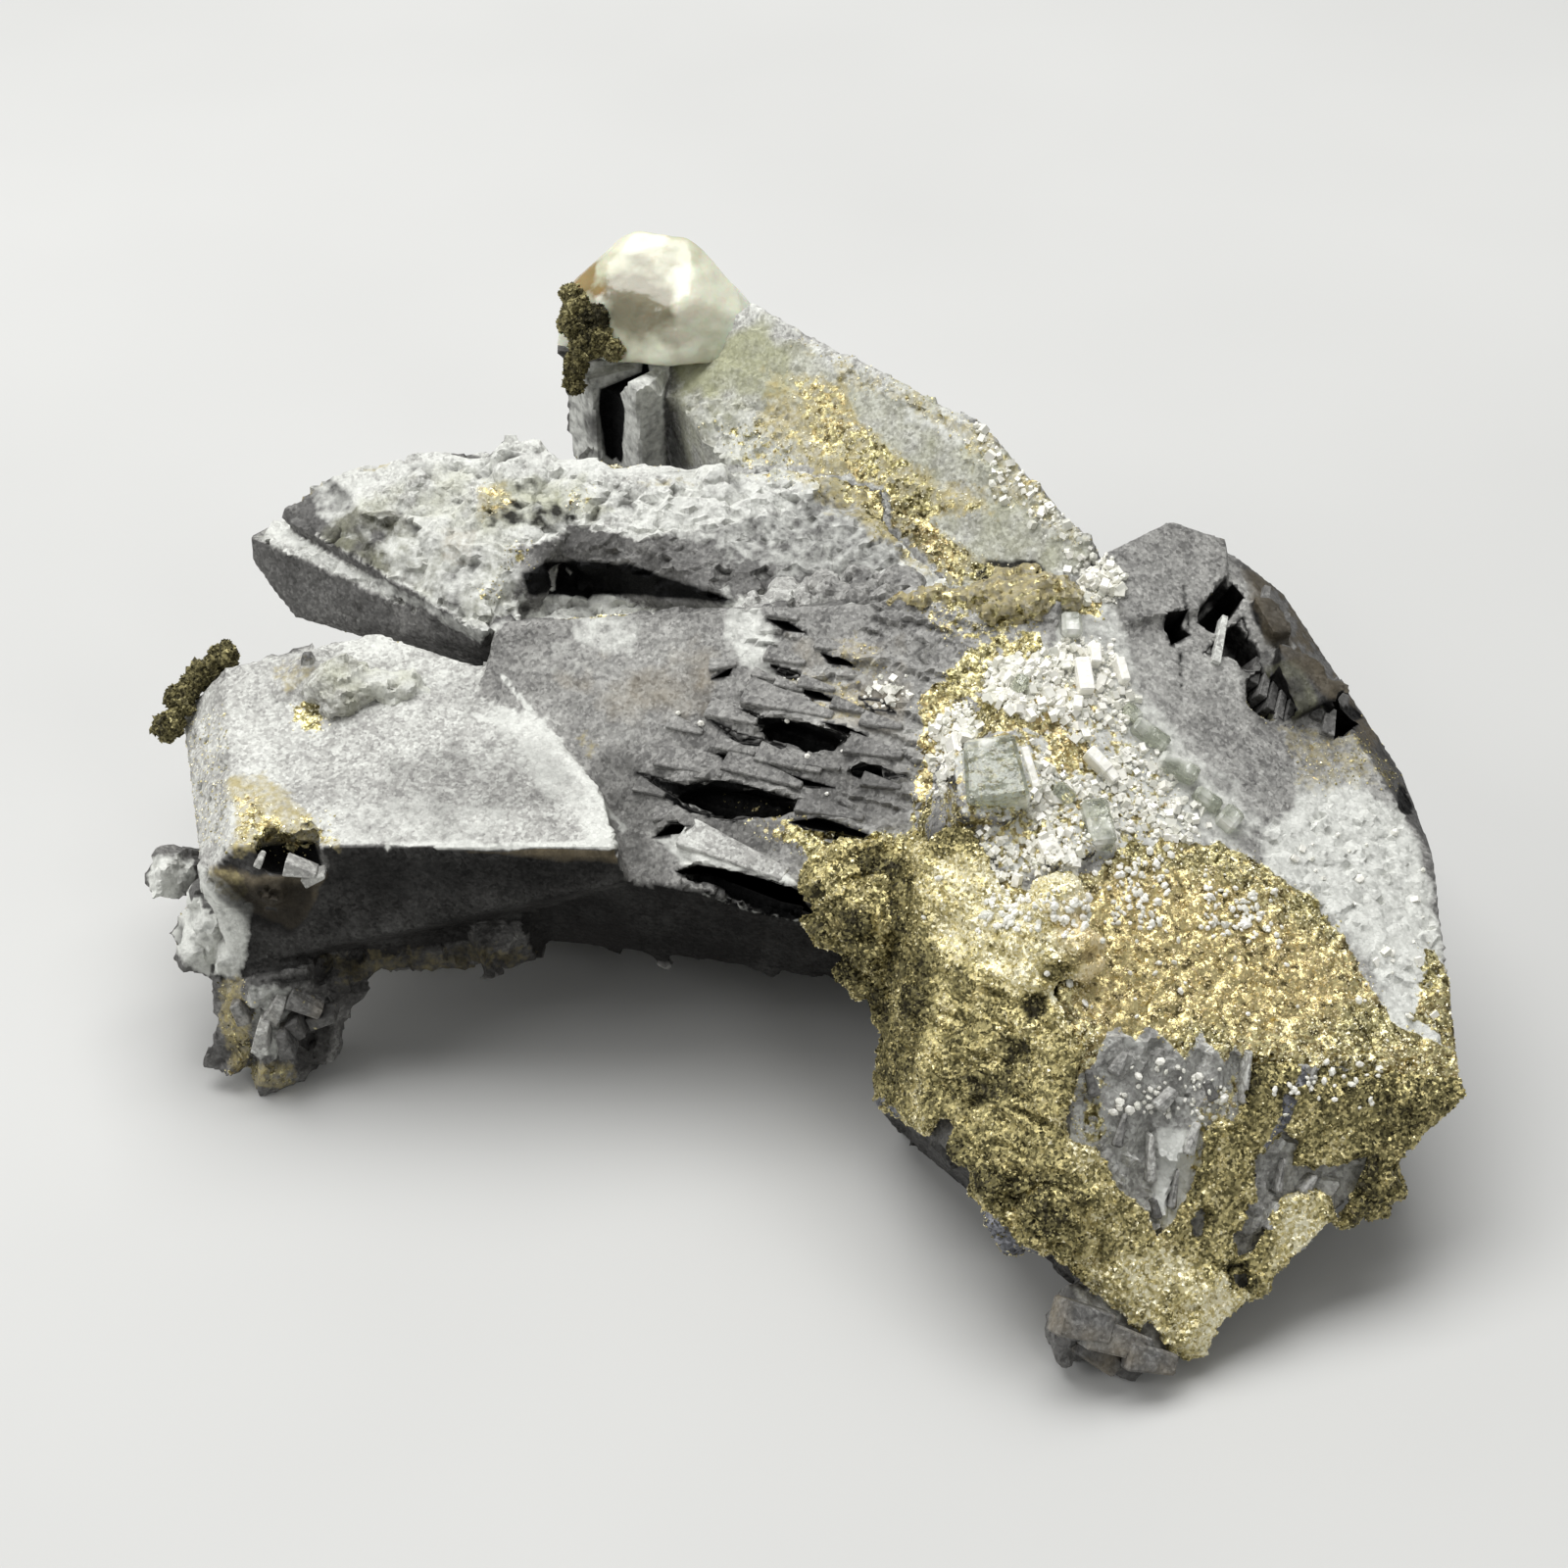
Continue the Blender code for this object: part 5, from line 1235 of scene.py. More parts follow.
@dataclass(frozen=True)
class PyriteFinish:
    """Brassy pyrite in a crust of tiny crystals: bright facets, an orange or olive tarnish and dark gaps."""

    # The facets of 0.2 mm give the sparkle, and the gaps between them keep the crust from looking like gilt paint

    name: str = "brassy_pyrite"
    bright: str = "#faf5da"
    brass: str = "#d6c991"
    tan: str = "#e0ca96"
    olive: str = "#857d54"
    gap: str = "#2b2716"
    stone: str = "#3c3d40"
    stone_light: str = "#83848a"
    gap_share: float = 0.6
    metal: float = 0.7      # a crust of tiny grains scatters part of its light as a matt surface does
    roughness: float = 0.5

    def build(self) -> bpy.types.Material:
        """Makes the material.

        Returns:
            The material.
        """
        make = Mineral(self.name)
        tree = make.tree
        level = make.sum_of(
            add_node(tree, "ShaderNodeAttribute", {"attribute_name": "tone"}, {}).outputs["Fac"],
            make.specks(0.2, 0.0, 1.0, -0.25, 0.25),
            make.mottle(1.0, 0.3, 0.7, -0.12, 0.12),
        )
        depth = add_node(
            tree, "ShaderNodeMapRange", {}, {0: level, 1: 0.4, 2: 1.0, 3: self.gap_share, 4: 0.1}
        )
        inputs = {0: make.mottle(0.4, 0.44, 0.34), 1: depth.outputs[0]}
        shadow = add_node(tree, "ShaderNodeMath", {"operation": "MULTIPLY"}, inputs)
        ramp = ((0.0, 0.35, self.olive), (0.35, 0.65, self.brass), (0.65, 1.0, self.bright))
        colour = self.gap
        for low, high, over in ramp:
            step = add_node(tree, "ShaderNodeMapRange", {}, {0: level, 1: low, 2: high})
            colour = make.colours(colour, (step.outputs[0], over))
        colour = make.colours(
            colour,
            (make.cover("warm", 1.0, 0.60, 1.40, 1.0, 0.6), self.tan),
            (shadow.outputs[0], self.gap),
        )
        stone = make.colours(self.stone, (make.specks(0.26, 0.0, 1.0), self.stone_light))
        bare = make.cover("bare", 0.35, 0.90, 1.05)
        metal = add_node(tree, "ShaderNodeMapRange", {}, {0: bare, 3: self.metal, 4: 0.0})
        rough = add_node(tree, "ShaderNodeMapRange", {}, {0: bare, 3: self.roughness, 4: 0.6})
        return make.finish({
            "Base Color": make.colours(colour, (bare, stone)),
            "Metallic": metal.outputs[0],
            "Roughness": rough.outputs[0],
            "Normal": make.bumps((make.facets(0.2), 0.14)),
        })


@dataclass(frozen=True)
class DruseFinish:
    """Sugary white calcite grains: glassy faces over a milky body."""

    body: str = "#fffdf4"
    tint: str = "#d2d3c4"

    def build(self) -> bpy.types.Material:
        """Makes the material.

        Returns:
            The material.
        """
        make = Mineral("white_calcite_druse")
        # A little of the light goes through each grain, so the druse looks sugary and not chalky
        colour = make.colours(self.tint, (make.cover("tone", 0.6, 0.2, 0.8, 0.3), self.body))
        normal = make.bumps((make.mottle(0.5, 0.3, 0.7), 0.08))
        return make.finish(
            {"Base Color": colour, "Roughness": 0.2, "IOR": 1.6, "Transmission Weight": 0.12, "Normal": normal}
        )


@dataclass(frozen=True)
class ClearFinish:
    """Clear calcite, faintly green, with a striated skin and clouds inside."""

    glass: str = "#dfe4d2"
    cloud: str = "#fbfbf6"

    def build(self) -> bpy.types.Material:
        """Makes the material.

        Returns:
            The material.
        """
        make = Mineral("clear_calcite")
        # Clear where the rock below shows through, cloudy where cleavage cracks catch the light
        colour = make.colours(self.glass, (make.mottle(1.4, 0.50, 0.68), self.cloud))
        clear = make.mottle(1.4, 0.48, 0.70, 0.85, 0.25)
        normal = make.bumps((make.facets(0.9), 0.16), (make.mottle(0.4, 0.3, 0.7), 0.06))
        return make.finish(
            {"Base Color": colour, "Roughness": 0.06, "IOR": 1.6, "Transmission Weight": clear, "Normal": normal}
        )


@dataclass(frozen=True)
class MilkyFinish:
    """Milky calcite of the tip: cream, with a grey-brown cloud inside, under a polished skin."""

    cream: str = "#eeefd9"
    haze: str = "#c9c9ac"
    cloud: str = "#7d755b"
    rust: str = "#977d45"

    def build(self) -> bpy.types.Material:
        """Makes the material.

        Returns:
            The material.
        """
        make = Mineral("milky_calcite")
        # Light scatters below the polished skin, so the tip glows where it is thin
        colour = make.colours(
            self.cream,
            (make.mottle(2.6, 0.40, 0.62, 0.0, 0.8), self.haze),
            (make.cover("dark", 1.2, 0.60, 1.25, 1.0, 0.85), self.cloud),
            (make.cover("warm", 0.7, 0.65, 1.10, 1.0, 0.9), self.rust),
            # The frost coat lays cream on the painted highlights.
            (make.cover("frost", 0.8, 0.55, 1.20, 0.8), self.cream),
        )
        normal = make.bumps((make.mottle(1.4, 0.3, 0.7), 0.10), (make.mottle(0.3, 0.3, 0.7), 0.02))
        return make.finish(
            {"Base Color": colour, "Roughness": 0.24, "IOR": 1.6, "Transmission Weight": 0.2,
             "Subsurface Weight": 0.3, "Subsurface Scale": 0.002, "Normal": normal}
        )


def deselect() -> None:
    """Clears the selection, in object mode."""
    if bpy.context.object and bpy.context.object.mode != "OBJECT":
        bpy.ops.object.mode_set(mode="OBJECT")
    bpy.ops.object.select_all(action="DESELECT")


def activate(piece: bpy.types.Object) -> None:
    """Makes one object the selected and active one.

    Args:
        piece: the object.
    """
    deselect()
    piece.select_set(True)
    bpy.context.view_layer.objects.active = piece


def fine_mesh(piece: bpy.types.Object, voxel: float) -> None:
    """Gives a closed object a fine even mesh.

    Args:
        piece: the object.
        voxel: mm between the new points.
    """
    activate(piece)
    remesh = piece.modifiers.new("fine_mesh", "REMESH")
    remesh.mode = "VOXEL"
    remesh.voxel_size = voxel * MM
    bpy.ops.object.modifier_apply(modifier=remesh.name)


def copy_of_node(node: bpy.types.Object, name: str, voxel: float) -> bpy.types.Object:
    """Copies a CAD node, merges its loose triangles and gives it a fine even mesh.

    Args:
        node: the CAD node's object, which stays as it is.
        name: the new object's name.
        voxel: mm between the new mesh's points.

    Returns:
        The new object.
    """
    piece = bpy.data.objects.new(name, node.data.copy())
    bpy.context.scene.collection.objects.link(piece)
    activate(piece)
    piece.data.materials.clear()
    bpy.ops.object.mode_set(mode="EDIT")
    bpy.ops.mesh.select_all(action="SELECT")
    bpy.ops.mesh.remove_doubles(threshold=1e-6)
    bpy.ops.object.mode_set(mode="OBJECT")
    fine_mesh(piece, voxel)
    return piece


def points_of(piece: bpy.types.Object) -> np.ndarray:
    """Reads the mesh's points in mm.

    Args:
        piece: the object.

    Returns:
        One row of three for each point.
    """
    flat = np.empty(len(piece.data.vertices) * 3, np.float32)
    piece.data.vertices.foreach_get("co", flat)
    return flat.reshape(-1, 3).astype(float) / MM


def normals_of(piece: bpy.types.Object) -> np.ndarray:
    """Reads the mesh's normals at its points.

    Args:
        piece: the object.

    Returns:
        One row of three for each point.
    """
    flat = np.empty(len(piece.data.vertices) * 3, np.float32)
    piece.data.vertex_normals.foreach_get("vector", flat)
    return flat.reshape(-1, 3).astype(float)


def move_points(piece: bpy.types.Object, points: np.ndarray) -> None:
    """Gives the mesh new points, in mm."""
    piece.data.vertices.foreach_set("co", (points * MM).astype(np.float32).ravel())
    piece.data.update()


def write_coat(piece: bpy.types.Object, name: str, values: np.ndarray) -> None:
    """Stores one number for each point of the mesh.

    Args:
        piece: the object.
        name: the coat's name.
        values: the numbers, in the points' order.
    """
    mesh = piece.data
    attribute = mesh.attributes.get(name) or mesh.attributes.new(name, "FLOAT", "POINT")
    attribute.data.foreach_set("value", values.astype(np.float32))


def read_coat(piece: bpy.types.Object, name: str) -> np.ndarray:
    """Reads the numbers that write_coat stored, or zeros.

    Args:
        piece: the object.
        name: the coat's name.

    Returns:
        One number for each point.
    """
    values = np.zeros(len(piece.data.vertices), np.float32)
    if name in piece.data.attributes:
        piece.data.attributes[name].data.foreach_get("value", values)
    return values.astype(float)


def triangles_of(piece: bpy.types.Object) -> np.ndarray:
    """Reads the mesh's triangles.

    Args:
        piece: the object.

    Returns:
        Rows of three point numbers.
    """
    piece.data.calc_loop_triangles()
    flat = np.empty(len(piece.data.loop_triangles) * 3, np.int32)
    piece.data.loop_triangles.foreach_get("vertices", flat)
    return flat.reshape(-1, 3)


def dress(
    piece: bpy.types.Object, material: bpy.types.Material, stands_for: tuple[str, ...] = ()
) -> None:
    """Gives a finished piece its material and its body, and reports it.

    Args:
        piece: the finished object.
        material: its finish.
        stands_for: the CAD nodes that it takes the place of.
    """
    piece.data.materials.clear()
    piece.data.materials.append(material)
    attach(piece, BODY)
    if stands_for:
        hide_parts(*stands_for)
    log.info("%s: %d triangles", piece.name, len(triangles_of(piece)))


def in_box(points: np.ndarray, low: np.ndarray, high: np.ndarray) -> np.ndarray:
    """Keeps points inside a box grown by the margin, and above the floor.

    Args:
        points: places in mm, one row each.
        low: the box's lowest corner.
        high: its highest corner.

    Returns:
        The points kept inside.
    """
    kept = np.clip(points, low - BOX_MARGIN, high + BOX_MARGIN)
    kept[:, 2] = np.maximum(kept[:, 2], 0.0)
    return kept


@dataclass
class CalciteBody:
    """The grey calcite of every crystal, with its fine relief and its coats.

    Args:
        swell: mm of the long gentle unevenness that no crystal face is without.
        rough: mm of relief on broken rock.
        druse: mm of relief where small crystals stand.
        lumps: mm of relief on the middle crystal's crusty top.
        shingles: mm that the centre body's scales stand off.
    """

    swell: float = 0.06
    rough: float = 0.7
    druse: float = 0.34
    lumps: float = 0.8
    shingles: float = 0.42

    def relief(self, points: np.ndarray, labels: np.ndarray, coats: Coats) -> np.ndarray:
        """Works out how far each point of the surface stands off the plain crystal face.

        Args:
            points: places in mm.
            labels: region numbers.
            coats: shares by finish; hollows in the relief get painted shade in them, and the crust's crests painted
                light.

        Returns:
            Heights in mm.
        """
        height = self.swell * layered(points, 3.6, 31, 3)

        def on(*regions: Region) -> np.ndarray:
            """Tells which points lie on some regions."""
            return np.isin(labels, [region.value for region in regions])

        def within(mask: np.ndarray, heights: Callable[[np.ndarray], np.ndarray]) -> None:
            """Adds heights worked out for the masked points alone."""
            if mask.any():
                height[mask] += heights(points[mask])

        broken = on(Region.ROUGH, Region.BLOCK_LOW_LEFT, Region.BLOCK_LOW_RIGHT)
        within(broken, lambda p: self.rough * (0.6 * Cells.around(p, 2.4, 41).facets()
                                               + 0.4 * layered(p, 2.0, 43, 3, True) - 0.15))
        crusted = on(Region.MIDDLE_CRUST)
        within(crusted, self.crusty)
        # Hollows of the broken rock and of the crust get painted shade, and the crust's crests painted light.
        hollow = smooth_step(-height, 0.10, 0.55) * (crusted | broken)
        coats[SHADE] = np.maximum(coats[SHADE], (0.9 - 0.15 * crusted) * hollow)
        crest = smooth_step(height, 0.05, 0.40) * crusted
        coats[FROST] = np.maximum(coats[FROST], 0.6 * crest)
        within(on(Region.MIDDLE_SIDE), lambda p: 0.12 * layered(p, 2.0, 57, 3))
        for finish, depth, size, seed in ((SUGAR, 0.24, 1.0, 61), (DRUSE, self.druse, 1.3, 63), (PYRITE, 0.2, 0.9, 65)):
            cover = coats[finish]
            here = cover > 0.02
            grains = Cells.around(points[here], size, seed)
            height[here] += cover[here] * depth * grains.facets()
            joint = 0.45 * smooth_step(0.12 - grains.border, 0.0, 0.12) * (finish is SUGAR)
            coats[SHADE][here] = np.maximum(coats[SHADE][here], cover[here] * joint)
        centre = on(Region.CENTRE_BROAD)
        if centre.any():
            rise, shadow = self.scales(points[centre])
            height[centre] += rise
            coats[SHADE][centre] = np.maximum(coats[SHADE][centre], shadow)
        within(on(Region.LEFT_FRONT, Region.CENTRE_FRONT), lambda p: 0.05 * noise(p * (1.0, 1.0, 0.12), 0.8, 71))
        end = on(Region.LEFT_END, Region.LEFT_BEVEL)
        rise, shadow = self.streaks(points[end])
        height[end] += rise
        coats[SHADE][end] = np.maximum(coats[SHADE][end], shadow)
        within(on(Region.BLOCK_FRONT), self.fibres)
        within(on(Region.BACK_BROAD, Region.BACK_FAR, Region.BACK_FAR_ROOT), self.steps)
        for finish, share in ((PYRITE, 1.0), (OCHRE, 0.8), (SUGAR, 1.0)):
            coats[finish] *= 1.0 - share * coats[SMOOTH]
        pits = np.maximum(coats[BLACK], 0.8 * coats[DARK])
        plain = on(Region.LEFT_FRONT, Region.BLOCK_STEPS, Region.CENTRE_SLOT)
        return height * (1.0 - 0.85 * coats[SMOOTH]) - 0.25 * pits * ~plain

    def crusty(self, points: np.ndarray) -> np.ndarray:
        """Crystals of several sizes crowded on the middle crystal.

        Args:
            points: places in mm, one row each.

        Returns:
            Heights in mm.
        """
        large = Cells.around(points * (0.8, 1.0, 1.0), 3.4, 51)
        small = Cells.around(points, 1.5, 53)
        joint = smooth_step(0.14 - large.border, 0.0, 0.14)
        fine = 0.35 * small.facets() + 0.25 * layered(points, 4.0, 55, 3) + 0.12 * layered(points, 1.1, 59, 2, True)
        return self.lumps * (0.42 * large.facets() + fine - 0.28 * joint)

    def scales(self, points: np.ndarray) -> tuple[np.ndarray, np.ndarray]:
        """Thin scales that overlap downhill on the centre body, and the shadow line under each lip.

        Args:
            points: places in mm, one row each.

        Returns:
            Heights in mm, and the share of shade.
        """
        flat = FACES[Region.CENTRE_BROAD].flat(points)
        bend = 0.7 * noise(flat * (0.30, 1.0, 0.4), 1.7, 81) + 0.3 * np.sign(noise(flat * (0.5, 0.7, 0.4), 1.5, 82))
        phase = flat[:, 1] / 1.9 + 0.07 * flat[:, 0] + bend
        saw = phase - np.floor(phase)
        right_side = smooth_step(flat[:, 0], -12.0, -5.0)
        present = smooth_step(layered(points, 3.6, 83, 2), -0.25, 0.2) * right_side
        rise = self.shingles * present * (0.5 - saw) + 0.05 * Cells.around(points, 0.9, 85).facets()
        return rise, 0.75 * present * smooth_step(saw, 0.80, 0.95)

    def streaks(self, points: np.ndarray) -> tuple[np.ndarray, np.ndarray]:
        """Upright streaks and small pits on the left crystal's end, and the pits' shade.

        Args:
            points: places in mm, one row each.

        Returns:
            Heights in mm, and the share of shade.
        """
        flat = FACES[Region.LEFT_END].flat(points)
        grain = Cells.around(flat * (1.0, 0.45, 1.0), 1.15, 87)
        pit = smooth_step(0.34 - np.linalg.norm(grain.offset, axis=1), 0.0, 0.2) * (grain.random[:, 1] > 0.0)
        return 0.13 * noise(flat * (1.0, 0.2, 1.0), 0.9, 89) - 0.4 * pit, 0.8 * pit

    def fibres(self, points: np.ndarray) -> np.ndarray:
        """Steep fibres in the crust's windows.

        Args:
            points: places in mm, one row each.

        Returns:
            Heights in mm.
        """
        flat = FACES[Region.BLOCK_FRONT].flat(points)
        lean = math.radians(24.0)
        cross = flat[:, 0] * math.cos(lean) - flat[:, 1] * math.sin(lean)
        along = flat[:, 0] * math.sin(lean) + flat[:, 1] * math.cos(lean)
        warped = np.stack([cross, along * 0.2, flat[:, 2] * 0.3], axis=1)
        return 0.36 * layered(warped, 1.8, 91, 2, True) + 0.6 * Cells.around(points * (1.0, 0.7, 0.7), 1.7, 93).facets()

    def steps(self, points: np.ndarray) -> np.ndarray:
        """Low growth steps that run along the back crystal.

        Args:
            points: places in mm, one row each.

        Returns:
            Heights in mm.
        """
        flat = FACES[Region.BACK_BROAD].flat(points)
        phase = flat[:, 1] / 3.2 + 0.5 * noise(flat * (0.12, 0.5, 0.5), 2.0, 95)
        saw = phase - np.floor(phase)
        return 0.26 * (saw - 0.5) + 0.10 * layered(points, 1.6, 97, 2)

    def tones(
        self, points: np.ndarray, normals: np.ndarray, labels: np.ndarray, gilded: np.ndarray
    ) -> np.ndarray:
        """Works out how pale each point is.

        Args:
            points: places in mm, one row each.
            normals: the surface's directions there.
            labels: region numbers.
            gilded: the share of pyrite dust.

        Returns:
            Tones from 0, near black, to 1, white.
        """
        tones = np.full(len(points), OTHER_TONES[Region.ROUGH])
        for region in Region:
            tones[labels == region.value] = FACES[region].tone if region in FACES else OTHER_TONES[region]
        # The stepped faces are painted dark where they don't run with the block's top: painted shade in the notches.
        along_top = smooth_step(normals @ FACES[Region.BLOCK_TOP].axes()[2], 0.6, 0.9)
        stepped = labels == Region.BLOCK_STEPS.value
        tones[stepped] *= 0.1 + 0.9 * along_top[stepped]
        return tones + 0.08 * layered(points, 6.0, 25, 3) + 0.24 * gilded

    def build(self, node: bpy.types.Object) -> bpy.types.Object:
        """Makes the whole fine body from the CAD solid.

        Args:
            node: the CAD node that it stands for.

        Returns:
            The body, not yet cut into pieces.
        """
        body = copy_of_node(node, "calcite_body", CALCITE_VOXEL)
        points, normals = points_of(body), normals_of(body)
        labels = label_regions(points, normals)
        shown = PHOTO.shows(points, normals)
        coats = paint(ZONES.values(), points, labels, shown)
        # The slot floors are painted black: painted shade.
        coats[BLACK][labels == Region.CENTRE_SLOT.value] = 1.0
        turned_away = ((np.array(PHOTO.eye) - points) * normals).sum(axis=1) < 0
        patches = layered(points, 8.0, 23, 3)
        frosted = 0.45 * smooth_step(patches, 0.10, 0.40) * smooth_step(normals[:, 2], -0.3, 0.3)
        gilded = 0.6 * smooth_step(-patches, 0.22, 0.45)
        coats[FROST] = np.where(turned_away, np.maximum(coats[FROST], frosted), coats[FROST])
        coats[PYRITE] = np.where(turned_away, np.maximum(coats[PYRITE], gilded), coats[PYRITE])
        height = self.relief(points, labels, coats) * smooth_step(points[:, 2], 0.0, 1.5)
        shaped = in_box(points + normals * height[:, None], points.min(axis=0), points.max(axis=0))
        cap = labels == Region.CAP.value
        core = np.array(CAP_CENTRE) + FRAME_SHIFT + (1.5, -2.5, -4.0)
        shaped[cap] = core + (shaped[cap] - core) * 0.45
        move_points(body, shaped)
        write_coat(body, "tone", self.tones(points, normals, labels, coats[PYRITE]))
        for finish, cover in coats.items():
            write_coat(body, finish.value, cover)
        for cutter in (CENTRE_SLOTS, BLOCK_NOTCHES):
            cutter.cut(body)
        return body

    def cut(self, body: bpy.types.Object, name: str, planes: Planes) -> bpy.types.Object:
        """Cuts one piece out of the whole body, closed along the cuts.

        Args:
            body: the whole body.
            name: the piece's name.
            planes: (point in mm, normal) of each cut; what the normal points to is removed.

        Returns:
            The piece.
        """
        piece = bpy.data.objects.new(name, body.data.copy())
        bpy.context.scene.collection.objects.link(piece)
        activate(piece)
        bpy.ops.object.mode_set(mode="EDIT")
        for point, normal in planes:
            bpy.ops.mesh.select_all(action="SELECT")
            bpy.ops.mesh.bisect(
                plane_co=Vector(point) * MM, plane_no=normal, use_fill=True, clear_outer=True, clear_inner=False
            )
        bpy.ops.mesh.select_all(action="SELECT")
        bpy.ops.mesh.quads_convert_to_tris()
        bpy.ops.object.mode_set(mode="OBJECT")
        bpy.ops.object.shade_smooth_by_angle(angle=math.radians(CREASE))
        return piece


@dataclass
class PyriteCrust:
    """The pyrite crust of the big block: a rough rippled sheet that carries the grains.

    Args:
        ripple: mm of relief of its ripples.
    """

    ripple: float = 0.34

    def build(self, node: bpy.types.Object) -> bpy.types.Object:
        """Makes the crust from its CAD solid.

        Args:
            node: the CAD node that it stands for.

        Returns:
            The crust.
        """
        crust = copy_of_node(node, "pyrite_crust_surface", CRUST_VOXEL)
        points, normals = points_of(crust), normals_of(crust)
        flat = FACES[Region.BLOCK_LEFT_FRONT].flat(points)
        side = smooth_step(normals @ FACES[Region.BLOCK_LEFT_FRONT].axes()[2], 0.6, 0.9)
        front = smooth_step(normals @ FACES[Region.BLOCK_FRONT].axes()[2], 0.75, 0.95)
        coats = paint(CRUST_ZONES.values(), points, np.zeros(len(points), int), PHOTO.shows(points, normals))
        ripples = 1.6 * layered(flat * (0.35, 1.3, 1.0), 1.5, 101, 2, True)
        coarse = 0.7 * Cells.around(points, 1.1, 103).facets() + 0.6 * layered(points, 2.0, 105, 3)
        height = self.ripple * (side * ripples + (1.0 - 0.5 * side - 0.6 * coats[FROST]) * coarse)
        height = height * smooth_step(points[:, 2], 0.0, 1.5) - 0.5 * coats[DARK]
        move_points(crust, in_box(points + normals * height[:, None], points.min(axis=0), points.max(axis=0)))
        # The side that looks left and, a little, the front are painted darker, and so are the hollows of the relief and
        # the pits: painted shade. Among the zones, band_bright paints light on the band on top, and left_strip,
        # front_upper_shade, front_right_dark and fold paint shade.
        tone = 0.55 - 0.02 * front - 0.24 * side + 0.12 * layered(points, 1.8, 107, 3)
        tone += 0.46 * coats[FROST] - 0.28 * coats[SHADE] - 0.6 * coats[DARK] + 0.5 * np.minimum(height, 0.0)
        write_coat(crust, "tone", tone)
        write_coat(crust, "spark", coats[SPARK])
        write_coat(crust, "warm", coats[WARM])
        write_coat(crust, "bare", coats[SMOOTH])
        activate(crust)
        bpy.ops.object.shade_smooth_by_angle(angle=math.radians(CREASE))
        return crust


@dataclass
class PyriteTuft:
    """A small olive tuft of pyrite made from its CAD solid.

    Args:
        node_name: the CAD node that it stands for.
        crease: degrees over which an edge is sharp.
    """

    node_name: str
    crease: float = 35.0

    def build(self, node: bpy.types.Object) -> bpy.types.Object:
        """Makes the tuft from its CAD solid.

        Args:
            node: the CAD node that it stands for.

        Returns:
            The tuft.
        """
        tuft = copy_of_node(node, self.node_name + "_surface", TUFT_VOXEL)
        points, normals = points_of(tuft), normals_of(tuft)
        height = 0.25 * Cells.around(points, 0.9, 111).facets() + 0.15 * noise(points, 0.5, 113)
        move_points(tuft, in_box(points + normals * height[:, None], points.min(axis=0), points.max(axis=0)))
        write_coat(tuft, "tone", 0.35 + 0.3 * layered(points, 1.0, 115, 2))
        activate(tuft)
        bpy.ops.object.shade_smooth_by_angle(angle=math.radians(self.crease))
        return tuft


class GrainShape(Enum):
    """The habits of the small crystals."""

    PYRAMID = "pyramid"
    RHOMB = "rhomb"
    BEAD = "bead"


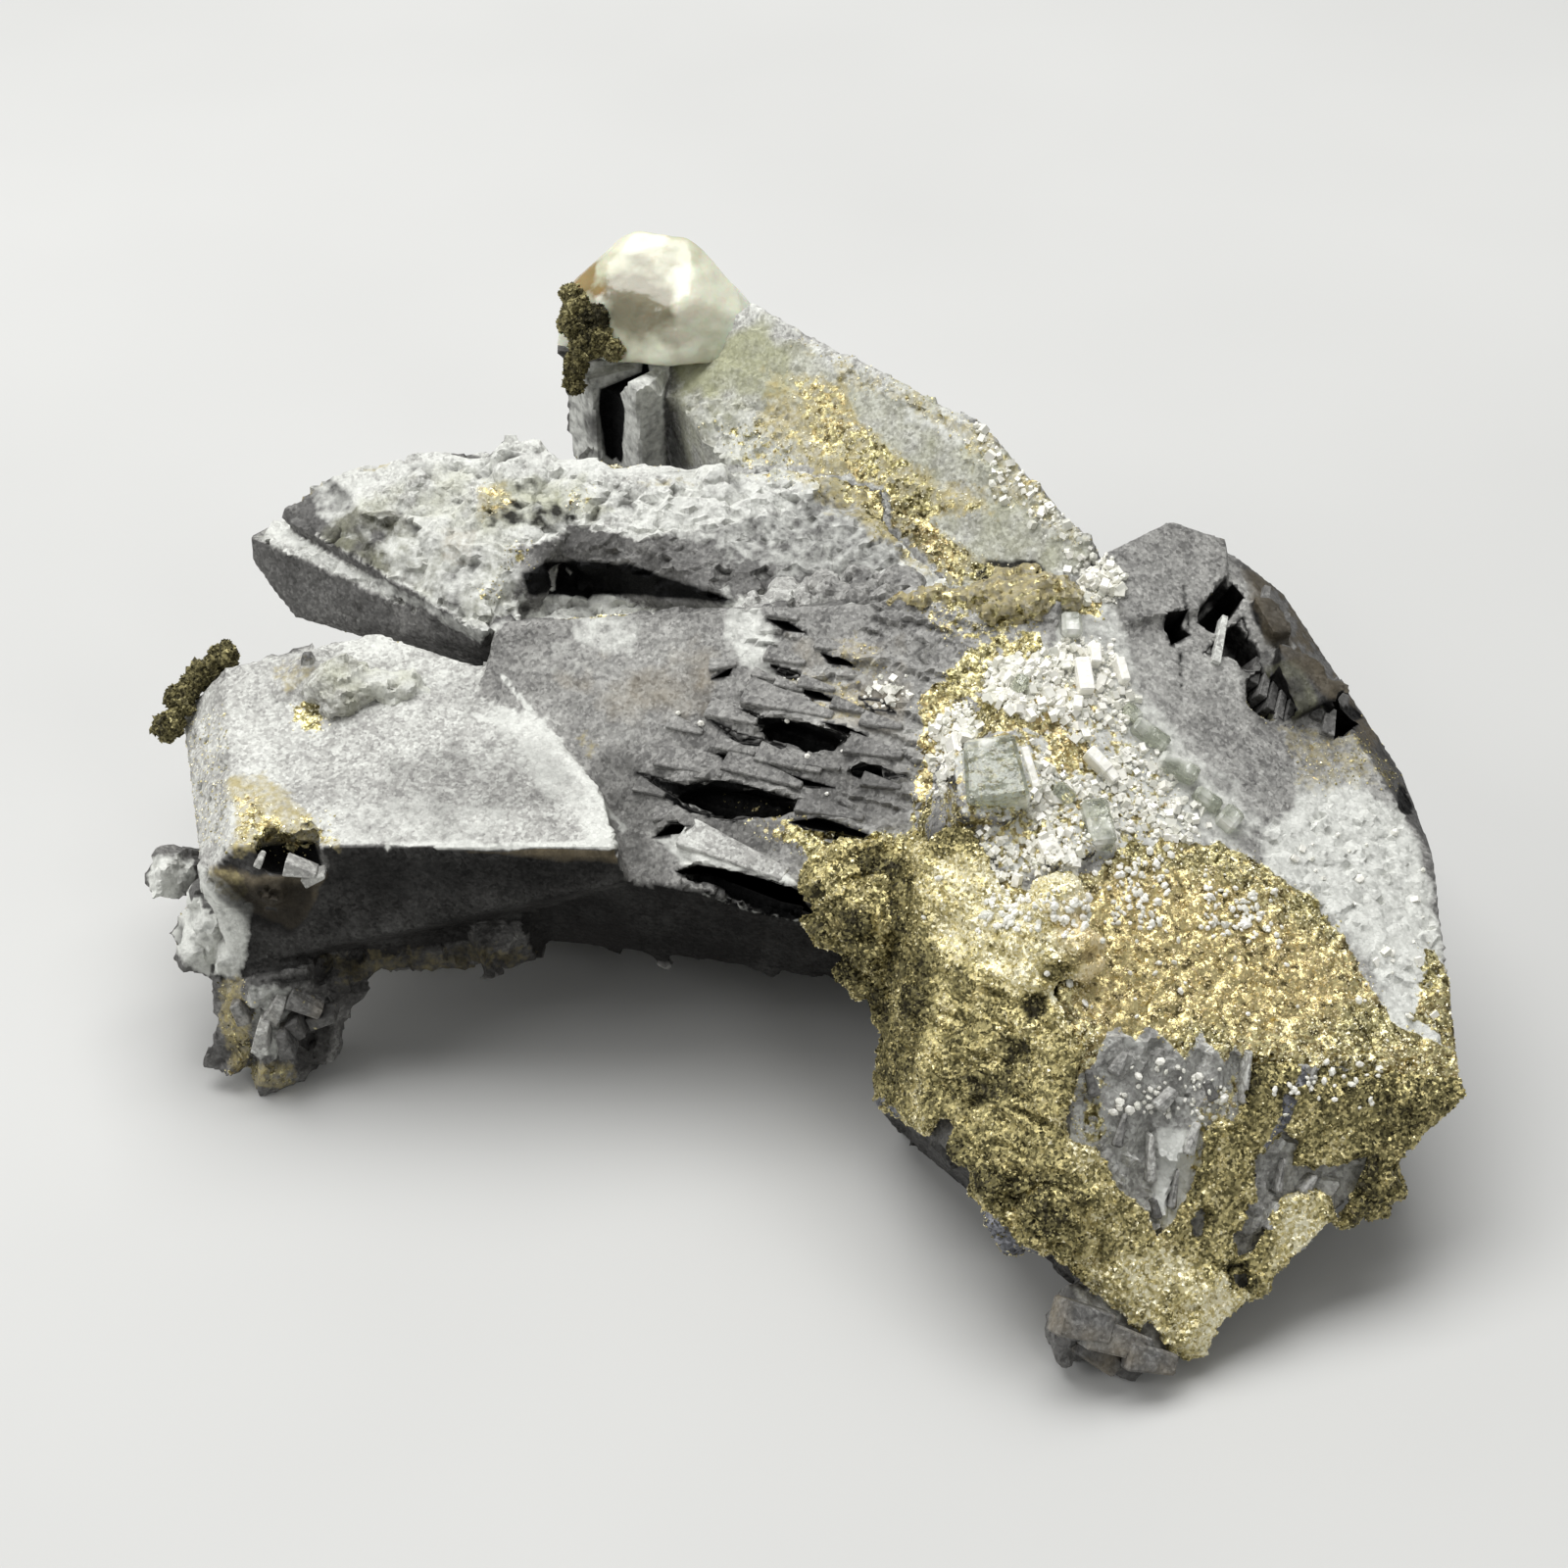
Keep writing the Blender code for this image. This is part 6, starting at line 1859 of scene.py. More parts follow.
@dataclass
class GrainField:
    """Thousands of small crystals strewn over other pieces, as one mesh.

    Args:
        name: the piece's name.
        shape: the habit of each crystal.
        count: how many there are.
        smallest: mm across the smallest.
        largest: mm across the largest.
        lean: how far they lean from the surface's own direction.
        rise: share of its size that a crystal's middle stands off the surface.
        inherits: share of the carrier's tone that they take over.
        squash: share of its height that each keeps.
        seed: of the random places and turns.
    """

    name: str
    shape: GrainShape
    count: int
    smallest: float
    largest: float
    lean: float = 0.5
    rise: float = 0.12
    seed: int = 1
    inherits: float = 1.0
    squash: float = 1.0

    def template(self) -> tuple[np.ndarray, np.ndarray]:
        """Models one crystal, one mm across.

        Returns:
            Its points and its triangles.
        """
        deselect()
        if self.shape is GrainShape.PYRAMID:
            bpy.ops.mesh.primitive_cone_add(vertices=4, radius1=0.56, depth=0.8, end_fill_type="NGON")
            model = bpy.context.object
        elif self.shape is GrainShape.BEAD:
            bpy.ops.mesh.primitive_ico_sphere_add(subdivisions=1, radius=0.5)
            model = bpy.context.object
        else:
            bpy.ops.mesh.primitive_cube_add(size=0.8)
            model = bpy.context.object
            for corner in model.data.vertices:
                corner.select = corner.co.z > 0
            bpy.ops.object.mode_set(mode="EDIT")
            bpy.ops.mesh.select_mode(type="VERT")
            bpy.ops.transform.translate(value=(0.20, 0.14, 0.0))
            bpy.ops.transform.resize(value=(0.75, 0.75, 1.0))
            bpy.ops.object.mode_set(mode="OBJECT")
        points, triangles = points_of(model) * MM, triangles_of(model).copy()
        bpy.data.objects.remove(model, do_unlink=True)
        return points, triangles

    def sites(
        self, carriers: list[bpy.types.Object], coat: str | None, dice: np.random.Generator
    ) -> tuple[np.ndarray, np.ndarray, np.ndarray]:
        """Chooses where the crystals stand, more of them where the coat is thick.

        Args:
            carriers: the pieces that carry them.
            coat: the coat that draws them, or None for all of the surface.
            dice: the random generator.

        Returns:
            The places in mm, the surface's directions there, and its tone and warm coats as two columns.
        """
        corners, weights, coats = [], [], []
        for carrier in carriers:
            points, rows = points_of(carrier), triangles_of(carrier)
            corner = points[rows]
            area = 0.5 * np.linalg.norm(
                np.cross(corner[:, 1] - corner[:, 0], corner[:, 2] - corner[:, 0]), axis=1
            )
            area *= (corner[:, :, 2].min(axis=1) > self.largest) & ~on_a_cut(corner)
            share = read_coat(carrier, coat)[rows].mean(axis=1) ** 1.5 if coat else 1.0
            bare = read_coat(carrier, "bare")[rows].mean(axis=1) if coat is None else 0.0
            corners.append(corner)
            weights.append(area * share * (1.0 - bare))
            pair = [read_coat(carrier, name)[rows].mean(axis=1) for name in ("tone", "warm")]
            coats.append(np.stack(pair, axis=1))
        corner, weight, coat_pair = np.concatenate(corners), np.concatenate(weights), np.concatenate(coats)
        chosen = dice.choice(len(weight), self.count, p=weight / weight.sum())
        first, second = dice.random((2, self.count))
        fold = first + second > 1.0
        first[fold], second[fold] = 1.0 - first[fold], 1.0 - second[fold]
        picked = corner[chosen]
        sides = picked[:, 1:] - picked[:, :1]
        places = picked[:, 0] + first[:, None] * sides[:, 0] + second[:, None] * sides[:, 1]
        return places, unit(np.cross(sides[:, 0], sides[:, 1])), coat_pair[chosen]

    def turns(self, outward: np.ndarray, dice: np.random.Generator) -> np.ndarray:
        """Stands each crystal on the surface, leaning and spun at random.

        Args:
            outward: the surface's direction at each crystal.
            dice: the random generator.

        Returns:
            One rotation matrix for each crystal.
        """
        upright = unit(outward + self.lean * dice.normal(size=outward.shape))
        across = unit(np.cross(dice.normal(size=outward.shape), upright))
        return np.stack([across, np.cross(upright, across), upright], axis=2)

    def build(self, carriers: list[bpy.types.Object], coat: str | None) -> bpy.types.Object:
        """Strews the crystals and joins them in one mesh.

        Args:
            carriers: the pieces that carry them.
            coat: the coat that draws them, or None.

        Returns:
            The joined crystals.
        """
        dice = np.random.default_rng(self.seed)
        places, outward, coats = self.sites(carriers, coat, dice)
        points, triangles = self.template()
        size = self.smallest + (self.largest - self.smallest) * dice.random(self.count) ** 2.5
        stretch = dice.uniform(0.7, 1.3, (self.count, 1, 3)) * (1.0, 1.0, self.squash)
        grains = np.einsum("nij,npj->npi", self.turns(outward, dice), points[None] * stretch) * size[:, None, None]
        grains += (places + outward * (size * self.rise)[:, None])[:, None, :]
        rows = triangles[None] + (np.arange(self.count) * len(points))[:, None, None]
        field = mesh_from(self.name, grains.reshape(-1, 3), rows.reshape(-1, 3))
        tone = self.inherits * (coats[:, 0] - 0.5) + 0.5 + 0.5 * (dice.random(self.count) - 0.35)
        write_coat(field, "tone", np.repeat(tone, len(points)))
        write_coat(field, "warm", np.repeat(coats[:, 1], len(points)))
        return field


def on_a_cut(corner: np.ndarray) -> np.ndarray:
    """Tells which triangles lie on a plane that parts two pieces of the calcite.

    Args:
        corner: the three corners of each triangle in mm.

    Returns:
        True for each triangle on such a plane.
    """
    found = np.zeros(len(corner), bool)
    for planes in CALCITE_PIECES.values():
        for point, normal in planes:
            away = (corner - np.array(point)) @ np.array(normal, float)
            found |= (np.abs(away) < 0.02).all(axis=1)
    return found


def mesh_from(name: str, points: np.ndarray, triangles: np.ndarray) -> bpy.types.Object:
    """Makes a flat-shaded object of points in mm and triangles.

    Args:
        name: the object's name.
        points: places in mm, one row each.
        triangles: rows of three point numbers.

    Returns:
        The object.
    """
    mesh = bpy.data.meshes.new(name)
    mesh.vertices.add(len(points))
    mesh.vertices.foreach_set("co", (points * MM).astype(np.float32).ravel())
    mesh.loops.add(triangles.size)
    mesh.loops.foreach_set("vertex_index", triangles.astype(np.int32).ravel())
    mesh.polygons.add(len(triangles))
    mesh.polygons.foreach_set("loop_start", np.arange(0, triangles.size, 3, dtype=np.int32))
    mesh.update(calc_edges=True)
    mesh.shade_flat()
    piece = bpy.data.objects.new(name, mesh)
    bpy.context.scene.collection.objects.link(piece)
    return piece


@dataclass(frozen=True)
class Lump:
    """One rounded knot of a nodule.

    Args:
        pixel: where the photograph shows its middle.
        depth: mm from the lens to its middle.
        radius: its size in mm.
        tone: how pale it is.
    """

    pixel: Pair
    depth: float
    radius: float
    tone: float = 0.5

    def middle(self) -> np.ndarray:
        """Its middle in mm."""
        return PHOTO.point(self.pixel, self.depth)


@dataclass
class Nodule:
    """Rounded knots grown together in one closed piece.

    Args:
        name: the piece's name.
        lumps: its knots.
        voxel: mm between the points of its surface.
        grain: mm across the small crystals on it.
        relief: mm that they stand out.
        flatten: share of its height that it keeps.
        coats: the coats that cover all of it.
    """

    name: str
    lumps: tuple[Lump, ...]
    voxel: float = 0.28
    grain: float = 0.9
    relief: float = 0.28
    flatten: float = 1.0
    coats: tuple[tuple[Finish, float], ...] = ()

    def build(self) -> bpy.types.Object:
        """Models the knots, joins them and roughens their surface.

        Returns:
            The nodule.
        """
        knots = []
        for lump in self.lumps:
            deselect()
            place = Vector(lump.middle()) * MM
            size = lump.radius * MM
            bpy.ops.mesh.primitive_ico_sphere_add(
                subdivisions=3, radius=size, location=place, scale=(1.0, 1.0, self.flatten)
            )
            bpy.ops.object.transform_apply(location=True, rotation=True, scale=True)
            knots.append(bpy.context.object)
        deselect()
        for knot in knots:
            knot.select_set(True)
        bpy.context.view_layer.objects.active = knots[0]
        bpy.ops.object.join()
        nodule = bpy.context.object
        nodule.name = self.name
        fine_mesh(nodule, self.voxel)
        points, normals = points_of(nodule), normals_of(nodule)
        height = self.relief * Cells.around(points, self.grain, 131).facets()
        height += 0.5 * self.relief * layered(points, 2.5 * self.grain, 133, 3)
        middles = np.array([lump.middle() for lump in self.lumps])
        nearest = ((points[:, None] - middles[None]) ** 2).sum(axis=2).argmin(axis=1)
        # The lower points of the relief are painted darker: painted shade in the hollows.
        tone = np.array([lump.tone for lump in self.lumps])[nearest] + 0.6 * np.minimum(height, 0.0)
        shaped = points + normals * height[:, None]
        shaped[:, 2] = np.maximum(shaped[:, 2], 0.0)
        move_points(nodule, shaped)
        write_coat(nodule, "tone", tone)
        for finish, share in self.coats:
            write_coat(nodule, finish.value, np.full(len(points), share))
        activate(nodule)
        bpy.ops.object.shade_smooth_by_angle(angle=math.radians(CREASE))
        return nodule


@dataclass(frozen=True)
class Crystal:
    """One small crystal or flake that lies on a face.

    Args:
        pixel: where the photograph shows its middle.
        size: its length, width and thickness in mm.
        turn: degrees that its length turns from level to uphill.
        lean: degrees that its top tips uphill, so that its lower edge stands off the face.
        taper: share of its footprint that its top keeps.
        point: share of its width that its far end keeps.
        tone: how pale it is.
        depth: mm from the lens to its middle, or 0 where it lies on the face.
    """

    pixel: Pair
    size: Triple
    turn: float
    lean: float = 0.0
    taper: float = 0.6
    point: float = 1.0
    tone: float = 0.7
    depth: float = 0.0


@dataclass
class CrystalCluster:
    """Small crystals or flakes on one face, as one mesh.

    Args:
        name: the piece's name.
        region: the face that carries them.
        crystals: each of them.
        seat: share of a crystal's thickness that is sunk in the face.
        wear: mm off its edges.
        coats: the coats that cover all of them.
    """

    name: str
    region: Region
    crystals: tuple[Crystal, ...]
    seat: float = 0.45
    wear: float = 0.09
    coats: tuple[tuple[Finish, float], ...] = ()

    def model(self, crystal: Crystal) -> bpy.types.Object:
        """Models one crystal: a block with a narrower top and end, its edges worn.

        Args:
            crystal: its sizes and place.

        Returns:
            The crystal's object.
        """
        face = FACES[self.region]
        across, uphill, outward = face.axes()
        turn, lean = math.radians(crystal.turn), math.radians(crystal.lean)
        along = across * math.cos(turn) + uphill * math.sin(turn)
        side = np.cross(outward, along)
        upright = outward * math.cos(lean) + side * math.sin(lean)
        side = np.cross(upright, along)
        deselect()
        bpy.ops.mesh.primitive_cube_add(size=MM)
        piece = bpy.context.object
        for axis, scale in ((2, (crystal.taper, crystal.taper, 1.0)), (0, (1.0, crystal.point, 1.0))):
            for corner in piece.data.vertices:
                corner.select = corner.co[axis] > 0
            bpy.ops.object.mode_set(mode="EDIT")
            bpy.ops.mesh.select_mode(type="VERT")
            bpy.ops.transform.resize(value=scale)
            bpy.ops.mesh.select_all(action="DESELECT")
            bpy.ops.object.mode_set(mode="OBJECT")
        columns = np.stack(
            [along * crystal.size[0], side * crystal.size[1], upright * crystal.size[2]], axis=1
        )
        place = face.at_pixel(crystal.pixel) + outward * crystal.size[2] * (0.5 - self.seat)
        if crystal.depth:
            place = PHOTO.point(crystal.pixel, crystal.depth)
        piece.data.transform(Matrix.Translation(Vector(place) * MM) @ Matrix(columns.tolist()).to_4x4())
        activate(piece)
        bpy.ops.object.mode_set(mode="EDIT")
        bpy.ops.mesh.select_all(action="SELECT")
        bpy.ops.mesh.bevel(offset=self.wear * MM, segments=1, affect="EDGES")
        bpy.ops.object.mode_set(mode="OBJECT")
        write_coat(piece, "tone", np.full(len(piece.data.vertices), crystal.tone))
        return piece

    def build(self) -> bpy.types.Object:
        """Models every crystal and joins them.

        Returns:
            The joined crystals.
        """
        pieces = [self.model(crystal) for crystal in self.crystals]
        deselect()
        for piece in pieces:
            piece.select_set(True)
        bpy.context.view_layer.objects.active = pieces[0]
        bpy.ops.object.join()
        cluster = bpy.context.object
        cluster.name = self.name
        cluster.data.shade_flat()
        for finish, share in self.coats:
            write_coat(cluster, finish.value, np.full(len(cluster.data.vertices), share))
        return cluster


@dataclass
class SlotCutter:
    """Sharp-edged slots cut in a face.

    Args:
        region: the face.
        outlines: each slot's corners in the photograph's pixels.
        depth: mm that the slots go in.
        lean: degrees that they run uphill as they go in, under the upper lip.
        clearance: mm that the cutter stands off the plain face, past its relief.
    """

    region: Region
    outlines: tuple[Outline, ...]
    depth: float = 2.6
    lean: float = 25.0
    clearance: float = 1.3

    def cut(self, body: bpy.types.Object) -> None:
        """Cuts every slot out of the body.

        Args:
            body: the piece that is cut.
        """
        face = FACES[self.region]
        _, uphill, outward = face.axes()
        inward = uphill * math.tan(math.radians(self.lean)) - outward
        points, faces = [], []
        for outline in self.outlines:
            rim = np.array([face.at_pixel(corner) for corner in outline])
            start, count = len(points), len(rim)
            points += [*(rim - inward * self.clearance), *(rim + inward * self.depth)]
            faces.append(tuple(range(start, start + count)))
            faces.append(tuple(range(start + 2 * count - 1, start + count - 1, -1)))
            for corner in range(count):
                after = (corner + 1) % count
                faces.append((start + corner, start + count + corner, start + count + after, start + after))
        mesh = bpy.data.meshes.new("slot_cutter")
        mesh.from_pydata([tuple(point * MM) for point in points], [], faces)
        cutter = bpy.data.objects.new("slot_cutter", mesh)
        bpy.context.scene.collection.objects.link(cutter)
        activate(cutter)
        bpy.ops.object.mode_set(mode="EDIT")
        bpy.ops.mesh.select_all(action="SELECT")
        bpy.ops.mesh.normals_make_consistent(inside=False)
        bpy.ops.object.mode_set(mode="OBJECT")
        activate(body)
        slots = body.modifiers.new("slots", "BOOLEAN")
        slots.operation = "DIFFERENCE"
        slots.solver = "FAST"
        slots.object = cutter
        bpy.ops.object.modifier_apply(modifier=slots.name)
        bpy.data.objects.remove(cutter, do_unlink=True)


@dataclass
class MilkyCap:
    """The milky crystal on the back crystal's tip.

    Args:
        facets: bearing, tilt and distance in mm of each face.
        block: mm across the block that it is cut from.
        voxel: mm between the points of its surface.
        smoothing: rounds of smoothing that wear its edges.
        crease: degrees over which an edge is sharp.
        zones: its clouds, stain and painted highlights.
    """

    facets: tuple[Triple, ...] = (
        (-95, 66, 4.0), (-30, 50, 5.0), (-150, 44, 5.4), (-108, 24, 4.8), (-62, 20, 5.6), (-8, 20, 6.9),
        (178, 14, 6.8), (-145, 5, 6.2), (80, 30, 4.4), (30, 34, 5.4), (135, 25, 5.6), (-90, -70, 4.2),
        (90, -30, 5.0), (-12, 42, 5.9), (160, 46, 5.4),
    )
    block: float = 30.0
    voxel: float = 0.25
    smoothing: int = 34
    crease: float = 45.0
    zones: tuple[Zone, ...] = (
        Zone(DARK, ((612, 285), (640, 262), (668, 268), (690, 300), (680, 350), (640, 350), (618, 320)), 0.85, 1.3, 1.6),
        Zone(DARK, ((655, 245), (690, 250), (700, 275), (670, 272)), 0.45, 0.6, 1.0),
        Zone(WARM, ((574, 268), (600, 252), (612, 300), (580, 312)), 0.9, 0.6, 0.8),
        # The two frost zones are painted highlights.
        Zone(FROST, ((690, 275), (740, 265), (780, 318), (740, 340), (690, 330)), 0.9, 0.8, 0.6),
        Zone(FROST, ((615, 258), (655, 230), (690, 232), (676, 250), (640, 258)), 0.8, 0.4, 0.4),
    )

    def build(self) -> bpy.types.Object:
        """Cuts the crystal from a block, face by face, and rounds it a little.

        Returns:
            The crystal.
        """
        deselect()
        middle = Vector(np.array(CAP_CENTRE) + FRAME_SHIFT) * MM
        bpy.ops.mesh.primitive_cube_add(size=self.block * MM, location=middle)
        cap = bpy.context.object
        cap.name = "milky_tip"
        bpy.ops.object.transform_apply(location=True, rotation=True, scale=True)
        bpy.ops.object.mode_set(mode="EDIT")
        for bearing, tilt, distance in self.facets:
            outward = Vector(Face(CAP_CENTRE, bearing, tilt, distance).axes()[2])
            bpy.ops.mesh.select_all(action="SELECT")
            bpy.ops.mesh.bisect(
                plane_co=middle + outward * distance * MM, plane_no=outward, use_fill=True, clear_outer=True
            )
        bpy.ops.object.mode_set(mode="OBJECT")
        fine_mesh(cap, self.voxel)
        smooth = cap.modifiers.new("worn_edges", "SMOOTH")
        smooth.iterations = self.smoothing
        bpy.ops.object.modifier_apply(modifier=smooth.name)
        points, normals = points_of(cap), normals_of(cap)
        height = 0.35 * layered(points, 5.0, 121, 3) + 0.05 * noise(points, 1.2, 123)
        move_points(cap, points + normals * height[:, None])
        coats = paint(self.zones, points, np.zeros(len(points), int), PHOTO.shows(points, normals))
        for finish in (DARK, WARM, FROST):
            write_coat(cap, finish.value, coats[finish])
        bpy.ops.object.shade_smooth_by_angle(angle=math.radians(self.crease))
        return cap


@dataclass
class Studio:
    """A pale plain floor and soft light from above and behind, as in the photograph.

    Args:
        floor_size: metres across the floor.
        floor_colour: of the floor.
        floor_mottle: a shade that lies on it in soft patches.
        mottle_size: mm across a patch.
        sky: the colour of the world.
        sky_strength: how bright the world is.
    """

    floor_size: float = 6.0
    floor_colour: str = "#c6c6c4"
    floor_mottle: str = "#c0c0be"
    mottle_size: float = 40.0
    sky: Triple = (0.90, 0.91, 0.90)
    sky_strength: float = 0.35

    def light(self, name: str, place: Triple, size: Pair, power: float) -> None:
        """Adds a soft rectangular light that looks at the cluster.

        Args:
            name: the light's name.
            place: in metres.
            size: metres across and along.
            power: in watts.
        """
        data = bpy.data.lights.new(name, "AREA")
        data.shape = "RECTANGLE"
        data.size, data.size_y = size
        data.energy = power
        lamp = bpy.data.objects.new(name, data)
        lamp.location = place
        lamp.rotation_euler = (Vector((0.0, 0.0, 0.015)) - Vector(place)).to_track_quat("-Z", "Y").to_euler()
        bpy.context.scene.collection.objects.link(lamp)

    def build(self) -> None:
        """Sets up floor, lights and world."""
        deselect()
        bpy.ops.mesh.primitive_plane_add(size=self.floor_size, location=(0.0, 0.0, -0.00005))
        floor = bpy.context.object
        floor.name = "floor"
        make = Mineral("matt_floor")
        tone = make.colours(self.floor_colour, (make.mottle(self.mottle_size, 0.3, 0.7), self.floor_mottle))
        floor.data.materials.append(make.finish({"Base Color": tone, "Roughness": 0.75}))
        self.light("overhead", (-0.06, 0.14, 0.55), (0.60, 0.40), 4.0)
        self.light("left_fill", (-0.55, -0.16, 0.32), (0.25, 0.35), 1.3)
        self.light("front_glint", (0.30, -0.55, 0.45), (0.15, 0.15), 0.4)
        world = bpy.data.worlds.new("studio")
        world.use_nodes = True
        background = world.node_tree.nodes["Background"]
        background.inputs["Color"].default_value = (*self.sky, 1.0)
        background.inputs["Strength"].default_value = self.sky_strength
        bpy.context.scene.world = world
        bpy.context.scene.view_settings.view_transform = "Standard"


CENTRE_SLOTS = SlotCutter(
    Region.CENTRE_BROAD,
    (
        ((758, 724), (790, 733), (830, 739), (868, 753), (850, 764), (815, 762), (781, 748)),
        ((724, 734), (752, 748), (778, 755), (800, 763), (752, 757)),
        ((866, 786), (882, 779), (926, 791), (894, 797)),
        ((776, 780), (806, 791), (852, 804), (808, 801)),
        ((650, 788), (700, 801), (724, 796), (751, 797), (790, 809), (834, 821), (800, 829), (745, 838), (706, 827)),
        ((668, 854), (685, 841), (707, 842), (692, 851)),
        ((690, 889), (709, 884), (760, 891), (818, 908), (824, 936), (784, 928), (730, 907)),
        ((806, 839), (838, 833), (888, 850), (880, 857), (840, 850)),
        ((786, 679), (806, 684), (824, 693), (802, 692)),
        ((726, 693), (748, 680), (743, 690)),
        ((784, 632), (804, 635), (822, 646), (800, 643)),
        ((810, 702), (836, 706), (854, 717), (830, 713)),
        ((838, 667), (858, 671), (870, 681), (848, 677)),
        ((790, 704), (814, 711), (828, 723), (804, 717)),
        ((730, 769), (758, 775), (780, 787), (750, 782)),
        ((844, 736), (866, 740), (884, 750), (862, 748)),
        ((876, 712), (898, 716), (914, 727), (892, 724)),
        ((736, 812), (770, 806), (812, 818), (780, 822)),
    ),
)
BLOCK_NOTCHES = SlotCutter(
    Region.BLOCK_TOP,
    (
        ((1188, 630), (1209, 626), (1206, 638), (1214, 648), (1195, 658)),
        ((1222, 634), (1258, 596), (1270, 609), (1235, 643)),
        ((1228, 666), (1268, 630), (1289, 684), (1270, 684), (1256, 668)),
        ((1284, 700), (1298, 690), (1326, 726), (1310, 737)),
        ((1318, 690), (1330, 684), (1344, 706), (1336, 712)),
        ((1349, 716), (1366, 710), (1397, 728), (1362, 754)),
    ),
    depth=3.4,
    lean=0.0,
)
CALCITE_PIECES = {
    "calcite_front_crystals": (((0.0, 4.0, 0.0), (0, 1, 0)),),
    "calcite_middle_and_back": (((0.0, 4.0, 0.0), (0, -1, 0)),),
}
CLEAR_CRYSTALS = (
    Crystal((1014, 798), (7.4, 6.8, 4.4), 66, 22, 0.62, 0.8),
    Crystal((1118, 845), (5.2, 2.8, 2.4), 70, 8, 0.65),
    Crystal((1252, 838), (2.9, 2.6, 2.0), 20, 0, 0.55),
    Crystal((1172, 752), (4.6, 2.0, 1.7), 118, 0, 0.6),
    Crystal((1200, 786), (4.8, 2.2, 1.8), 128, 0, 0.6),
    Crystal((1230, 818), (3.4, 1.8, 1.6), 120, 0, 0.6),
    Crystal((1154, 730), (2.4, 1.6, 1.5), 100, 0, 0.6),
    Crystal((1092, 640), (2.6, 2.0, 1.6), 60, 10, 0.7),
    Crystal((1040, 700), (2.2, 1.6, 1.5), 30, 10, 0.6),
    Crystal((1084, 812), (2.6, 1.8, 1.7), 110, 10, 0.6),
)
WHITE_COLUMNS = (
    Crystal((1104, 694), (4.6, 1.9, 2.0), 66, 8, 0.55),
    Crystal((1116, 672), (3.0, 1.4, 1.8), 60, 8, 0.5),
    Crystal((1142, 688), (3.6, 1.3, 1.7), 72, 0, 0.5),
    Crystal((1118, 780), (3.2, 1.4, 2.0), 104, 8, 0.6),
    Crystal((1128, 790), (3.0, 1.1, 1.8), 96, 8, 0.6),
    Crystal((1070, 872), (3.2, 2.0, 2.0), 85, 10, 0.6),
    Crystal((1088, 876), (2.8, 1.5, 1.8), 75, 10, 0.6),
    Crystal((1134, 858), (2.4, 0.8, 1.3), 70, 0, 0.5),
    Crystal((1098, 722), (2.0, 1.3, 1.7), 50, 10, 0.5),
    Crystal((1126, 600), (1.7, 1.2, 1.3), 40, 10, 0.5),
    Crystal((1110, 592), (1.3, 1.0, 1.1), 80, 10, 0.5),
    Crystal((972, 762), (2.6, 0.9, 1.4), 70, 0, 0.5),
    Crystal((1052, 790), (4.4, 0.8, 2.4), 74, 24, 0.7),
)
CENTRE_SCALES = (
    Crystal((806, 719), (7.4, 2.6, 0.8), -3, 17, 0.9, 0.25, 0.50),
    Crystal((748, 730), (4.2, 1.8, 0.6), -4, 15, 0.9, 0.3, 0.56),
    Crystal((893, 766), (4.6, 2.0, 0.7), 0, 15, 0.9, 0.3, 0.42),
    Crystal((806, 778), (5.4, 1.8, 0.6), -4, 14, 0.9, 0.25, 0.50),
    Crystal((706, 780), (5.6, 2.4, 0.7), -4, 14, 0.9, 0.35, 0.50),
    Crystal((780, 789), (6.6, 2.2, 0.7), -6, 15, 0.9, 0.25, 0.48),
    Crystal((684, 832), (2.6, 1.4, 0.5), 10, 16, 0.9, 0.4, 0.45),
    Crystal((750, 872), (9.0, 2.6, 0.8), -9, 16, 0.9, 0.45, 0.80),
    Crystal((848, 828), (5.4, 1.8, 0.7), 0, 15, 0.9, 0.3, 0.42),
    Crystal((800, 628), (2.6, 1.2, 0.5), -4, 14, 0.9, 0.3, 0.52),
    Crystal((802, 672), (3.4, 1.4, 0.5), -2, 14, 0.9, 0.3, 0.52),
    Crystal((738, 678), (2.2, 1.2, 0.4), 16, 12, 0.9, 0.4, 0.52),
    Crystal((834, 700), (3.0, 1.2, 0.5), -2, 14, 0.9, 0.3, 0.46),
    Crystal((850, 660), (2.8, 1.3, 0.5), -2, 14, 0.9, 0.3, 0.48),
    Crystal((806, 700), (2.4, 1.0, 0.4), -6, 14, 0.9, 0.3, 0.50),
    Crystal((752, 764), (3.2, 1.3, 0.5), -4, 14, 0.9, 0.3, 0.52),
    Crystal((900, 738), (3.4, 1.4, 0.5), 0, 14, 0.9, 0.3, 0.46),
    Crystal((866, 722), (2.8, 1.2, 0.5), -4, 14, 0.9, 0.3, 0.42),
    Crystal((840, 780), (3.0, 1.3, 0.5), -2, 14, 0.9, 0.3, 0.44),
    Crystal((700, 742), (3.0, 1.4, 0.4), -6, 12, 0.9, 0.3, 0.56),
    Crystal((900, 800), (3.2, 1.3, 0.5), 0, 14, 0.9, 0.3, 0.36),
    Crystal((780, 690), (2.0, 0.9, 0.4), -6, 14, 0.9, 0.3, 0.52),
    Crystal((664, 806), (2.6, 1.4, 0.4), -8, 12, 0.9, 0.3, 0.36),
)
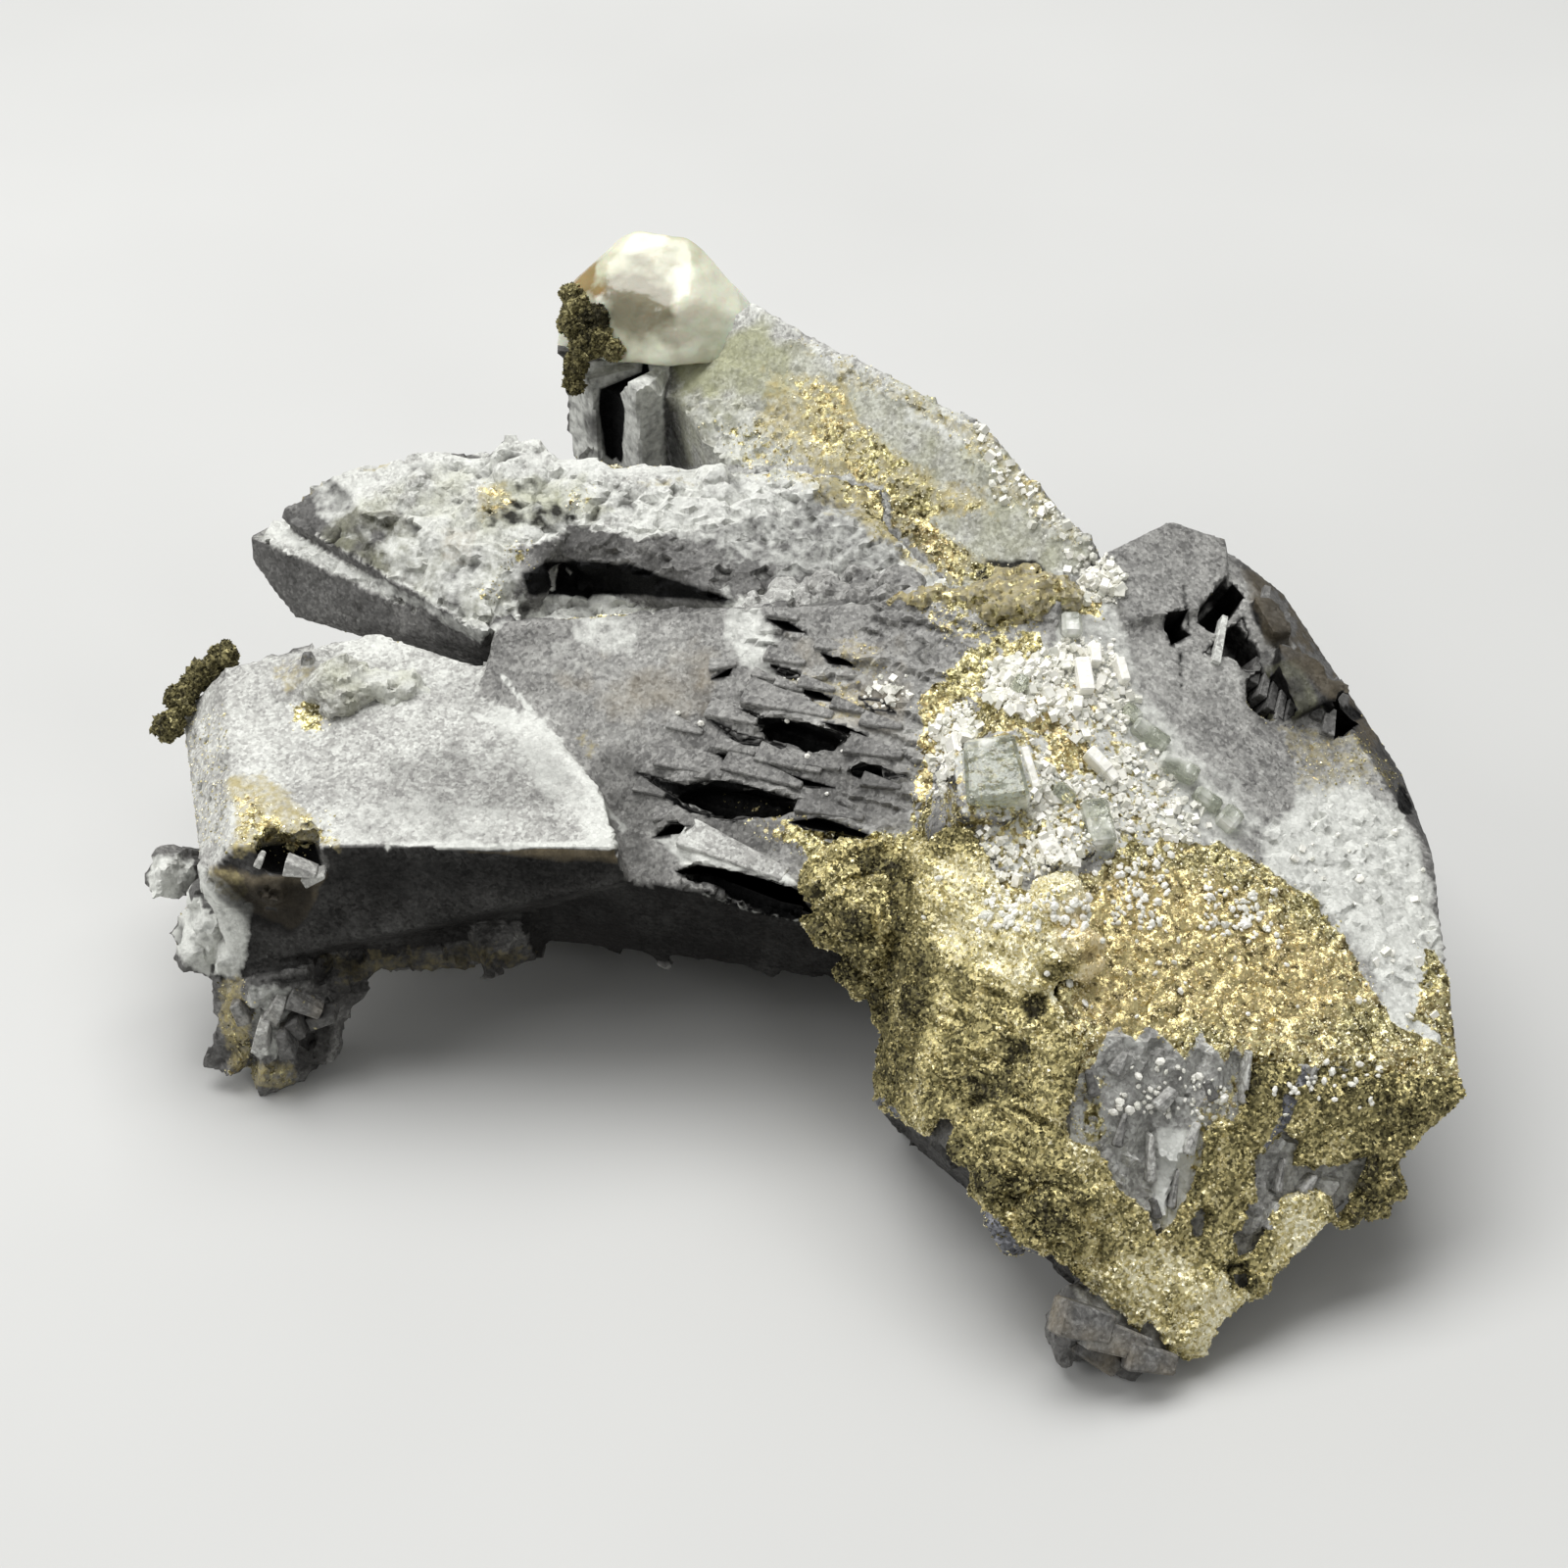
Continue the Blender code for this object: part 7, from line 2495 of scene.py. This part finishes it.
STEP_LATHS = (
    Crystal((1244, 654), (4.4, 0.7, 1.0), 46, 0, 0.9, 0.7, 0.85),
    Crystal((1274, 690), (2.4, 0.8, 2.2), 44, -10, 0.9, 0.8, 0.24, 223.0),
    Crystal((1283, 701), (3.0, 0.7, 2.4), 44, -10, 0.9, 0.8, 0.38, 222.8),
    Crystal((1291, 712), (3.4, 0.7, 2.4), 44, -10, 0.9, 0.8, 0.22, 222.6),
    Crystal((1300, 722), (3.6, 0.7, 2.2), 44, -10, 0.9, 0.8, 0.40, 222.2),
    Crystal((1310, 731), (3.2, 0.7, 1.8), 44, -10, 0.9, 0.8, 0.24, 221.8),
    Crystal((1318, 690), (2.6, 0.9, 1.3), 42, -10, 0.9, 0.8, 0.30),
    Crystal((1330, 702), (2.6, 0.9, 1.3), 42, -10, 0.9, 0.8, 0.42),
    Crystal((1342, 722), (2.4, 1.0, 1.2), 44, -6, 0.9, 0.8, 0.24),
    Crystal((1354, 738), (2.4, 1.1, 1.1), 48, -6, 0.9, 0.8, 0.40),
    Crystal((1290, 612), (2.4, 0.9, 0.8), 46, 0, 0.9, 0.6, 0.40),
    Crystal((1310, 640), (2.6, 0.8, 0.8), 46, 0, 0.9, 0.6, 0.36),
)
CORNER_SHARD = (
    Crystal((308, 884), (3.2, 1.7, 1.8), -14, 15, 0.7, 0.35, 0.62),
    Crystal((322, 892), (2.4, 1.2, 1.4), 24, 0, 0.7, 0.4, 0.70),
    Crystal((266, 876), (1.2, 0.8, 1.2), 60, 0, 0.7, 0.6, 0.66),
)
FOOT_SLABS = (
    Crystal((312, 1022), (3.6, 2.0, 2.0), -28, 10, 0.7, 0.6, 0.40, 225.4),
    Crystal((330, 1036), (3.0, 1.6, 1.8), 18, 0, 0.7, 0.5, 0.30, 226.2),
    Crystal((282, 1028), (2.8, 1.8, 1.8), 62, 0, 0.7, 0.6, 0.62, 225.4),
    Crystal((268, 1056), (3.2, 1.8, 1.8), 80, 0, 0.7, 0.6, 0.72, 225.6),
    Crystal((292, 1062), (3.0, 1.6, 1.8), 100, 0, 0.7, 0.6, 0.34, 226.0),
    Crystal((246, 1030), (2.6, 1.6, 1.6), 110, 0, 0.7, 0.6, 0.50, 226.4),
    Crystal((304, 1046), (2.2, 1.5, 1.6), -60, 0, 0.7, 0.6, 0.22, 225.8),
)
FRONT_SLABS = (
    Crystal((1104, 1348), (4.6, 3.0, 2.4), -26, 0, 0.8, 0.8, 0.40, 206.0),
    Crystal((1138, 1366), (5.4, 2.8, 2.4), -30, 0, 0.8, 0.7, 0.46, 207.2),
    Crystal((1172, 1386), (4.2, 2.4, 2.0), -24, 0, 0.8, 0.7, 0.36, 207.6),
    Crystal((1120, 1382), (3.6, 2.2, 2.0), -50, 0, 0.8, 0.7, 0.24, 207.6),
)
WINDOW_LATHS = (
    Crystal((1268, 1098), (7.0, 0.9, 1.6), 72, 0, 0.5, 0.4, 0.74),
    Crystal((1334, 1096), (2.8, 0.7, 1.4), 60, 0, 0.5, 0.4, 0.62),
    Crystal((1112, 1104), (3.6, 1.7, 1.3), 96, 14, 0.5, 0.5, 0.40),
    Crystal((1140, 1084), (3.4, 1.9, 1.3), 48, 14, 0.5, 0.6, 0.56),
    Crystal((1142, 1152), (4.6, 1.5, 1.3), 64, 12, 0.5, 0.4, 0.44),
    Crystal((1172, 1180), (6.4, 1.3, 1.6), 80, 10, 0.5, 0.4, 0.66),
    Crystal((1186, 1120), (3.4, 1.9, 1.5), 34, -12, 0.5, 0.6, 0.62),
    Crystal((1196, 1212), (5.2, 1.1, 1.4), 70, 8, 0.5, 0.3, 0.54),
    Crystal((1212, 1160), (4.4, 1.6, 1.6), 62, -10, 0.5, 0.4, 0.70),
    Crystal((1230, 1112), (2.8, 1.6, 1.4), 100, -10, 0.5, 0.6, 0.38),
    Crystal((1176, 1232), (2.8, 1.3, 1.3), 92, 0, 0.5, 0.5, 0.36),
    Crystal((1274, 1214), (4.6, 0.9, 1.8), 66, 6, 0.5, 0.3, 0.58),
    Crystal((1292, 1238), (4.0, 1.0, 2.0), 60, -6, 0.5, 0.3, 0.70),
    Crystal((1302, 1198), (4.6, 1.0, 2.0), 70, 6, 0.5, 0.3, 0.50),
    Crystal((1330, 1206), (3.0, 1.6, 1.8), 44, -6, 0.5, 0.4, 0.58),
)
JOINT_CRUST = Nodule(
    "joint_crust",
    (
        Lump((772, 622), 225.0, 1.1, 0.7), Lump((798, 620), 225.2, 1.4, 0.74), Lump((826, 618), 225.4, 1.4, 0.7),
        Lump((850, 612), 226.0, 1.5, 0.62), Lump((880, 616), 224.8, 1.5, 0.56), Lump((906, 618), 224.0, 1.4, 0.6),
        Lump((930, 622), 223.4, 1.4, 0.6), Lump((812, 634), 223.2, 0.9, 0.75), Lump((770, 632), 223.6, 0.9, 0.72),
        Lump((860, 632), 223.0, 0.9, 0.6), Lump((950, 632), 222.4, 1.2, 0.56), Lump((880, 600), 228.0, 1.6, 0.6),
        Lump((920, 600), 227.4, 1.6, 0.6), Lump((840, 602), 228.0, 1.4, 0.66), Lump((800, 608), 228.0, 1.3, 0.7),
    ),
    voxel=0.3,
    grain=1.1,
    relief=0.34,
)
JOINT_RIM = Nodule(
    "joint_rim",
    (
        Lump((938, 614), 219.6, 1.0, 0.45), Lump((958, 612), 219.4, 1.1, 0.6), Lump((980, 613), 219.0, 0.9, 0.5),
        Lump((1000, 610), 218.9, 1.2, 0.55), Lump((1022, 607), 218.6, 1.4, 0.5), Lump((1044, 604), 218.4, 1.5, 0.45),
        Lump((1064, 603), 218.2, 1.3, 0.5), Lump((1082, 606), 218.0, 1.1, 0.6), Lump((1034, 620), 217.4, 1.2, 0.5),
        Lump((1056, 618), 217.2, 1.1, 0.55), Lump((1012, 624), 217.5, 0.9, 0.5), Lump((1048, 592), 219.4, 1.2, 0.4),
        Lump((1026, 594), 219.6, 1.0, 0.4), Lump((918, 618), 220.2, 0.9, 0.5), Lump((1094, 612), 217.8, 0.8, 0.7),
    ),
    voxel=0.26,
    grain=0.8,
    relief=0.34,
    coats=((OCHRE, 0.62), (PYRITE, 0.46)),
)
LEFT_LUMP = Nodule(
    "left_lump",
    (
        Lump((334, 702), 227.0, 1.7, 0.78), Lump((350, 690), 227.3, 1.8, 0.86), Lump((346, 714), 226.4, 1.6, 0.82),
        Lump((368, 702), 226.8, 1.5, 0.9), Lump((388, 700), 226.8, 1.4, 1.0), Lump((412, 700), 226.8, 1.4, 1.0),
        Lump((434, 712), 226.8, 1.05, 1.0), Lump((402, 715), 226.7, 1.0, 0.98), Lump((364, 720), 226.6, 0.8, 0.75),
    ),
    flatten=0.75,
    coats=((GREEN, 0.5), (FROST, 0.25)),
)
BACK_MOSS = Nodule(
    "pyrite_moss_back",
    (
        Lump((588, 312), 250.3, 1.0, 0.42), Lump((583, 330), 250.5, 1.1, 0.3), Lump((596, 326), 250.4, 1.1, 0.05),
        Lump((612, 322), 250.2, 1.0, 0.0), Lump((612, 345), 250.2, 1.2, 0.40), Lump((598, 352), 250.6, 1.2, 0.42),
        Lump((588, 372), 251.2, 1.0, 0.36), Lump((585, 392), 251.6, 0.8, 0.3), Lump((626, 356), 249.9, 0.9, 0.45),
        Lump((582, 300), 250.3, 0.8, 0.46), Lump((603, 340), 250.3, 1.0, 0.1),
    ),
    grain=0.6,
    relief=0.3,
)
CRUST_KNOB = Nodule(
    "pyrite_knob",
    (
        Lump((846, 902), 214.0, 1.9, 0.5), Lump((868, 882), 214.6, 1.9, 0.55), Lump((896, 880), 214.6, 1.7, 0.6),
        Lump((922, 876), 214.6, 1.4, 0.6), Lump((878, 920), 213.9, 2.1, 0.5), Lump((902, 940), 213.4, 1.9, 0.42),
        Lump((928, 938), 212.6, 1.5, 0.5), Lump((858, 936), 213.8, 1.5, 0.35), Lump((905, 905), 213.9, 1.9, 0.5),
        Lump((892, 966), 213.0, 1.3, 0.3),
    ),
    grain=0.9,
    relief=0.34,
)


def main() -> None:
    """Builds every piece around the CAD model."""
    logging.basicConfig(level=logging.INFO, format="%(relativeCreated)7d %(message)s")
    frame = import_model()
    nodes = frame["nodes"]
    PHOTO.build()
    Studio().build()

    calcite = CalciteFinish().build()
    pyrite = PyriteFinish().build()
    tarnish = {"bright": "#bfb88c", "brass": "#989065", "tan": "#857a55", "olive": "#676142", "gap": "#2b2818"}
    olive = PyriteFinish("olive_pyrite", roughness=0.6, **tarnish).build()
    white = DruseFinish().build()

    shape = CalciteBody()
    body = shape.build(nodes["calcite_crystals"])
    stones = [shape.cut(body, name, planes) for name, planes in CALCITE_PIECES.items()]
    bpy.data.objects.remove(body, do_unlink=True)
    for stone in stones:
        dress(stone, calcite, ("calcite_crystals",))

    crust = PyriteCrust().build(nodes["pyrite_crust"])
    dress(crust, pyrite, ("pyrite_crust",))
    tufts = [PyriteTuft(name).build(nodes[name]) for name in ("pyrite_tuft_back", "pyrite_tuft_left")]
    for tuft, name in zip(tufts, ("pyrite_tuft_back", "pyrite_tuft_left")):
        dress(tuft, olive, (name,))
    moss, knob = BACK_MOSS.build(), CRUST_KNOB.build()
    dress(moss, olive)
    dress(knob, pyrite)
    for nodule in (LEFT_LUMP, JOINT_CRUST, JOINT_RIM):
        dress(nodule.build(), calcite)
    for flakes in (
        CrystalCluster("centre_scales", Region.CENTRE_BROAD, CENTRE_SCALES, 0.35, 0.07),
        CrystalCluster("step_laths", Region.BLOCK_TOP, STEP_LATHS, 0.6, 0.05),
        CrystalCluster("window_laths", Region.BLOCK_FRONT, WINDOW_LATHS, 0.35, 0.14),
        CrystalCluster("front_slabs", Region.BLOCK_FRONT, FRONT_SLABS, 0.5, 0.16, ((WARM, 0.45),)),
        CrystalCluster("corner_shard", Region.LEFT_FRONT, CORNER_SHARD, 0.4, 0.08),
        CrystalCluster("foot_slabs", Region.LEFT_FRONT, FOOT_SLABS, 0.5, 0.08, ((WARM, 0.3), (PYRITE, 0.3))),
    ):
        dress(flakes.build(), calcite)

    dress(MilkyCap().build(), MilkyFinish().build())
    clear = CrystalCluster("clear_crystals", Region.BLOCK_TOP, CLEAR_CRYSTALS, 0.45, 0.26)
    columns = CrystalCluster("white_columns", Region.BLOCK_TOP, WHITE_COLUMNS)
    dress(clear.build(), ClearFinish().build())
    dress(columns.build(), white)

    pyramid, rhomb, bead = GrainShape.PYRAMID, GrainShape.RHOMB, GrainShape.BEAD
    own = {"inherits": 0.0, "squash": 0.7}
    fields = (
        (GrainField("crust_grains", pyramid, 33000, 0.13, 0.34, seed=3), [crust, knob], None, pyrite, "pyrite"),
        (GrainField("gold_dust", pyramid, 30000, 0.10, 0.26, seed=5), stones, "pyrite", pyrite, "pyrite"),
        (GrainField("white_druse", rhomb, 1900, 0.28, 1.0, 0.9, 0.06, 7, **own), stones, "druse", white, "calcite"),
        (GrainField("white_beads", bead, 600, 0.3, 0.8, 0.8, 0.15, 12, **own), stones, "druse", white, "calcite"),
        (GrainField("white_sparks", bead, 700, 0.3, 0.7, 0.8, 0.25, 8, **own), [*stones, crust], "spark", white,
         "calcite"),
        (GrainField("tuft_grains", pyramid, 4500, 0.18, 0.5, seed=9), [*tufts, moss], None, olive, "pyrite_dark"),
    )
    for field, carriers, coat, material, slot in fields:
        dress(field.build(carriers, coat), material)


if __name__ == "__main__":
    main()
